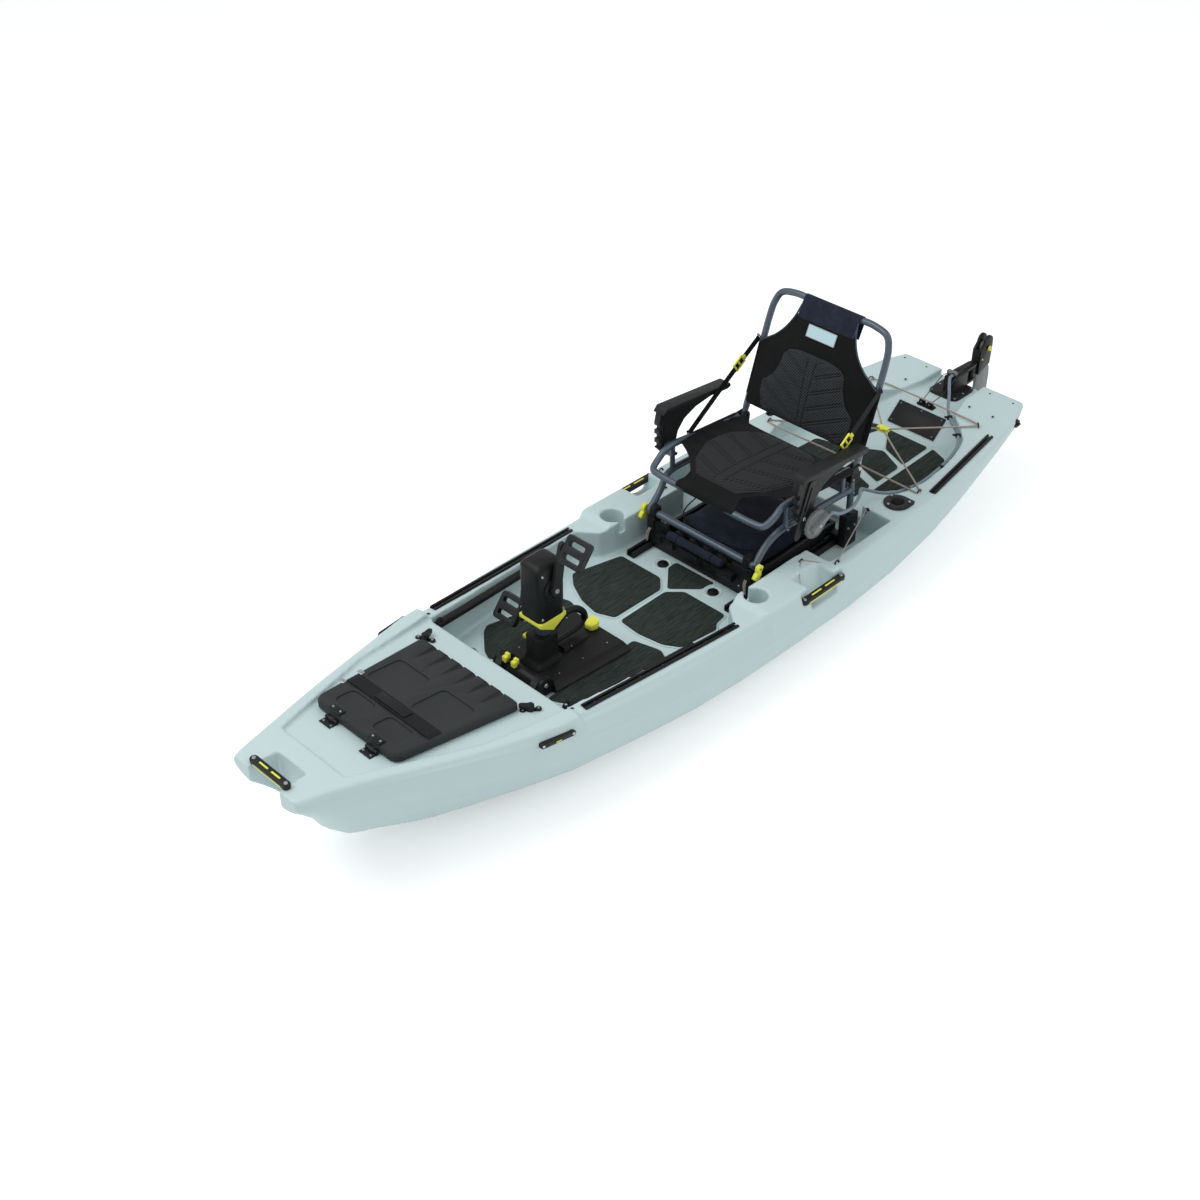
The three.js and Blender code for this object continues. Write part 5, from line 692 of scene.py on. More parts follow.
class Form:
    """A shape in millimetres that grows bit by bit and ends as a finished piece."""

    def __init__(self, mesh: Optional[bpy.types.Mesh] = None) -> None:
        """Starts empty, or from a mesh in metres."""
        self.bm = bmesh.new()
        if mesh is not None:
            self.bm.from_mesh(mesh)
            self.scale(1 / MM)

    def scale(self, factor: float) -> None:
        """Scales the form."""
        bmesh.ops.scale(self.bm, vec=(factor,) * 3, verts=self.bm.verts[:])

    def bevel(self, edges: Sequence[bmesh.types.BMEdge], offset: float, clamped: bool = False) -> None:
        """Rounds edges, held back where they meet if clamped."""
        bmesh.ops.bevel(self.bm, geom=edges, offset=offset, segments=2, profile=0.5, affect="EDGES",
                        clamp_overlap=clamped, material=-1)

    def rod(self, start: Point, end: Point, radius: float, tip: Optional[float] = None, segments: int = 20,
            bevel: float = 0.0) -> list[bmesh.types.BMVert]:
        """Adds a round rod or a cone.

        Args:
            start: Its first end.
            end: Its last end.
            radius: Its radius at the start.
            tip: Its radius at the end, the same where it isn't given.
            segments: Its sides.
            bevel: The rounding of its end edges.

        Returns:
            Its vertices.
        """
        start, end = Vector(start), Vector(end)
        turn = (end - start).to_track_quat("Z", "Y").to_matrix().to_4x4()
        made = bmesh.ops.create_cone(self.bm, cap_ends=True, segments=segments, radius1=radius,
                                     radius2=radius if tip is None else tip, depth=(end - start).length,
                                     matrix=Matrix.Translation((start + end) / 2) @ turn)["verts"]
        if bevel:
            edges = {edge for vert in made for edge in vert.link_edges}
            ends = [edge for edge in edges if any(len(face.verts) > 4 for face in edge.link_faces)]
            self.bevel(ends, bevel)
        return made

    def block(self, first: Point, last: Point, bevel: float = 0.0, place: Optional[Matrix] = None) -> None:
        """Adds a block with rounded edges.

        Args:
            first: One of its corners.
            last: The corner opposite.
            bevel: The rounding of its edges.
            place: A turn and a place that it then gets.
        """
        low = Vector([min(pair) for pair in zip(first, last)])
        high = Vector([max(pair) for pair in zip(first, last)])
        size = Matrix.Diagonal((*(high - low), 1.0))
        at = (place or Matrix()) @ Matrix.Translation((low + high) / 2) @ size
        made = bmesh.ops.create_cube(self.bm, size=1.0, matrix=at)["verts"]
        if bevel:
            self.bevel(list({edge for vert in made for edge in vert.link_edges}), bevel)

    def slab(self, outline: Sequence[Point], depth: Point, corner: float = 0.0, bevel: float = 0.0,
             segments: int = 4) -> None:
        """Adds a slab: an outline with rounded corners, drawn out along a line.

        Args:
            outline: Its corners in order.
            depth: The way and the distance that it is drawn out.
            corner: The rounding of the outline's corners.
            bevel: The rounding of the edges round its faces.
            segments: Steps in each rounded corner.
        """
        corners = [self.bm.verts.new(point) for point in outline]
        face = self.bm.faces.new(corners)
        if corner:
            made = bmesh.ops.bevel(self.bm, geom=corners, offset=corner, segments=segments, profile=0.5,
                                   affect="VERTICES", clamp_overlap=True, material=-1)
            face = next(near for vert in made["verts"] for near in vert.link_faces)
        rise = bmesh.ops.extrude_face_region(self.bm, geom=[face])["geom"]
        moved = [item for item in rise if isinstance(item, bmesh.types.BMVert)]
        bmesh.ops.translate(self.bm, vec=Vector(depth), verts=moved)
        if bevel:
            caps = [item for item in rise if isinstance(item, bmesh.types.BMFace)] + [face]
            self.bevel(list({edge for cap in caps if cap.is_valid for edge in cap.edges}), bevel, True)

    def bolt(self, at: Point, way: Point, radius: float, height: float) -> None:
        """Adds a domed bolt head with its sunken socket.

        Args:
            at: The middle of its foot.
            way: The way that it faces.
            radius: Its radius.
            height: Its height.
        """
        facing, foot = Vector(way).normalized(), Vector(at)
        made = self.rod(foot - facing * height * 0.3, foot + facing * height, radius, radius * 0.8, 12)
        self.bm.normal_update()
        caps = [face for face in {face for vert in made for face in vert.link_faces} if len(face.verts) > 4]
        top = max(caps, key=lambda face: face.normal.dot(facing))
        bmesh.ops.inset_individual(self.bm, faces=[top], thickness=radius * 0.3, depth=0.0)
        bmesh.ops.inset_individual(self.bm, faces=[top], thickness=radius * 0.04, depth=-height * 0.5)

    def surface(self, counts: tuple[int, int], shape: Callable[[float, float], Point],
                size: tuple[float, float]) -> list[bmesh.types.BMFace]:
        """Adds a grid that is bent to a shape, with its map in metres of cloth.

        Args:
            counts: Steps along and across.
            shape: Gives the point for a share along and a share across.
            size: The cloth's length and width in metres, for its map.

        Returns:
            Its faces.
        """
        layer = self.bm.loops.layers.uv.verify()
        made = bmesh.ops.create_grid(self.bm, x_segments=counts[0], y_segments=counts[1], size=0.5)["verts"]
        faces = list({face for vert in made for face in vert.link_faces})
        for face in faces:
            for loop in face.loops:
                loop[layer].uv = ((loop.vert.co.x + 0.5) * size[0], (loop.vert.co.y + 0.5) * size[1])
        for vert in made:
            vert.co = Vector(shape(min(max(vert.co.x + 0.5, 0), 1), min(max(vert.co.y + 0.5, 0), 1)))
        return faces

    def sheet(self, counts: tuple[int, int], shape: Callable[[float, float], Point],
              size: tuple[float, float], thickness: float) -> float:
        """Adds a surface with a thickness.

        Args:
            counts: Steps along and across.
            shape: Gives the point for a share along and a share across.
            size: The cloth's length and width in metres, for its map.
            thickness: Its thickness, less than 0 where it grows the other way.

        Returns:
            Its area in square metres.
        """
        faces = self.surface(counts, shape, size)
        area = sum(face.calc_area() for face in faces) * MM * MM
        bmesh.ops.solidify(self.bm, geom=faces, thickness=thickness)
        return area

    def close(self, faces: Sequence[bmesh.types.BMFace], gap: float, sides: int) -> None:
        """Sews a rolled-up grid together where its edges meet, and fills its ends."""
        verts = list({vert for face in faces for vert in face.verts})
        bmesh.ops.remove_doubles(self.bm, verts=verts, dist=gap)
        ends = [edge for edge in self.bm.edges if edge.is_boundary]
        bmesh.ops.holes_fill(self.bm, edges=ends, sides=sides)

    def tube(self, path: Sequence[Point], radius: float, segments: int = 8) -> None:
        """Adds a round tube along points, closed at both ends, with its map in metres.

        Args:
            path: The points of its middle line.
            radius: Its radius.
            segments: Its sides.
        """
        line = [Vector(point) for point in path]
        crosses = frames_along(line)
        last = len(line) - 1

        def skin(along: float, around: float) -> Vector:
            """Gives the tube's point at a share of its length and of a turn."""
            index = round(along * last)
            first, second = crosses[index]
            return line[index] + (first * math.cos(around * TURN) + second * math.sin(around * TURN)) * radius

        faces = self.surface((last, segments), skin, (path_length(line) * MM, 1.0))
        self.close(faces, radius * 0.01, segments)

    def run(self, points: Sequence[Point], radius: float, step: float = 4, segments: int = 8) -> None:
        """Adds a tube along a smooth curve through points, with its rings a step apart."""
        self.tube(even_path(smooth_path(points), step), radius, segments)

    def ring(self, centre: Point, first: Point, second: Point, thickness: float, count: int = 24,
             segments: int = 8) -> None:
        """Adds a ring of wire from the ways to its first point and to the one a quarter turn on."""
        self.tube(arc(centre, first, second, count), thickness, segments)

    def outwards(self) -> None:
        """Turns every face outwards."""
        bmesh.ops.recalc_face_normals(self.bm, faces=self.bm.faces[:])

    def move(self, place: Matrix) -> None:
        """Turns and moves the form."""
        bmesh.ops.transform(self.bm, matrix=place, verts=self.bm.verts[:])

    def object(self, name: str) -> bpy.types.Object:
        """Ends the form as an unfinished object in metres."""
        self.scale(MM)
        mesh = bpy.data.meshes.new(name)
        self.bm.to_mesh(mesh)
        self.bm.free()
        return placed(name, mesh)

    def piece(self, name: str, finish: Finish, body: str, replaced: Sequence[str] = (),
              sharp: float = 38.0) -> bpy.types.Object:
        """Ends the form as a finished piece, as present does."""
        self.outwards()
        return present(self.object(name), finish, body, replaced, sharp)

    def smooth(self, passes: int) -> None:
        """Relaxes the form's points towards their neighbours."""
        for _ in range(passes):
            bmesh.ops.smooth_vert(self.bm, verts=self.bm.verts[:], factor=0.5, use_axis_x=True,
                                  use_axis_y=True, use_axis_z=True)

    def halve(self) -> None:
        """Halves every edge of the form along a soft curve."""
        bmesh.ops.subdivide_edges(self.bm, edges=self.bm.edges[:], cuts=1, use_grid_fill=True, smooth=0.6)

    def inflated(self, voxel: float, cap: float, held: Callable[[Vector], bool]) -> "Form":
        """Args:
            voxel: The grid that it is remeshed on.
            cap: How far a point may move.
            held: Tells whether a point of the form is held fast.

        Returns:
            The blown-up form.
        """
        self.outwards()
        rough = self.object("rough_pad")
        gridded(rough, voxel)
        rough.data = evaluated(rough)
        rough.modifiers.clear()
        start = [vert.co.copy() for vert in rough.data.vertices]
        group = rough.vertex_groups.new(name="held")
        group.add([index for index, co in enumerate(start) if held(co / MM)], 1.0, "REPLACE")
        cloth = rough.modifiers.new("cloth", "CLOTH")
        cloth.settings.use_pressure = True
        cloth.settings.uniform_pressure_force = AIR_PRESSURE
        cloth.settings.effector_weights.gravity = 0.0
        cloth.settings.vertex_group_mass = "held"
        cloth.point_cache.frame_end = AIR_FRAMES
        for number in range(1, AIR_FRAMES + 1):
            bpy.context.scene.frame_set(number)
        graph = bpy.context.evaluated_depsgraph_get()
        blown = [vert.co.copy() for vert in rough.evaluated_get(graph).data.vertices]
        rough.modifiers.clear()
        bpy.context.scene.frame_set(1)
        for vert, first, last in zip(rough.data.vertices, start, blown):
            move = last - first
            vert.co = first + move * min(1.0, cap * MM / max(move.length, 1e-9))
        grown = Form(rough.data)
        bpy.data.objects.remove(rough)
        return grown


def bolts(name: str, body: str, heads: Sequence[tuple[Point, Point, float, float]],
          finish: Finish = Finish.STEEL) -> None:
    """Makes one piece of bolt heads.

    Args:
        name: The piece's name.
        body: The body that it rides on.
        heads: Each head's place, way, radius and height.
        finish: Their finish.
    """
    form = Form()
    for head in heads:
        form.bolt(*head)
    form.piece(name, finish, body)


def merged(node: str) -> Form:
    """Returns a copy of a CAD node with its points merged and its flat regions as single faces."""
    form = Form(frame["nodes"][node].data)
    bmesh.ops.remove_doubles(form.bm, verts=form.bm.verts[:], dist=0.002)
    bmesh.ops.dissolve_limit(form.bm, angle_limit=math.radians(0.6), verts=form.bm.verts[:],
                             edges=form.bm.edges[:])
    return form


def refined(node: str, finish: Finish, bevel: float, sharp: float = 38.0) -> None:
    """Replaces a CAD node by a copy of it with rounded edges and its finish.

    Args:
        node: The node.
        finish: Its finish.
        bevel: The rounding in millimetres.
        sharp: Edges that turn by more degrees than this are rounded.
    """
    form = merged(node)
    edges = [edge for edge in form.bm.edges
             if len(edge.link_faces) == 2 and edge.calc_face_angle(0.0) > math.radians(sharp)]
    if bevel and edges:
        form.bevel(edges, bevel, True)
    present(form.object(f"{node}_finished"), finish, BODIES[node], [node], 44.0)


def softened(node: str, finish: Finish, voxel: float, passes: int, share: float) -> None:
    """Replaces a CAD node by a copy whose corners are all softly rounded, as a rotomoulding's are.

    Args:
        node: The node.
        finish: Its finish.
        voxel: The grid's step in millimetres.
        passes: How often the grid is smoothed.
        share: The share of its faces that is kept.
    """
    rough = merged(node).object(f"{node}_rough")
    gridded(rough, voxel)
    relax = rough.modifiers.new("relax", "SMOOTH")
    relax.factor = 0.5
    relax.iterations = passes
    thin = rough.modifiers.new("thin", "DECIMATE")
    thin.ratio = share
    final = evaluated(rough)
    bpy.data.objects.remove(rough)
    present(placed(f"{node}_finished", final), finish, BODIES[node], [node], 60.0)


def cord(name: str, points: Sequence[Point], radius: float, finish: Finish, body: str,
         replaced: Sequence[str] = (),
         step: float = 4.0, segments: int = 8) -> bpy.types.Object:
    """Lays a cord along a smooth route.

    Args:
        name: The cord's name.
        points: The route's points.
        radius: The cord's radius.
        finish: Its finish.
        body: The body that it rides on.
        replaced: CAD nodes that it stands for.
        step: The distance between its rings.
        segments: Its sides.

    Returns:
        The cord.
    """
    route = even_path(smooth_path(points), step)
    form = Form()
    form.tube(route, radius, segments)
    made = form.piece(name, finish, body, replaced, 60.0)
    route[0] * MM
    path_length(route) * MM
    [point * MM for point in route]
    return made


def channel(across: float, along: float, pitch: float, slant: float, gap: float, band: float) -> float:
    """Gives the depth share of the paired chevron seams and the seams of the middle band.

    Args:
        across: The distance from the pad's middle line.
        along: The distance along the pad from one pair of seams.
        pitch: The distance between the pairs.
        slant: How far a seam runs along for each step outwards.
        gap: The distance between the two seams of a pair.
        band: Half of the middle band's width.

    Returns:
        From 0 on the pad's skin to 1 in the middle of a seam.
    """
    off = abs(across)
    phase = (along - slant * off) % pitch
    groove = max(1 - min(phase, abs(phase - gap), pitch - phase) / 4.5, 0.0) if off > band else 0.0
    seam = max(1 - abs(off - band) / 4.0, 0.0)
    return max(groove * groove * (3 - 2 * groove), seam)


@dataclass
class Studio:
    """The floor, the lamps and the camera.

    Attributes:
        place: Where the camera stands, in metres.
        target: What it looks at, in metres.
        lens: Its lens in millimetres on a 36 mm frame.
        glow: The floor's own light, for the rays that the camera sees.
        room: The strength of the room's light.
        lamps: Each lamp's name, place, width in metres and power in watts.
    """

    place: Point = (2.72993, -3.09817, 3.29734)
    target: Point = (-0.02006, -0.30373, 0.29205)
    lens: float = 50.0
    glow: float = 0.34
    room: float = 0.62
    lamps: tuple[tuple[str, Point, float, float], ...] = (
        ("key_lamp", (-1.5, -2.2, 4.6), 4.0, 105.0), ("fill_lamp", (3.4, 2.4, 4.0), 4.0, 45.0))

    def build(self) -> None:
        """Makes the camera first, then the floor and the light."""
        self.camera()
        self.floor()
        self.light()

    def camera(self) -> None:
        """Stands the camera at the photograph's viewing angle."""
        data = bpy.data.cameras.new("camera")
        data.lens = self.lens
        data.sensor_width = 36.0
        data.clip_end = 60.0
        made = placed("camera", data)
        looking(made, self.place, self.target)
        bpy.context.scene.camera = made
        bpy.context.scene.view_settings.view_transform = "Standard"

    def floor(self) -> None:
        """Lays the plain white floor."""
        bm = bmesh.new()
        bmesh.ops.create_grid(bm, x_segments=2, y_segments=2, size=30.0,
                              matrix=Matrix.Translation((0, 0, -0.002)))
        mesh = bpy.data.meshes.new("floor")
        bm.to_mesh(mesh)
        bm.free()
        shader = Shader("studio_floor")
        path = shader.node("ShaderNodeLightPath").outputs
        seen = sum((Value(shader, path[name]) for name in ("Is Glossy Ray", "Is Transmission Ray")),
                   Value(shader, path["Is Camera Ray"]))
        glow = shader.blend(seen, (0.0, 0.0, 0.0, 1.0), (self.glow, self.glow, self.glow, 1.0))
        mesh.materials.append(shader.finish(Base_Color=srgb("FAFBFB"), Roughness=0.9, Emission_Color=glow,
                                            Emission_Strength=1.0))
        placed("floor", mesh)

    def light(self) -> None:
        """Hangs two wide soft lamps in a pale room."""
        world = bpy.data.worlds.new("room")
        world.use_nodes = True
        sky = world.node_tree.nodes["Background"].inputs
        sky["Color"].default_value = (1.0, 1.0, 1.0, 1.0)
        sky["Strength"].default_value = self.room
        bpy.context.scene.world = world
        for name, place, size, power in self.lamps:
            data = bpy.data.lights.new(name, "AREA")
            data.shape = "DISK"
            data.size = size
            data.energy = power
            looking(placed(name, data), place, (0, 0, 0.2))


@dataclass
class HullDress:
    """The shell's finish, its floor pads, inserts, rings, hooks and plugs.

    Attributes:
        floor_z: The cockpit floor.
        well_z: The tankwell floor.
        pad_rise: How far a pad stands off its floor.
        bed_rise: How far the bed under a pad stands off its floor.
        floor_pads: Names and outlines of the cockpit's pads.
        well_pads: Names and outlines of the tankwell's pads.
    """

    floor_z: float = 188.0
    well_z: float = 207.0
    pad_rise: float = 4.0
    bed_rise: float = 2.6
    floor_pads: tuple[tuple[str, tuple[Point, ...]], ...] = (
        ("front_starboard", ((-263, -175), (-220, -4), (-58, -3), (-20, -43), (-22, -238), (-79, -261),
                             (-150, -247), (-221, -212))),
        ("front_port", ((9, -238), (7, -45), (48, -4), (209, -4), (216, -52), (235, -70), (218, -203),
                        (170, -232), (84, -245))),
        ("centre", ((-76, 64), (-6, -16), (68, 54), (66, 79), (75, 99), (-76, 97))),
        ("side_starboard", ((-120, -300), (-112, -605), (-145, -637), (-177, -624), (-247, -563),
                            (-261, -539), (-231, -423), (-244, -310), (-170, -283))),
        ("side_port", ((103, -287), (110, -641), (139, -630), (177, -601), (246, -560), (262, -300),
                       (189, -264), (152, -273))))
    well_pads: tuple[tuple[str, tuple[Point, ...]], ...] = (
        ("rear", ((-59, 1183), (100, 1182), (104, 1043), (7, 1082))),
        ("port", ((131, 1052), (128, 1183), (192, 1157), (209, 1025), (200, 923), (133, 832))),
        ("middle", ((-43, 1024), (9, 1057), (104, 1009), (105, 897), (16, 930))),
        ("starboard_rear", ((-83, 1190), (-152, 1172), (-212, 1090), (-208, 1010), (-120, 1060))),
        ("starboard", ((-70, 1000), (-205, 960), (-212, 860), (-150, 800), (-40, 880))),
        ("front", ((-10, 890), (105, 850), (105, 760), (-95, 760), (-60, 850))))

    def build(self) -> None:
        """Builds the shell's finish and everything that is fixed to it."""
        softened("hull", Finish.HULL, 5.0, 2, 0.3)
        for name, outline in self.floor_pads:
            if name == "centre":
                self.pad(f"cockpit_pad_{name}", outline, self.floor_z - 2.4, 0.0)
            else:
                self.pad(f"cockpit_pad_{name}", outline, self.floor_z, self.bed_rise)
        for name, outline in self.well_pads:
            self.pad(f"tankwell_pad_{name}", outline, self.well_z, 0.0)
        self.floor_fittings()
        self.stern_inserts()
        self.bow_bars()
        self.hooks()
        for node in ("scupper_plug_port", "scupper_plug_starboard", "drain_plug"):
            refined(node, Finish.BLACK, 0.8)
        for place in ("front", "rear"):
            for side in SIDES:
                refined(f"gear_track_{place}_{side}", Finish.BLACK, 0.4)
        for side in SIDES:
            refined(f"deck_rail_tube_{side}", Finish.BLACK, 0.0)
            refined(f"seat_rail_{side}", Finish.BLACK, 0.5)
        self.track_screws()

    @staticmethod
    def moved(outline: Sequence[Point], distance: float, height: float) -> list[Vector]:
        """Moves every side of an outline outwards.

        Args:
            outline: Its corners.
            distance: How far its sides move, less than 0 where they move inwards.
            height: The height that its corners get.

        Returns:
            The new corners.
        """
        points = [Vector(corner) for corner in outline]
        ahead, behind = points[1:] + points[:1], points[-1:] + points[:-1]
        turn = math.copysign(distance, sum(a.x * b.y - b.x * a.y for a, b in zip(points, ahead)))
        corners = []
        for before, at, after in zip(behind, points, ahead):
            first, last = (at - before).normalized(), (after - at).normalized()
            outs = Vector((first.y, -first.x)), Vector((last.y, -last.x))
            shift = (outs[0] + outs[1]) * turn / max(1 + outs[0].dot(outs[1]), 0.5)
            corners.append((at + shift).to_3d() + up(height))
        return corners

    def pad(self, name: str, outline: Sequence[Point], floor: float, bed: float) -> None:
        """Glues one foam pad down: a dark bevelled edge with the brushed face inside it.

        Args:
            name: The pad's name.
            outline: Its corners.
            floor: The height of what it lies on.
            bed: The height of the raised bed round it, or 0 where it has none.
        """
        if bed:
            form = Form()
            form.slab(self.moved(outline, 10.0, floor - 1.0), up(bed + 1.0), corner=12.0, bevel=1.6)
            form.piece(f"{name}_bed", Finish.HULL, "hull")
        for ending, finish, inset, rise in (("_edge", Finish.FOAM_EDGE, 0.0, self.pad_rise - 1.2),
                                            ("", Finish.FOAM, -3.5, self.pad_rise)):
            form = Form()
            corners = self.moved(outline, inset, floor + bed + 0.1)
            form.slab(corners, up(rise), corner=10.0, bevel=0.6, segments=5)
            form.piece(name + ending, finish, "hull")

    def floor_fittings(self) -> None:
        """Adds the seat scuppers' plugs, the floor ring and the scupper collars."""
        form = Form()
        for x in (105, -105):
            foot = Vector((x, 66, self.floor_z))
            form.rod(foot + up(0.3), foot + up(3.5), 18.0, 16.5, 28, 0.8)
            form.rod(foot + up(3.5), foot + up(5), 9.0, 7.5, 20, 0.4)
        form.piece("seat_scupper_plugs", Finish.BLACK, "hull")
        form = Form()
        form.ring((-207, -437, self.floor_z + self.pad_rise + 3.4), (15, 0, 0), (0, 15, 0), 2.6)
        form.piece("floor_ring", Finish.PLATE, "hull")
        form = Form()
        for x, y in ((105, 66), (-105, 66), (210, -660), (-210, -660)):
            form.ring((x, y, self.floor_z - 0.8), (27, 0, 0), (0, 27, 0), 2.4, 28)
        form.piece("scupper_collars", Finish.HULL, "hull")

    def stern_inserts(self) -> None:
        """Adds the threaded inserts in the two stern pads, which slope a little."""
        form = Form()
        places = [(x, y, 308.35 - 0.0138 * (y - 1480)) for y in (1367, 1492) for x in (136, 231.5)]
        for _, foot in mirrored(places):
            form.rod(foot - up(1.5), foot + up(0.9), 4.2, 3.8, 16, 0.3)
        form.piece("stern_inserts", Finish.BLACK, "hull")

    def bow_bars(self) -> None:
        """Adds the small fairlead bar low on each side of the bow."""
        for side, sign in SIDES.items():
            start, end = sided(sign, ((334, -880, 311), (348, -783, 306)))
            way, middle = (end - start).normalized(), (start + end) / 2
            out = Vector((sign, 0, 0.12)).normalized()
            form = Form()
            corners = oblong(middle - out * 14, (end - start) / 2 + way * 8, -up(9))
            form.slab(corners, out * 20, corner=8.0, bevel=1.2)
            form.piece(f"bow_bar_{side}", Finish.BLACK, "hull")
            form = Form()
            form.slab(oblong(middle + out * 6 - up(4), way * 9, -up(2)), out * 0.8, corner=1.5)
            form.piece(f"bow_bar_mark_{side}", Finish.YELLOW, "hull")
            bolts(f"bow_bar_screws_{side}", "hull", [(at + out * 6, out, 4.5, 2.0) for at in (start, end)])

    def hooks(self) -> None:
        """Adds the wire hooks at the bulkhead and the cord anchors along the cockpit."""
        form = Form()
        for _, base in mirrored(((262, -722, 316), (296, -735, 320), (283, 264, 292), (366, 334, 294),
                                 (261, 620, 296))):
            feet = [base + Vector((0, way, -4)) for way in (9, -9)]
            arch = arc(base, (0, 9, 0), (0, 0, 9), 8, HALF_TURN)
            form.tube(smooth_path([feet[0], *arch, feet[1]], 2), 2.2)
            for foot in feet:
                form.rod(foot, foot + up(4.6), 5, 4, 12, 0.4)
        form.piece("deck_hooks", Finish.BLACK, "hull")

    def keeper(self) -> None:
        """Stretches the retaining cord over the port side pocket, from hook to hook."""
        start, end = Vector((366, 337, 301.5)), Vector((261, 617, 303.5))
        route = [start.lerp(end, share / 4) for share in range(5)]
        cord("port_keeper_cord", route, 1.8, Finish.BUNGEE, "hull", step=12.0)

    def track_screws(self) -> None:
        """Adds the screws in the four gear tracks."""
        heads = []
        for count, start, end in ((7, (311, -707, 322.7), (344, -105, 289.5)),
                                  (6, (346, 855, 285.2), (291, 1268, 295.3))):
            line = [Vector(start).lerp(Vector(end), (index + 0.5) / count) - up(2.0)
                    for index in range(count)]
            heads += [(at, UPWARD, 2.9, 2.0) for _, at in mirrored(line)]
        bolts("track_screws", "hull", heads)


@dataclass
class Handles:
    """The bow handle and the side handles with their inlays, bolts and leash cords.

    Attributes:
        bow_y: The bow handle's middle.
        side_x: The side handles' middle.
        side_z: The ledge that they stand on.
        thickness: Their thickness.
    """

    bow_y: float = -1503.0
    side_x: float = 398.0
    side_z: float = 258.0
    thickness: float = 15.0

    def build(self) -> None:
        """Builds the three handles."""
        refined("bow_handle", Finish.CHARCOAL, 2.5)
        self.trim("bow_handle", Vector((-78, self.bow_y, 406)), Vector((78, self.bow_y, 406)),
                  Vector((0, -1, 0)))
        for side, sign in SIDES.items():
            refined(f"side_handle_{side}", Finish.CHARCOAL, 2.5)
            ends = sided(sign, ((self.side_x, 132, self.side_z), (self.side_x, 329, self.side_z)))
            self.trim(f"side_handle_{side}", *ends, Vector((sign, 0, 0)))

    def trim(self, name: str, start: Vector, end: Vector, out: Vector) -> None:
        """Adds a handle's yellow inlays and edge line and its end bolts.

        Args:
            name: The handle's name.
            start: The first end of its foot line.
            end: The last end of its foot line.
            out: The way that faces the water.
        """
        way = (end - start).normalized()
        form = Form()
        for share in (0.34, 0.66):
            middle = start.lerp(end, share) + up(self.thickness - 0.1)
            form.slab(oblong(middle, (end - start) * 0.115, out * 2.6), up(0.7), corner=2.2)
        foot, tip = start + way * 20 + out * 11.2 + up(2.2), end - way * 20 + out * 11.2 + up(2.2)
        form.slab([foot, tip, tip + up(3.6), foot + up(3.6)], out * 1.3, corner=1.4)
        form.piece(f"{name}_inlays", Finish.YELLOW, "hull")
        bolts(f"{name}_bolts", "hull", [(at + up(self.thickness), UPWARD, 6.0, 2.6)
                                        for at in (start + way * 12, end - way * 12)])

    def leashes(self) -> None:
        """Ties a thin braided cord from each side handle's ends to its anchor on the deck."""
        route = ((392, 318, 272.5), (380, 316, 280), (352, 309, 289), (318, 292, 295), (288, 268, 297.5),
                 (283, 262, 299), (288, 256, 297.5), (308, 226, 293), (345, 184, 286), (378, 152, 279),
                 (391, 144, 272.8))
        for side, sign in SIDES.items():
            cord(f"handle_cord_{side}", sided(sign, route), 1.6, Finish.BUNGEE, "hull")


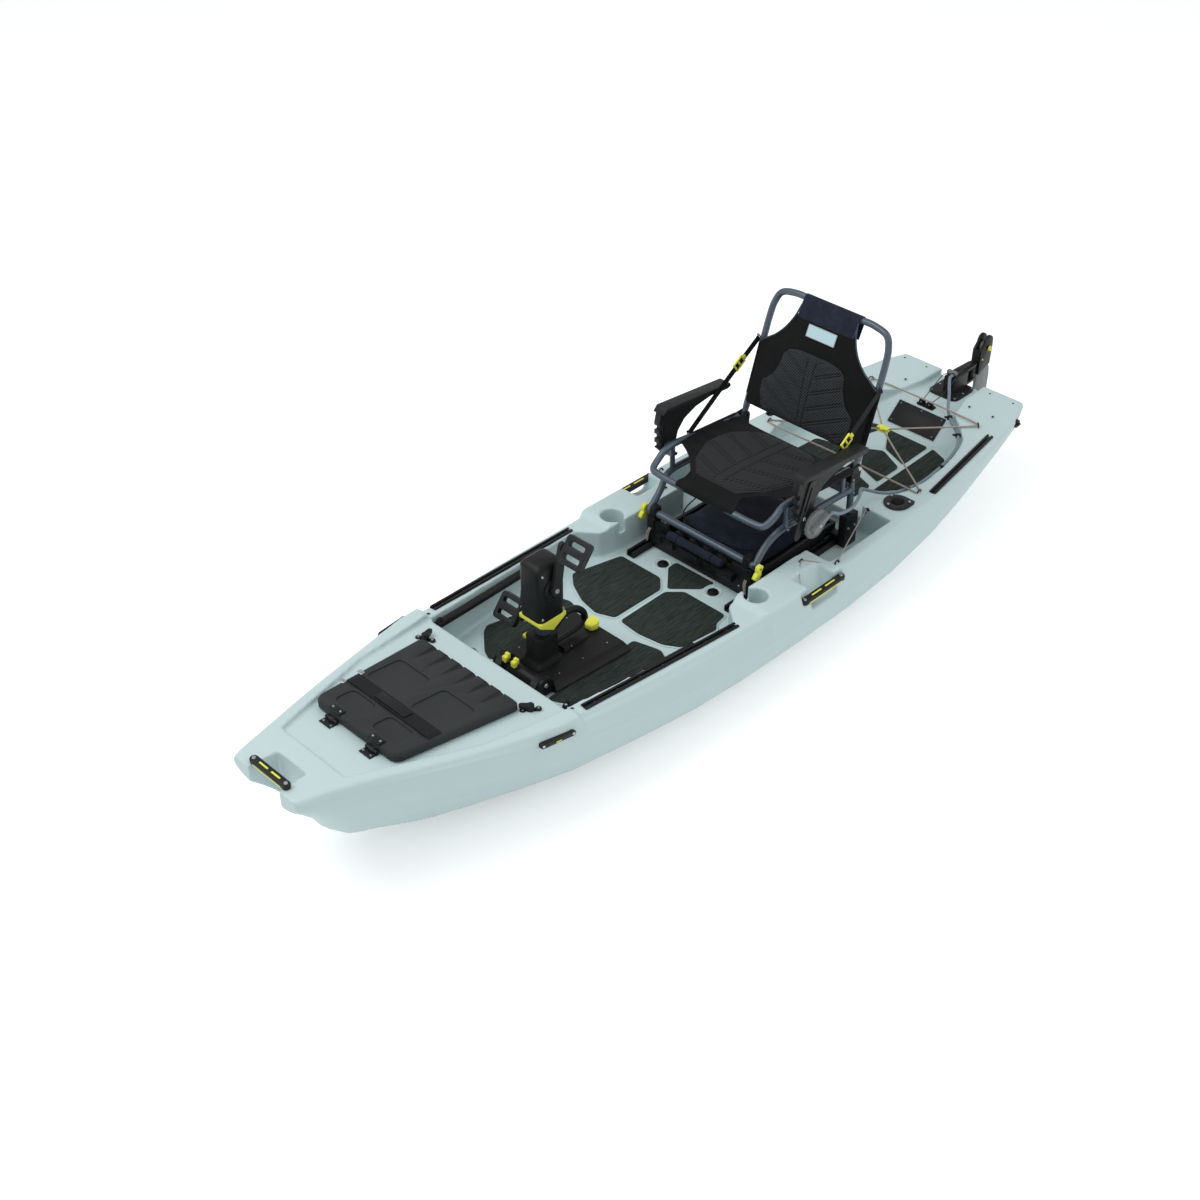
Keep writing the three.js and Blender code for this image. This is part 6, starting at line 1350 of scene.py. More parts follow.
@dataclass
class HatchDress:
    """The lid's finish with its strap, hinge plates, screws, strap plates and clamp ears.

    Attributes:
        front_y: The lid's front edge.
        front_z: The deck's height there.
        slope: How far the deck falls in each step back.
        thickness: The lid's thickness.
    """

    front_y: float = -1240.0
    front_z: float = 370.0
    slope: float = 0.112
    thickness: float = 30.0

    def top(self, x: float, y: float, rise: float = 0.0) -> Vector:
        """Returns a point over the lid's flat top."""
        return Vector((x, y, self.front_z - self.slope * (y - self.front_y) + self.thickness + rise))

    def patch(self, middle: Point, half: float, width: float, rise: float) -> list[Vector]:
        """Returns the corners of an oblong over the lid's top, from its halves across and along the hull."""
        steps = ((-half, -width), (half, -width), (half, width), (-half, width))
        return [self.top(middle[0] + x, middle[1] + y, rise) for x, y in steps]

    def build(self) -> None:
        """Builds the hatch."""
        refined("hatch_lid", Finish.LID, 1.5, 30.0)
        for side, lean in (("port", Vector((0.55, 0.83, 0))), ("starboard", Vector((0.9, 0.42, 0)))):
            refined(f"hatch_hinge_{side}", Finish.BLACK, 0.4)
            refined(f"hatch_clamp_{side}", Finish.BLACK, 1.2)
            self.clamp_ears(side, lean)
        self.strap()
        self.screws()

    def strap(self) -> None:
        """Lays the woven strap with its raised bare patch."""
        half, y, width = 178.0, -1105.0, 22.0

        def run(along: float, across: float) -> Vector:
            """Gives the strap's point, turned down over the lid's edges."""
            x = (along * 2 - 1) * half
            fall = max(abs(x) - 160.0, 0.0) * 0.45
            return self.top(math.copysign(min(abs(x), 172.0), x), y + (across * 2 - 1) * width, 3.6 - fall)

        form = Form()
        form.sheet((40, 4), run, (half * 2 * MM, width * 2 * MM), -1.6)
        form.piece("hatch_webbing", Finish.WEBBING, "hatch", ["hatch_strap"])
        form = Form()
        form.slab(self.patch((0, y), 62, 15, 4.4), up(4.5), corner=3.0, bevel=1.2)
        form.piece("hatch_strap_patch", Finish.BLACK, "hatch")

    def screws(self) -> None:
        """Adds the hinge plates, the hinge screws and the strap's end plates."""
        form = Form()
        for sign in SIDES.values():
            form.slab(self.patch((sign * 82, -1229), 24, 12, 0.1), up(4.0), corner=3.0, bevel=0.6)
        form.piece("hinge_plates_lid", Finish.BLACK, "hatch")
        for name, body, y, rise in (("hinge_screws_lid", "hatch", -1228, 4.0),
                                    ("hinge_screws_deck", "hull", -1263, 3.1 - self.thickness)):
            bolts(name, body, [(self.top(x, y, rise), (0, 0.11, 1), 4.0, 1.8) for x in (67, 97, -97, -67)])
        form = Form()
        for y in (-1136, -1074):
            form.block(self.top(-185, y - 7, 0.3), self.top(-165, y + 7, 2.8), 0.8)
            form.bolt(self.top(-172, y, 2.6), UPWARD, 3.0, 1.4)
        form.piece("lid_strap_plates", Finish.STEEL, "hatch")

    def clamp_ears(self, side: str, lean: Vector) -> None:
        """Adds the screwed ears that a clamp turns between.

        Args:
            side: The side's name.
            lean: The way from one ear to the other.
        """
        y = -812
        centre = Vector((SIDES[side] * 217, y, self.front_z - self.slope * (y - self.front_y) + 0.3))
        ends = [centre - lean * 22, centre + lean * 22]
        form = Form()
        for at in ends:
            form.rod(at, at + up(4.5), 9.5, 8.8, 20, 1.0)
        form.slab(oblong(centre, lean * 20, Vector((-lean.y, lean.x, 0)) * 7), up(1.0), corner=2)
        form.piece(f"clamp_ears_{side}", Finish.BLACK, "hull")
        bolts(f"clamp_screws_{side}", "hull", [(at + up(4.5), UPWARD, 4.2, 2.2) for at in ends])


@dataclass
class DriveDress:
    """The pedal drive's finishes, screws, clips and boss rings.

    Attributes:
        y: The mast's middle.
        deck: The tray's top.
        crank_z: The crank's height.
    """

    y: float = -556.0
    deck: float = 232.0
    crank_z: float = 504.0

    def build(self) -> None:
        """Builds the drive."""
        for node, finish, bevel in (
                ("drive_base", Finish.DRIVE, 3.0), ("drive_pivot_pin", Finish.DRIVE, 1.0),
                ("drive_column", Finish.DRIVE, 1.5), ("drive_mast", Finish.TUBE, 0.5),
                ("drive_band", Finish.YELLOW, 1.2), ("drive_head", Finish.DRIVE, 1.5),
                ("crank_arm_port", Finish.CHARCOAL, 2.0), ("crank_arm_starboard", Finish.CHARCOAL, 2.0),
                ("pedal_port", Finish.CHARCOAL, 1.6), ("pedal_starboard", Finish.CHARCOAL, 1.6),
                ("lower_leg", Finish.CHARCOAL, 1.0), ("propeller", Finish.BLACK, 0.4),
                ("crank_axle", Finish.STEEL, 0.0), ("drive_shaft", Finish.STEEL, 0.0)):
            refined(node, finish, bevel)
        self.latch()
        self.cheeks()
        self.clips()
        self.screws()
        self.boss_rings()
        self.column_trim()

    def latch(self) -> None:
        """Moulds the rear latch as a rounded wedge."""
        form = Form()
        form.slab([(x, y, 233) for x, y in ((-16, -341), (16, -341), (21, -358), (13, -377), (-13, -377),
                                            (-21, -358))], up(26), corner=5.0, bevel=3.0)
        for vert in form.bm.verts:
            if vert.co.z > 240:
                vert.co.z += (vert.co.y + 345) * 0.3
        form.piece("drive_latch_wedge", Finish.YELLOW, "drive_latch", ["drive_latch"])

    def cheeks(self) -> None:
        """Adds the tray's cheeks at the barrel's ends and the lift handle's thick grip."""
        form = Form()
        profile = ((-668, 196), (-668, 236), (-654, 254), (-630, 254), (-610, 238), (-596, 196))
        for sign in SIDES.values():
            form.slab([(sign * 84, y, z) for y, z in profile], (sign * 13, 0, 0), corner=9.0, bevel=2.5)
        grip = ((-508, 322), (-470, 346), (-428, 340), (-394, 308), (-388, 284))
        form.run([(0, y, z) for y, z in grip], 10.5, 5, 16)
        form.piece("drive_tray_cheeks", Finish.DRIVE, "hull")

    def clips(self) -> None:
        """Adds the two barrel clips, the side clip and the barrel clips' pin."""
        form = Form()
        for x in (-56, -20):
            form.block((x - 8, -661, 243), (x + 8, -648, 262), 2.0)
            form.block((x - 8, -650, 250), (x + 8, -640, 268), 2.2)
        form.piece("barrel_clips", Finish.YELLOW, "hull")
        form = Form()
        form.block((-128, -521, 214), (-96, -503, 226), 2.5)
        form.block((-122, -517, 224), (-104, -507, 232), 2.0)
        form.piece("side_clip", Finish.YELLOW, "hull")
        form = Form()
        form.rod((-44, -652, 249), (-32, -652, 249), 5.0, segments=14, bevel=0.8)
        form.piece("barrel_clip_pin", Finish.BLACK, "hull")

    def screws(self) -> None:
        """Adds the silver screws on the head, the cheeks and the tray."""
        heads = []
        for sign in SIDES.values():
            out = (sign, 0, 0)
            heads += [((sign * 44, y, z), out, 4.4, 1.8)
                      for y, z in ((-594, 562), (-518, 562), (-596, 414), (-516, 414))]
            heads.append(((sign * 97, -640, 232), out, 8.0, 3.5))
            heads += [((sign * 84, y, self.deck), UPWARD, 2.8, 1.2) for y in (-625, -575, -480, -380)]
            heads.append(((sign * 26, -470, 240), (sign, 0, 0.3), 4.2, 2.0))
        bolts("drive_screws", "hull", heads)
        bolts("crank_bolts", "crank", [((sign * 62.5, self.y, self.crank_z), (sign, 0, 0), 7.5, 2.5)
                                       for sign in SIDES.values()])

    def boss_rings(self) -> None:
        """Adds the turned rings round the crank boss on both faces of the head."""
        form = Form()
        for sign in SIDES.values():
            for radius, x, thick in ((34, 48.6, 1.2), (27, 49.0, 0.9), (20, 49.2, 0.9)):
                form.ring((sign * x, self.y, self.crank_z), (0, radius, 0), (0, 0, radius), thick, 40, 6)
        form.piece("boss_rings", Finish.DRIVE, "hull")

    def column_trim(self) -> None:
        """Adds the ribs and rivets on the column."""
        form = Form()
        for _, middle in mirrored([(30, -536, 274 + index * 9) for index in range(5)]):
            half = Vector((1.4, 9, 1.6))
            form.block(middle - half, middle + half, 0.7)
        form.piece("column_ribs", Finish.DRIVE, "hull")
        bolts("column_rivets", "hull", [(at, (sign, 0, 0), 3.2, 1.4) for sign, at in mirrored(
            ((31, -592, 268), (31, -592, 318), (31, -532, 318)))], Finish.BLACK)


@dataclass
class SeatDress:
    """The seat's tubes, sling, cushion, bag, roll, clamps and straps.

    Attributes:
        tube: The radius of its tubes.
        tube_x: Where its side tubes run.
        cushion_widths: The cushion's half width at each place along the seat.
        hollow: The height of the sling's top at each place along the seat.
    """

    tube: float = 11.0
    tube_x: float = 234.0
    cushion_widths: tuple[tuple[float, float], ...] = (
        (178.0, 84.0), (240.0, 142.0), (340.0, 183.0), (400.0, 184.0), (450.0, 176.0), (490.0, 150.0),
        (525.0, 112.0), (540.0, 80.0))
    hollow: tuple[tuple[float, float], ...] = (
        (134, 464.8), (150, 470), (165, 478), (185, 485), (215, 488), (300, 485), (400, 477), (500, 467),
        (545, 462))

    def build(self) -> None:
        """Builds the seat."""
        self.frame_tubes()
        self.sling()
        self.cushion()
        self.bag()
        self.roll()
        self.base_trim()
        self.toggles()
        refined("seat_base", Finish.BLACK, 1.5)
        for side, sign in SIDES.items():
            self.cam_clamp(side, sign)
            refined(f"armrest_{side}", Finish.CHARCOAL, 2.5)
            self.arm_trim(side, sign)
            self.side_strap(side, sign)

    def tube_z(self, y: float) -> float:
        """Returns the height of the side tubes' middle line."""
        return 495.0 - (y - 217.0) * 27.0 / 331.0

    def frame_tubes(self) -> None:
        """Bends the seat's tubes and welds on the rear clevises and lugs."""
        form = Form()
        hoop = ((228, 548, 468), (234, 382.5, 481.5), (234, 217, 495), (234, 174, 472), (224, 140.7, 454.8),
                (194, 134, 452))
        form.run(symmetric(hoop, [(0, 134, 452)]), self.tube, 7, 18)
        form.rod((-217, 120, 317), (217, 120, 317), 12, segments=22)
        form.rod((-228, 515, 432.6), (228, 515, 432.6), 10)
        for sign in SIDES.values():
            leg = ((217, 120, 317), (217, 168, 366), (228, 210, 402), (232, 378, 402), (232, 557, 392))
            form.run(sided(sign, leg), self.tube, 7, 18)
            for start, end, radius, segments in (((232, 239, 402), (234, 239, 489.5), 8.8, 16),
                                                 ((232, 515, 392), (230.8, 515, 468), 8.8, 16),
                                                 ((232, 566, 306.3), (228, 566, 444), self.tube, 18),
                                                 ((223, 246, 464), (245, 246, 464), 6.0, 14),
                                                 ((234, 246, 464), (294, 246, 464), 6.0, 16),
                                                 ((217, 120, 317), (243, 120, 317), 4.0, 14)):
                form.rod(*sided(sign, (start, end)), radius, segments=segments)
            form.block((sign * 239.5, 234, 452), (sign * 266, 258, 489), 1.5)
        form.piece("seat_tubes", Finish.TUBE, "seat", ["seat_frame"], 40.0)
        form = Form()
        profile = ((546, 440), (592, 440), (594, 466), (588, 478), (572, 478), (546, 476))
        for sign in SIDES.values():
            form.block((sign * 214, 546, 424), (sign * 242, 592, 444), 2.0)
            for inner, outer in ((214, 221.4), (234.6, 242)):
                low = min(sign * inner, sign * outer)
                form.slab([(low, y, z) for y, z in profile], (outer - inner, 0, 0), corner=4.0, bevel=0.8)
        form.piece("seat_clevises", Finish.BLACK, "seat")
        form = Form()
        for sign in SIDES.values():
            form.rod((sign * 214, 580, 466), (sign * 247, 580, 466), 5.0, segments=16)
            for x, y, z, radius, height in ((242, 580, 466, 8.0, 4.5), (242, 556, 434, 4.5, 2.5),
                                            (294, 246, 464, 8.0, 3.0), (241, 566, 380, 4.0, 2.5),
                                            (241, 566, 340, 4.0, 2.5), (241, 240, 402, 4.0, 2.5)):
                form.bolt((sign * x, y, z), (sign, 0, 0), radius, height)
        form.piece("seat_bolts", Finish.STEEL, "seat")

    def level(self, x: float, y: float) -> float:
        """Returns the height of the sling's top at a place."""
        inner = max(1 - abs(x) / (self.tube_x - 1.0), 0.0)
        low = table_at(self.hollow, y)
        return low + (self.tube_z(y) + self.tube + 1.2 - low) * math.exp(-8.0 * inner)

    def sling(self) -> None:
        """Stretches one cloth from the front tube between the side tubes and wraps its edges round them."""
        radius, half = self.tube + 1.2, self.tube_x - 1.0
        wrap, reach = radius * 4.2, 411.0
        widths = ((134, 114), (150, 106), (165, 102), (180, 104), (200, 122), (220, 142), (240, 166),
                  (255, 190), (268, 222), (274, half), (288, half + radius * 3.9), (545, half + radius * 3.9))

        def cloth(along: float, across: float) -> Point:
            """Gives the cloth's point: round the front tube, then back over the seat."""
            s = along * (reach + wrap) - wrap
            share = across * 2 - 1
            if s < 0:
                return (share * 114, 134 + radius * math.sin(s / radius), 452 + radius * math.cos(s / radius))
            y = 134 + s
            out = share * table_at(widths, y)
            off = abs(out)
            if off > half:
                angle = (off - half) / radius
                x = self.tube_x + radius * math.sin(angle)
                return (math.copysign(x, out), y, self.tube_z(y) + radius * math.cos(angle))
            return (out, y, self.level(out, y) + 0.7 * math.sin(y * 0.09 + off * 0.05) * (off / half) ** 4)

        form = Form()
        length = (reach + wrap) * MM
        area = form.sheet((110, 96), cloth, (length, 0.56), -1.4)
        made = form.piece("seat_sling", Finish.SLEEVE, "seat", sharp=70.0)
        form = Form()
        for sign in SIDES.values():
            edge = [(sign * out, y, self.level(out, y)) for y, out in widths[:9]]
            form.run([(sign * 114, 123.5, 458), *edge], 2.2)
        form.piece("seat_sling_binding", Finish.WEBBING, "seat")

    def cushion(self) -> None:
        """Pads the seat: a crowned ribbed field with paired chevron seams and a sewn middle band."""
        rough = Form()
        half = [(table_at(self.cushion_widths, y), y, -2.0)
                for y in (178, 200, 240, 290, 340, 400, 450, 490, 525, 540)]
        rough.slab(symmetric(half), up(9.0), corner=5.0)
        form = rough.inflated(4.5, 4.0, lambda co: co.z < -1.0)
        form.smooth(3)
        form.halve()
        for vert in form.bm.verts:
            x, y, z = vert.co
            vert.co.z += self.level(x, y) + 0.3
            if z > 2.5:
                rim = min(table_at(self.cushion_widths, y) - abs(x), y - 178, 540 - y)
                share = min(max((rim - 5.0) / 8.0, 0.0), 1.0)
                vert.co.z -= 4.8 * channel(x, y - 39.0, 80.0, 0.35, 14.0, 17.0) * share
                vert.co.z -= 2.2 * max(1 - abs(rim - 6) / 4, 0)
        form.piece("seat_cushion_pad", Finish.SEAT_MESH, "seat", ["seat_cushion"], 80.0)

    def bag(self) -> None:
        """Fills the tray with the soft navy bag and sews the piping round its top."""
        rough = Form()
        rough.block((-146, 182, 214), (146, 516, 292), 14.0)
        form = rough.inflated(7.0, 7.0, lambda co: co.z < 216.0)
        form.smooth(4)
        for vert in form.bm.verts:
            x, y, z = vert.co
            if z > 270:
                z += 1.4 * math.sin(x * 0.05 + y * 0.021) + 1.1 * math.sin(y * 0.06 - x * 0.018)
            vert.co = (min(max(x, -150.0), 150.0), min(max(y, 178.0), 520.0), min(max(z, 213.0), 301.5))
        form.piece("seat_bag", Finish.DENIM, "seat", ["under_seat_bag"], 70.0)
        form = Form()
        corners = ((138, 349), (138, 506), (-138, 506), (-138, 192), (138, 192), (138, 349))
        form.tube(even_path(smooth_path([(x, y, 298.5) for x, y in corners], 12), 6), 2.2)
        form.piece("seat_bag_piping", Finish.SLEEVE, "seat")

    def roll(self) -> None:
        """Rolls the pouch up in front of the tray and ties it."""
        height, depth = 283.5, 94.7

        def skin(along: float, around: float) -> Point:
            """Gives the roll's point, with soft folds and pinched ends."""
            x = (along * 2 - 1) * 112.0
            angle = around * TURN
            pinch = 1 - 0.35 * max(abs(along * 2 - 1) - 0.96, 0) / 0.04
            fold = 1 + 0.02 * math.sin(3 * angle + x * 0.06) + 0.02 * math.sin(x * 0.11 + 2 * angle)
            radius = 13.0 * pinch * fold
            return (x, depth + radius * math.cos(angle), height + radius * math.sin(angle))

        form = Form()
        form.close(form.surface((72, 24), skin, (0.25, 0.1)), 0.01, 24)
        form.piece("pouch_roll_cloth", Finish.DENIM, "seat", ["pouch_roll"], 60.0)
        form = Form()
        for x in (-70, 70):
            form.ring((x, depth, height), (0, 13.4, 0), (0, 0, 13.4), 1.6, 20, 6)
        form.piece("pouch_roll_ties", Finish.SLEEVE, "seat")

    def base_trim(self) -> None:
        """Adds the crossbar's blocks, the fascia's notched ledge and the tray's screws."""
        form = Form()
        for sign in SIDES.values():
            form.block((sign * 176, 100, 300), (sign * 208, 140, 305), 2.0)
            form.block((sign * 180, 104, 296), (sign * 204, 136, 340), 3.0)
        form.piece("crossbar_blocks", Finish.BLACK, "seat")
        form = Form()
        front, floor, radius = 84.0, 240.0, 13.0
        outline = [(-158.0, 107.5, floor), (-158.0, front, floor)]
        for x in (-124, -71, 32, 82):
            outline += arc((x, front, floor), (-radius, 0, 0), (0, radius, 0), 8, HALF_TURN)
        outline += [(158.0, front, floor), (158.0, 107.5, floor)]
        form.slab(outline, up(26.0), bevel=1.0)
        form.piece("fascia_ledge", Finish.BLACK, "seat")
        heads = [((sign * x, 112, 222), (0, -1, 0), 4.0, 2.0)
                 for sign in SIDES.values() for x in (48, 108, 168)]
        heads += [(at, (sign, 0, 0), 4.5, 2.5) for sign, at in mirrored(((251, 544, 260), (251, 576, 260)))]
        bolts("tray_screws", "seat", heads)

    def cam_clamp(self, side: str, sign: float) -> None:
        """Moulds the two-lobed cam lever at an end of the front crossbar.

        Args:
            side: The side's name.
            sign: The side's sign on X.
        """
        form = Form()
        lobes = ((-9, 11), (8, 12), (13, 4), (7, -5), (3, -12), (6, -22), (-3, -34), (-17, -36), (-27, -28),
                 (-20, -17), (-11, -10), (-14, -2))
        form.slab([(sign * 229.5, 120 + y, 317 + z) for y, z in lobes], (sign * 13.5, 0, 0), corner=4.0,
                  bevel=2.4)
        form.piece(f"cam_clamp_{side}", Finish.YELLOW, f"seat_clamp_{side}", [f"seat_clamp_{side}"])

    def arm_trim(self, side: str, sign: float) -> None:
        """Adds the two screws through an armrest's rear end.

        Args:
            side: The side's name.
            sign: The side's sign on X.
        """
        form = Form()
        for z in (500, 540):
            form.rod((sign * 277.5 - 11, 234, z), (sign * 277.5 + 11, 234, z), 5.0, segments=14)
        form.piece(f"armrest_screws_{side}", Finish.BLACK, f"armrest_{side}")

    def side_strap(self, side: str, sign: float) -> None:
        """Runs the webbing strap from the seat tube to the back tube with its ladder buckle and loops.

        Args:
            side: The side's name.
            sign: The side's sign on X.
        """
        low, high = sided(sign, ((247.4, 330, 492), (241.7, 650, 717)))
        way = (high - low).normalized()
        across = Vector((0, -way.z, way.y))

        def webbing(along: float, over: float) -> Vector:
            """Gives the strap's point, slightly bowed outwards."""
            bow = math.sin(math.pi * along) * 2.0
            return low.lerp(high, along) + across * (over - 0.5) * 25 + Vector((sign * bow, 0, 0))

        form = Form()
        form.sheet((40, 3), webbing, ((high - low).length * MM, 0.025), 1.6)
        strap = form.piece(f"side_webbing_{side}", Finish.WEBBING, "", [f"side_strap_{side}"], 60.0)
        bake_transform(strap)
        share = 0.72 if side == "starboard" else 0.5
        at = low.lerp(high, share) + Vector((sign * 2.0, 0, 0))
        turn = Matrix.Translation(at) @ Matrix((Vector(OUTWARD), way, across)).transposed().to_4x4()
        form = Form()
        for y0, y1 in ((-24, -17), (-4, 3), (17, 24)):
            form.block((-3.2, y0, -15), (3.2, y1, 15), 1.6, turn)
        for z in (-15, 15):
            form.block((-3.0, -24, z - 3), (3.0, 24, z + 3), 1.6, turn)
        form.block((0.5, 20, -9), (4.5, 32, 9), 1.5, turn)
        buckle = form.piece(f"side_buckle_{side}", Finish.YELLOW, "")
        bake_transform(buckle)
        for end, body in ((low, "seat"), (high, "back")):
            form = Form()
            form.ring(end + Vector((sign * 0.4, 0, 0)), way * 3.4, across * 15, 1.8)
            form.piece(f"side_strap_loop_{side}_{body}", Finish.BLACK, body)

    def toggles(self) -> None:
        """Hangs the cord pulls with their toggles at the tray's front corners."""
        for side, sign in SIDES.items():
            for strand, out in (("inner", 0.0), ("outer", 6.0)):
                points = sided(sign, ((196 + out, 105, 262), (197 + out, 98, 252), (199 + out, 96, 238),
                                      (202 + out * 0.6, 97, 222), (205 + out * 0.3, 99, 211)))
                cord(f"pull_cord_{side}_{strand}", points, 2.0, Finish.BUNGEE, "seat",
                     step=3.0)
            form = Form()
            form.rod((sign * 206, 99, 214), (sign * 208, 99, 196), 6.0, 4.2, 16, 1.2)
            form.piece(f"pull_toggle_{side}", Finish.BLACK, "seat")


@dataclass
class BackDress:
    """The reclining back: its tube, sling, padded field, denim band, piping and label.

    Attributes:
        tube: The tube's radius.
        half: Where its sides run.
        height: Where its top runs.
        foot: The height of the pad's lower edge.
        brow: The height of the pad's upper edge.
        pad_widths: The pad's half width at each height.
    """

    tube: float = 11.0
    half: float = 228.0
    height: float = 435.0
    foot: float = 45.0
    brow: float = 284.0
    pad_widths: tuple[tuple[float, float], ...] = (
        (45.0, 150.0), (60.0, 165.0), (100.0, 180.0), (140.0, 181.0), (172.0, 146.0), (212.0, 127.0),
        (255.0, 120.0), (274.0, 100.0), (284.0, 60.0))

    def piece(self, form: Form, name: str, finish: Finish, replaced: Sequence[str] = (),
              sharp: float = 38.0) -> bpy.types.Object:
        """Leans a form back into its place and ends it as a finished piece.

        Args:
            form: The form, as the upright back holds it.
            name: The piece's name.
            finish: Its finish.
            replaced: CAD nodes that it stands for.
            sharp: Edges that turn by more degrees than this stay sharp.

        Returns:
            The piece.
        """
        form.move(Matrix.Translation((0, 580, 466)) @ Matrix.Rotation(-0.3, 4, "X"))
        return form.piece(name, finish, "back", replaced, sharp)

    def outline(self) -> list[tuple[float, float]]:
        """Returns the cloth's half width at each height."""
        shares = ((0.1, 0.9), (0.125, 0.99), (0.17, 1.0), (0.585, 1.0), (0.62, 0.87), (0.68, 0.72),
                  (0.77, 0.58), (0.87, 0.49), (0.95, 0.46), (1.0, 0.455))
        return [(high * self.height, across * (self.half + self.tube)) for high, across in shares]

    def build(self) -> None:
        """Builds the back."""
        self.tubes()
        self.sling()
        self.field()
        self.band()
        self.piping()
        self.label()
        self.strap_rings()

    def tubes(self) -> None:
        """Bends the back's tube and sets its tongues."""
        shares = ((1, 0.05), (1, 0.4), (1, 0.76), (0.975, 0.885), (0.9, 0.965), (0.66, 0.999), (0.44, 1))
        half = [(self.half * across, 0, self.height * high) for across, high in shares]
        form = Form()
        form.run(symmetric(half, [(0, 0, self.height)]), self.tube, 8, 20)
        profile = ((-9, -10), (9, -10), (10, 0), (9, 27), (-9, 27), (-10, 0))
        for sign in SIDES.values():
            form.slab([(sign * self.half - 6.2, y, z) for y, z in profile], (12.4, 0, 0), corner=4.0,
                      bevel=0.8)
        self.piece(form, "back_tube", Finish.TUBE, ["back_frame"], 40.0)

    def bulge(self, x: float, z: float) -> float:
        """Returns how far the cloth stands forward of the tubes at a place."""
        table = ((40, 2.0), (120, 12.0), (200, 19.0), (300, 21.0), (360, 17.0), (410, 8.0), (436, 0.0))
        return table_at(table, z) * math.cos(QUARTER * min(abs(x) / self.half, 1.0))

    def sling(self) -> None:
        """Stretches the black cloth between the tubes and wraps its sides round them."""
        radius = self.tube + 1.4
        table = self.outline()
        low, high = table[0][0], self.height - 52

        def cloth(along: float, across: float) -> Point:
            """Gives the cloth's point."""
            z = low + (high - low) * along
            wrapped = 0.165 * self.height <= z <= 0.59 * self.height
            total = self.half + radius * 2.7 if wrapped else min(table_at(table, z), self.half)
            s = (across * 2 - 1) * total
            sign, off = math.copysign(1.0, s), abs(s)
            if off > self.half:
                angle = (off - self.half) / radius
                return (sign * (self.half + radius * math.sin(angle)), -radius * math.cos(angle), z)
            return (s, -radius - self.bulge(off, z), z)

        form = Form()
        form.sheet((80, 80), cloth, (0.3, 0.5), -1.6)
        made = self.piece(form, "back_sling", Finish.SLEEVE, ["back_panel"], 60.0)

    def field(self) -> None:
        """Pads the back: the ribbed field with chevron channels that meet low in the middle."""
        rough = Form()
        rough.slab(symmetric([(across, 1.0, z) for z, across in self.pad_widths]), (0, -8.0, 0), corner=5.0)
        form = rough.inflated(4.0, 4.0, lambda co: co.y > 0.2)
        form.smooth(3)
        form.halve()
        for vert in form.bm.verts:
            x, y, z = vert.co
            vert.co.y -= self.tube + 2.4 + self.bulge(x, z)
            if y < -3.0:
                rim = min(table_at(self.pad_widths, z) - abs(x), z - self.foot, self.brow - z)
                share = min(max((rim - 5.0) / 7.0, 0.0), 1.0)
                spread = 8.0 + 9.0 * (z - self.foot) / (self.brow - self.foot)
                seams = channel(x, z - 47.0, 52.0, 0.5, 9.0, spread)
                vert.co.y += 4.6 * seams * share + 2.0 * max(1 - abs(rim - 6) / 4, 0)
        self.piece(form, "back_pad", Finish.BACK_MESH, sharp=80.0)

    def band(self) -> None:
        """Folds the navy band over the top tube."""
        radius = self.tube + 2.4
        front, rear, over = 58.0, 62.0, radius * math.pi

        def cloth(along: float, across: float) -> Point:
            """Gives the band's point, up the front, over the tube and down behind."""
            s = along * (front + over + rear)
            x = (across * 2 - 1) * (108 + 2.0 * math.sin(along * math.pi))
            if s < front:
                z = self.height - front + s
                return (x, -radius - self.bulge(x, z), z)
            if s < front + over:
                angle = (s - front) / radius
                return (x, -radius * math.cos(angle), self.height + radius * math.sin(angle))
            drop = s - front - over
            return (x, radius - 4.0 * drop / rear, self.height - drop)

        form = Form()
        form.sheet((60, 40), cloth, (0.16, 0.216), 1.4)
        made = self.piece(form, "back_band", Finish.DENIM, sharp=70.0)
        (front + rear + over) * MM

    def piping(self) -> None:
        """Binds the cut-outs and the band's edges."""
        form = Form()
        for sign in SIDES.values():
            edge = [(min(width, self.half), -13.2 - self.bulge(width, z), z) for z, width in self.outline()
                    if 250 < z < self.height - 30]
            hem = [(108, -14.2 - self.bulge(108, self.height - drop), self.height - drop)
                   for drop in (56, 40, 25, 20, 10)]
            form.run(sided(sign, [(236, -8, 252), *edge, hem[3]]), 2.6)
            form.run(sided(sign, [*hem[:3], hem[4]]), 1.6)
        self.piece(form, "back_piping", Finish.PIPING)

    def label(self) -> None:
        """Sews the bare label on, over its bright rim."""
        for name, finish, grow, rise in (("back_label_rim", Finish.STEEL, 2.5, 2.9),
                                         ("back_label", Finish.LABEL, 0.0, 3.6)):
            corners = ((-53 - grow, 333 - grow), (53 + grow, 333 - grow), (53 + grow, 368 + grow),
                       (-53 - grow, 368 + grow))
            form = Form()
            form.slab([(x, -13.4 - self.bulge(20, z), z) for x, z in corners], (0, -rise, 0), corner=2.0)
            self.piece(form, name, finish)

    def strap_rings(self) -> None:
        """Puts the rings that hold the side straps round the tube."""
        form = Form()
        for sign in SIDES.values():
            form.ring((sign * self.half, 0, 250.0), (13.4, 0, 0), (0, 13.4, 0), 2.6)
        self.piece(form, "back_strap_rings", Finish.BLACK)


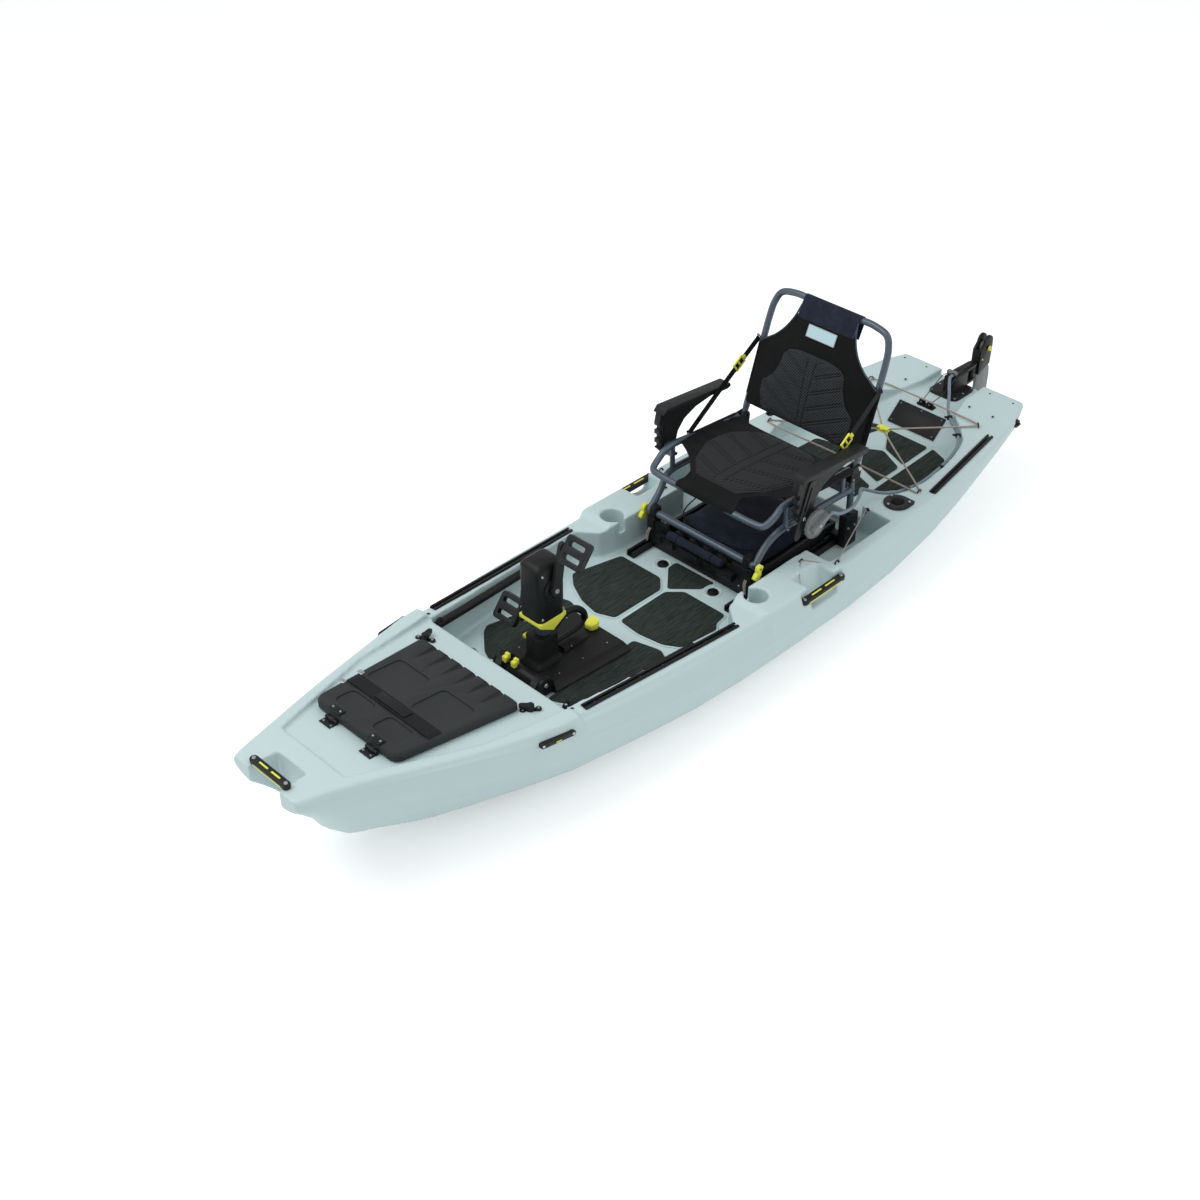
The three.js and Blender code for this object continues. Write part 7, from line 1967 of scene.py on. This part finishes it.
@dataclass
class SteeringDress:
    """The steering dial with its bracket, the conduit and its clips.

    Attributes:
        y: The dial's middle along the hull.
        z: The dial's height.
        radius: The conduit's radius.
    """

    y: float = 285.0
    z: float = 436.0
    radius: float = 5.5

    def build(self) -> None:
        """Builds the steering."""
        refined("steering_dial", Finish.GREY, 1.6)
        refined("dial_bracket", Finish.CHARCOAL, 1.0)
        self.dial()
        self.clips()

    def conduit(self) -> None:
        """Lays the conduit in its two runs, the first left without a body."""
        lead = [(304, 358.8, 430), (304, 374, 430), (304.5, 403, 412), (301, 468, 396), (262, 566, 370),
                (205, 660, 334), (197, 706, 305), (226, 738, 293), (248, 776, 285), (268, 830, 284),
                (278, 896, 284), (272, 990, 284), (268, 1022, 284), (265, 1042, 284)]
        run = [(264.9, 1042.7, 284), (262, 1063, 284), (252, 1110, 286), (236, 1156, 289), (203, 1206, 291),
               (164, 1241, 293), (118, 1278, 295), (82, 1318, 302), (50, 1366, 320), (22, 1402, 342),
               (9, 1424, 352), (9, 1439.2, 352)]
        first, _ = (cord(f"steering_{name}_jacket", points, self.radius, Finish.CONDUIT, body,
                         [f"steering_cable_{name}"], step=7.0, segments=12)
                    for name, points, body in (("lead", lead, ""), ("run", run, "hull")))
        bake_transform(first)

    def dial(self) -> None:
        """Adds the dial's yellow pointers, its rings and ridges, and its centre screw."""
        form = Form()
        middle = Vector((314.4, self.y, self.z))
        for turn in (0.35, 0.35 + math.pi):
            out = Vector((0, math.cos(turn), math.sin(turn)))
            across = Vector((0, -out.z, out.y)) * 4
            tip, foot = middle + out * 40, middle + out * 25
            form.slab([tip, foot + across, foot - across], (0.9, 0, 0), corner=0.8)
        form.piece("dial_pointers", Finish.YELLOW, "steering_dial")
        form = Form()
        for radius, thick in ((45.5, 1.4), (31.0, 1.0)):
            form.ring((313.6, self.y, self.z), (0, radius, 0), (0, 0, radius), thick, 48)
        for at in arc((309, self.y, self.z), (0, 47.6, 0), (0, 0, 47.6), 28)[1:]:
            form.rod(at - Vector((3.6, 0, 0)), at + Vector((3.6, 0, 0)), 1.5, segments=8)
        form.piece("dial_rings", Finish.GREY, "steering_dial")
        bolts("dial_screw", "steering_dial", [((328.8, self.y, self.z), OUTWARD, 5.0, 2.0)])

    def clips(self) -> None:
        """Clips the conduit to the deck."""
        form = Form()
        for at, way in (((276, 1012, 284), (-0.14, 1, 0)), ((203, 1206, 291), (-0.66, 0.75, 0)),
                        ((118, 1278, 295), (-0.74, 0.67, 0.1)), ((267, 830, 284.5), (0.2, 1, 0))):
            turn = Matrix.Translation(at) @ Vector(way).to_track_quat("Y", "Z").to_matrix().to_4x4()
            form.block((-9, -6, -7), (9, 6, 8), 2.5, turn)
            form.block((-19, -5, 1), (-7, 5, 5), 1.2, turn)
        form.piece("conduit_clips", Finish.BLACK, "hull")


@dataclass
class RudderDress:
    """The rudder's bracket, head and blade with their bolts and the lift lines.

    Attributes:
        plate_z: The bracket plate's top.
        pivot: The blade's pivot as its y and z.
    """

    plate_z: float = 287.3
    pivot: tuple[float, float] = (1637.0, 388.0)

    def build(self) -> None:
        """Builds the rudder."""
        refined("rudder_base", Finish.BLACK, 1.6)
        refined("rudder_head", Finish.BLACK, 1.4)
        form = Form()
        form.block((-19, 1440, 352), (19, 1455, 364), 2.5)
        form.piece("rudder_bracket_cap", Finish.GREY, "hull")
        refined("rudder_blade", Finish.GREY, 1.0, 30.0)
        bolts("rudder_base_bolts", "hull", [((sign * 49, y, self.plate_z), UPWARD, 4.6, 2.2)
                                            for sign in SIDES.values() for y in (1407, 1458, 1508)])
        heads = []
        for sign in SIDES.values():
            heads.append(((sign * 24, *self.pivot), (sign, 0, 0), 10.0, 5.0))
            heads.append(((sign * 18.2, 1608, 352), (sign, 0, 0), 4.0, 2.0))
        bolts("rudder_bolts", "rudder_head", heads, Finish.YELLOW)

    def lines(self) -> None:
        """Runs the two lift lines from the fairlead to the bracket."""
        route = ((17, 1303, 297), (22, 1340, 305), (26, 1385, 322), (24, 1430, 345), (14, 1462, 348),
                 (8, 1500, 352), (6, 1548, 352))
        for side, sign in SIDES.items():
            cord(f"rudder_line_{side}", sided(sign, route), 1.5, Finish.LINE, "hull")


@dataclass
class TankwellDress:
    """The tankwell's bungee, its hook and eyes, the cover plate, the fairlead and the rod holder.

    Attributes:
        radius: The bungee's radius.
    """

    radius: float = 3.0

    def bungee(self) -> None:
        """Lays the bungee in its crossing loop."""

        def bend(way: int) -> list[Point]:
            """Gives the turn round one side of the middle hook."""
            return [(way * 10, 1055 + way * 6, 297), (way * 8, 1055, 297), (way * 10, 1055 - way * 6, 297)]

        rear = [(-224, 1278, 308), (-228, 1288, 308.4), (-218, 1292, 308.5), (218, 1292, 308.5),
                (228, 1288, 308.4), (224, 1278, 308)]
        points = [(312, 818, 294.7), (0, 822, 294.8), (-306, 820, 294.7), (-316, 828, 294.8),
                  (-308, 838, 294.9), *bend(-1), *rear, *bend(1), (308, 838, 294.9), (316, 830, 294.8)]
        cord("tankwell_shock_cord", points, self.radius, Finish.BUNGEE, "hull", ["tankwell_bungee"], step=7.0,
             segments=10)

    def build(self) -> None:
        """Builds the tankwell's fittings."""
        refined("electronics_cover", Finish.BLACK, 1.2)
        refined("rod_holder", Finish.CHARCOAL, 1.2)
        self.cover_screws()
        self.fairlead()
        self.eyes()
        bolts("rod_holder_screws", "hull", [((x, y, 301.2), UPWARD, 4.4, 2.0)
                                            for x, y in ((331, 752), (268, 742), (290, 694))])

    def on_slope(self, x: float, rise: float, out: float) -> Vector:
        """Returns a point on the sloping end wall, at a distance up it and off it."""
        along = Vector((0, 82, 73)).normalized()
        return Vector((x, 1218, 207)) + along * rise + Vector((0, -along.z, along.y)) * out

    def cover_screws(self) -> None:
        """Screws the cover down and sinks its face."""
        out = self.on_slope(0, 0, 1) - self.on_slope(0, 0, 0)
        heads = [(self.on_slope(x, rise, 5.0), out, 3.8, 1.6)
                 for x, rise in ((-86, 20), (86, 20), (-86, 88), (86, 88), (0, 90))]
        bolts("cover_screws", "hull", heads, Finish.PLATE)
        form = Form()
        corners = [self.on_slope(x, rise, 4.8) for x, rise in ((-74, 24), (74, 24), (74, 82), (-74, 82))]
        form.slab(corners, out * 1.4, corner=8.0, bevel=0.6)
        form.piece("cover_face", Finish.BLACK, "hull")

    def fairlead(self) -> None:
        """Adds the double cord guide over the cover."""
        form = Form()
        form.block((-34, 1296, 279), (34, 1318, 287), 2.0)
        for sign in SIDES.values():
            form.block((sign * 6, 1298, 286), (sign * 28, 1314, 304), 4.0)
        form.piece("line_fairlead", Finish.BLACK, "hull")
        bolts("fairlead_screws", "hull", [((x, 1297.6, 295), (0, -1, 0), 3.4, 1.6) for x in (17, -17)])

    def eyes(self) -> None:
        """Adds the middle hook and the four deck eyes."""
        form = Form()
        form.block((-21, 1042, 290), (21, 1068, 294.5), 1.6)
        form.block((-6, 1040, 291), (6, 1070, 304), 2.2)
        form.block((-21, 1044, 300.4), (21, 1066, 305), 1.6)
        form.piece("bungee_hook", Finish.YELLOW, "hull")
        form = Form()
        for place, way in (((316, 829, 294.8), (1, 0, 0)), ((228, 1287, 308.4), (0.7, 0.7, 0))):
            for sign in SIDES.values():
                base, out = sided(sign, (place, way))
                out.normalize()
                arch = arc(base - out * 1.5, Vector((-out.y, out.x, 0)) * 9, (0, 0, 7.5), 8, HALF_TURN)
                form.tube([arch[0] - up(7), *arch, arch[-1] - up(7)], 2.0)
        form.piece("bungee_eyes", Finish.BLACK, "hull")


def main() -> None:
    """Builds the whole scene."""
    logging.basicConfig(level=logging.INFO, format="%(name)s: %(message)s")
    hull, handles, steering = HullDress(), Handles(), SteeringDress()
    rudder, tankwell = RudderDress(), TankwellDress()
    Studio().build()
    steering.conduit()
    tankwell.bungee()
    rudder.lines()
    handles.leashes()
    hull.keeper()
    for dress in (hull, handles, HatchDress(), DriveDress(), SeatDress(), BackDress(), steering, rudder,
                  tankwell):
        dress.build()


if __name__ == "__main__":
    main()
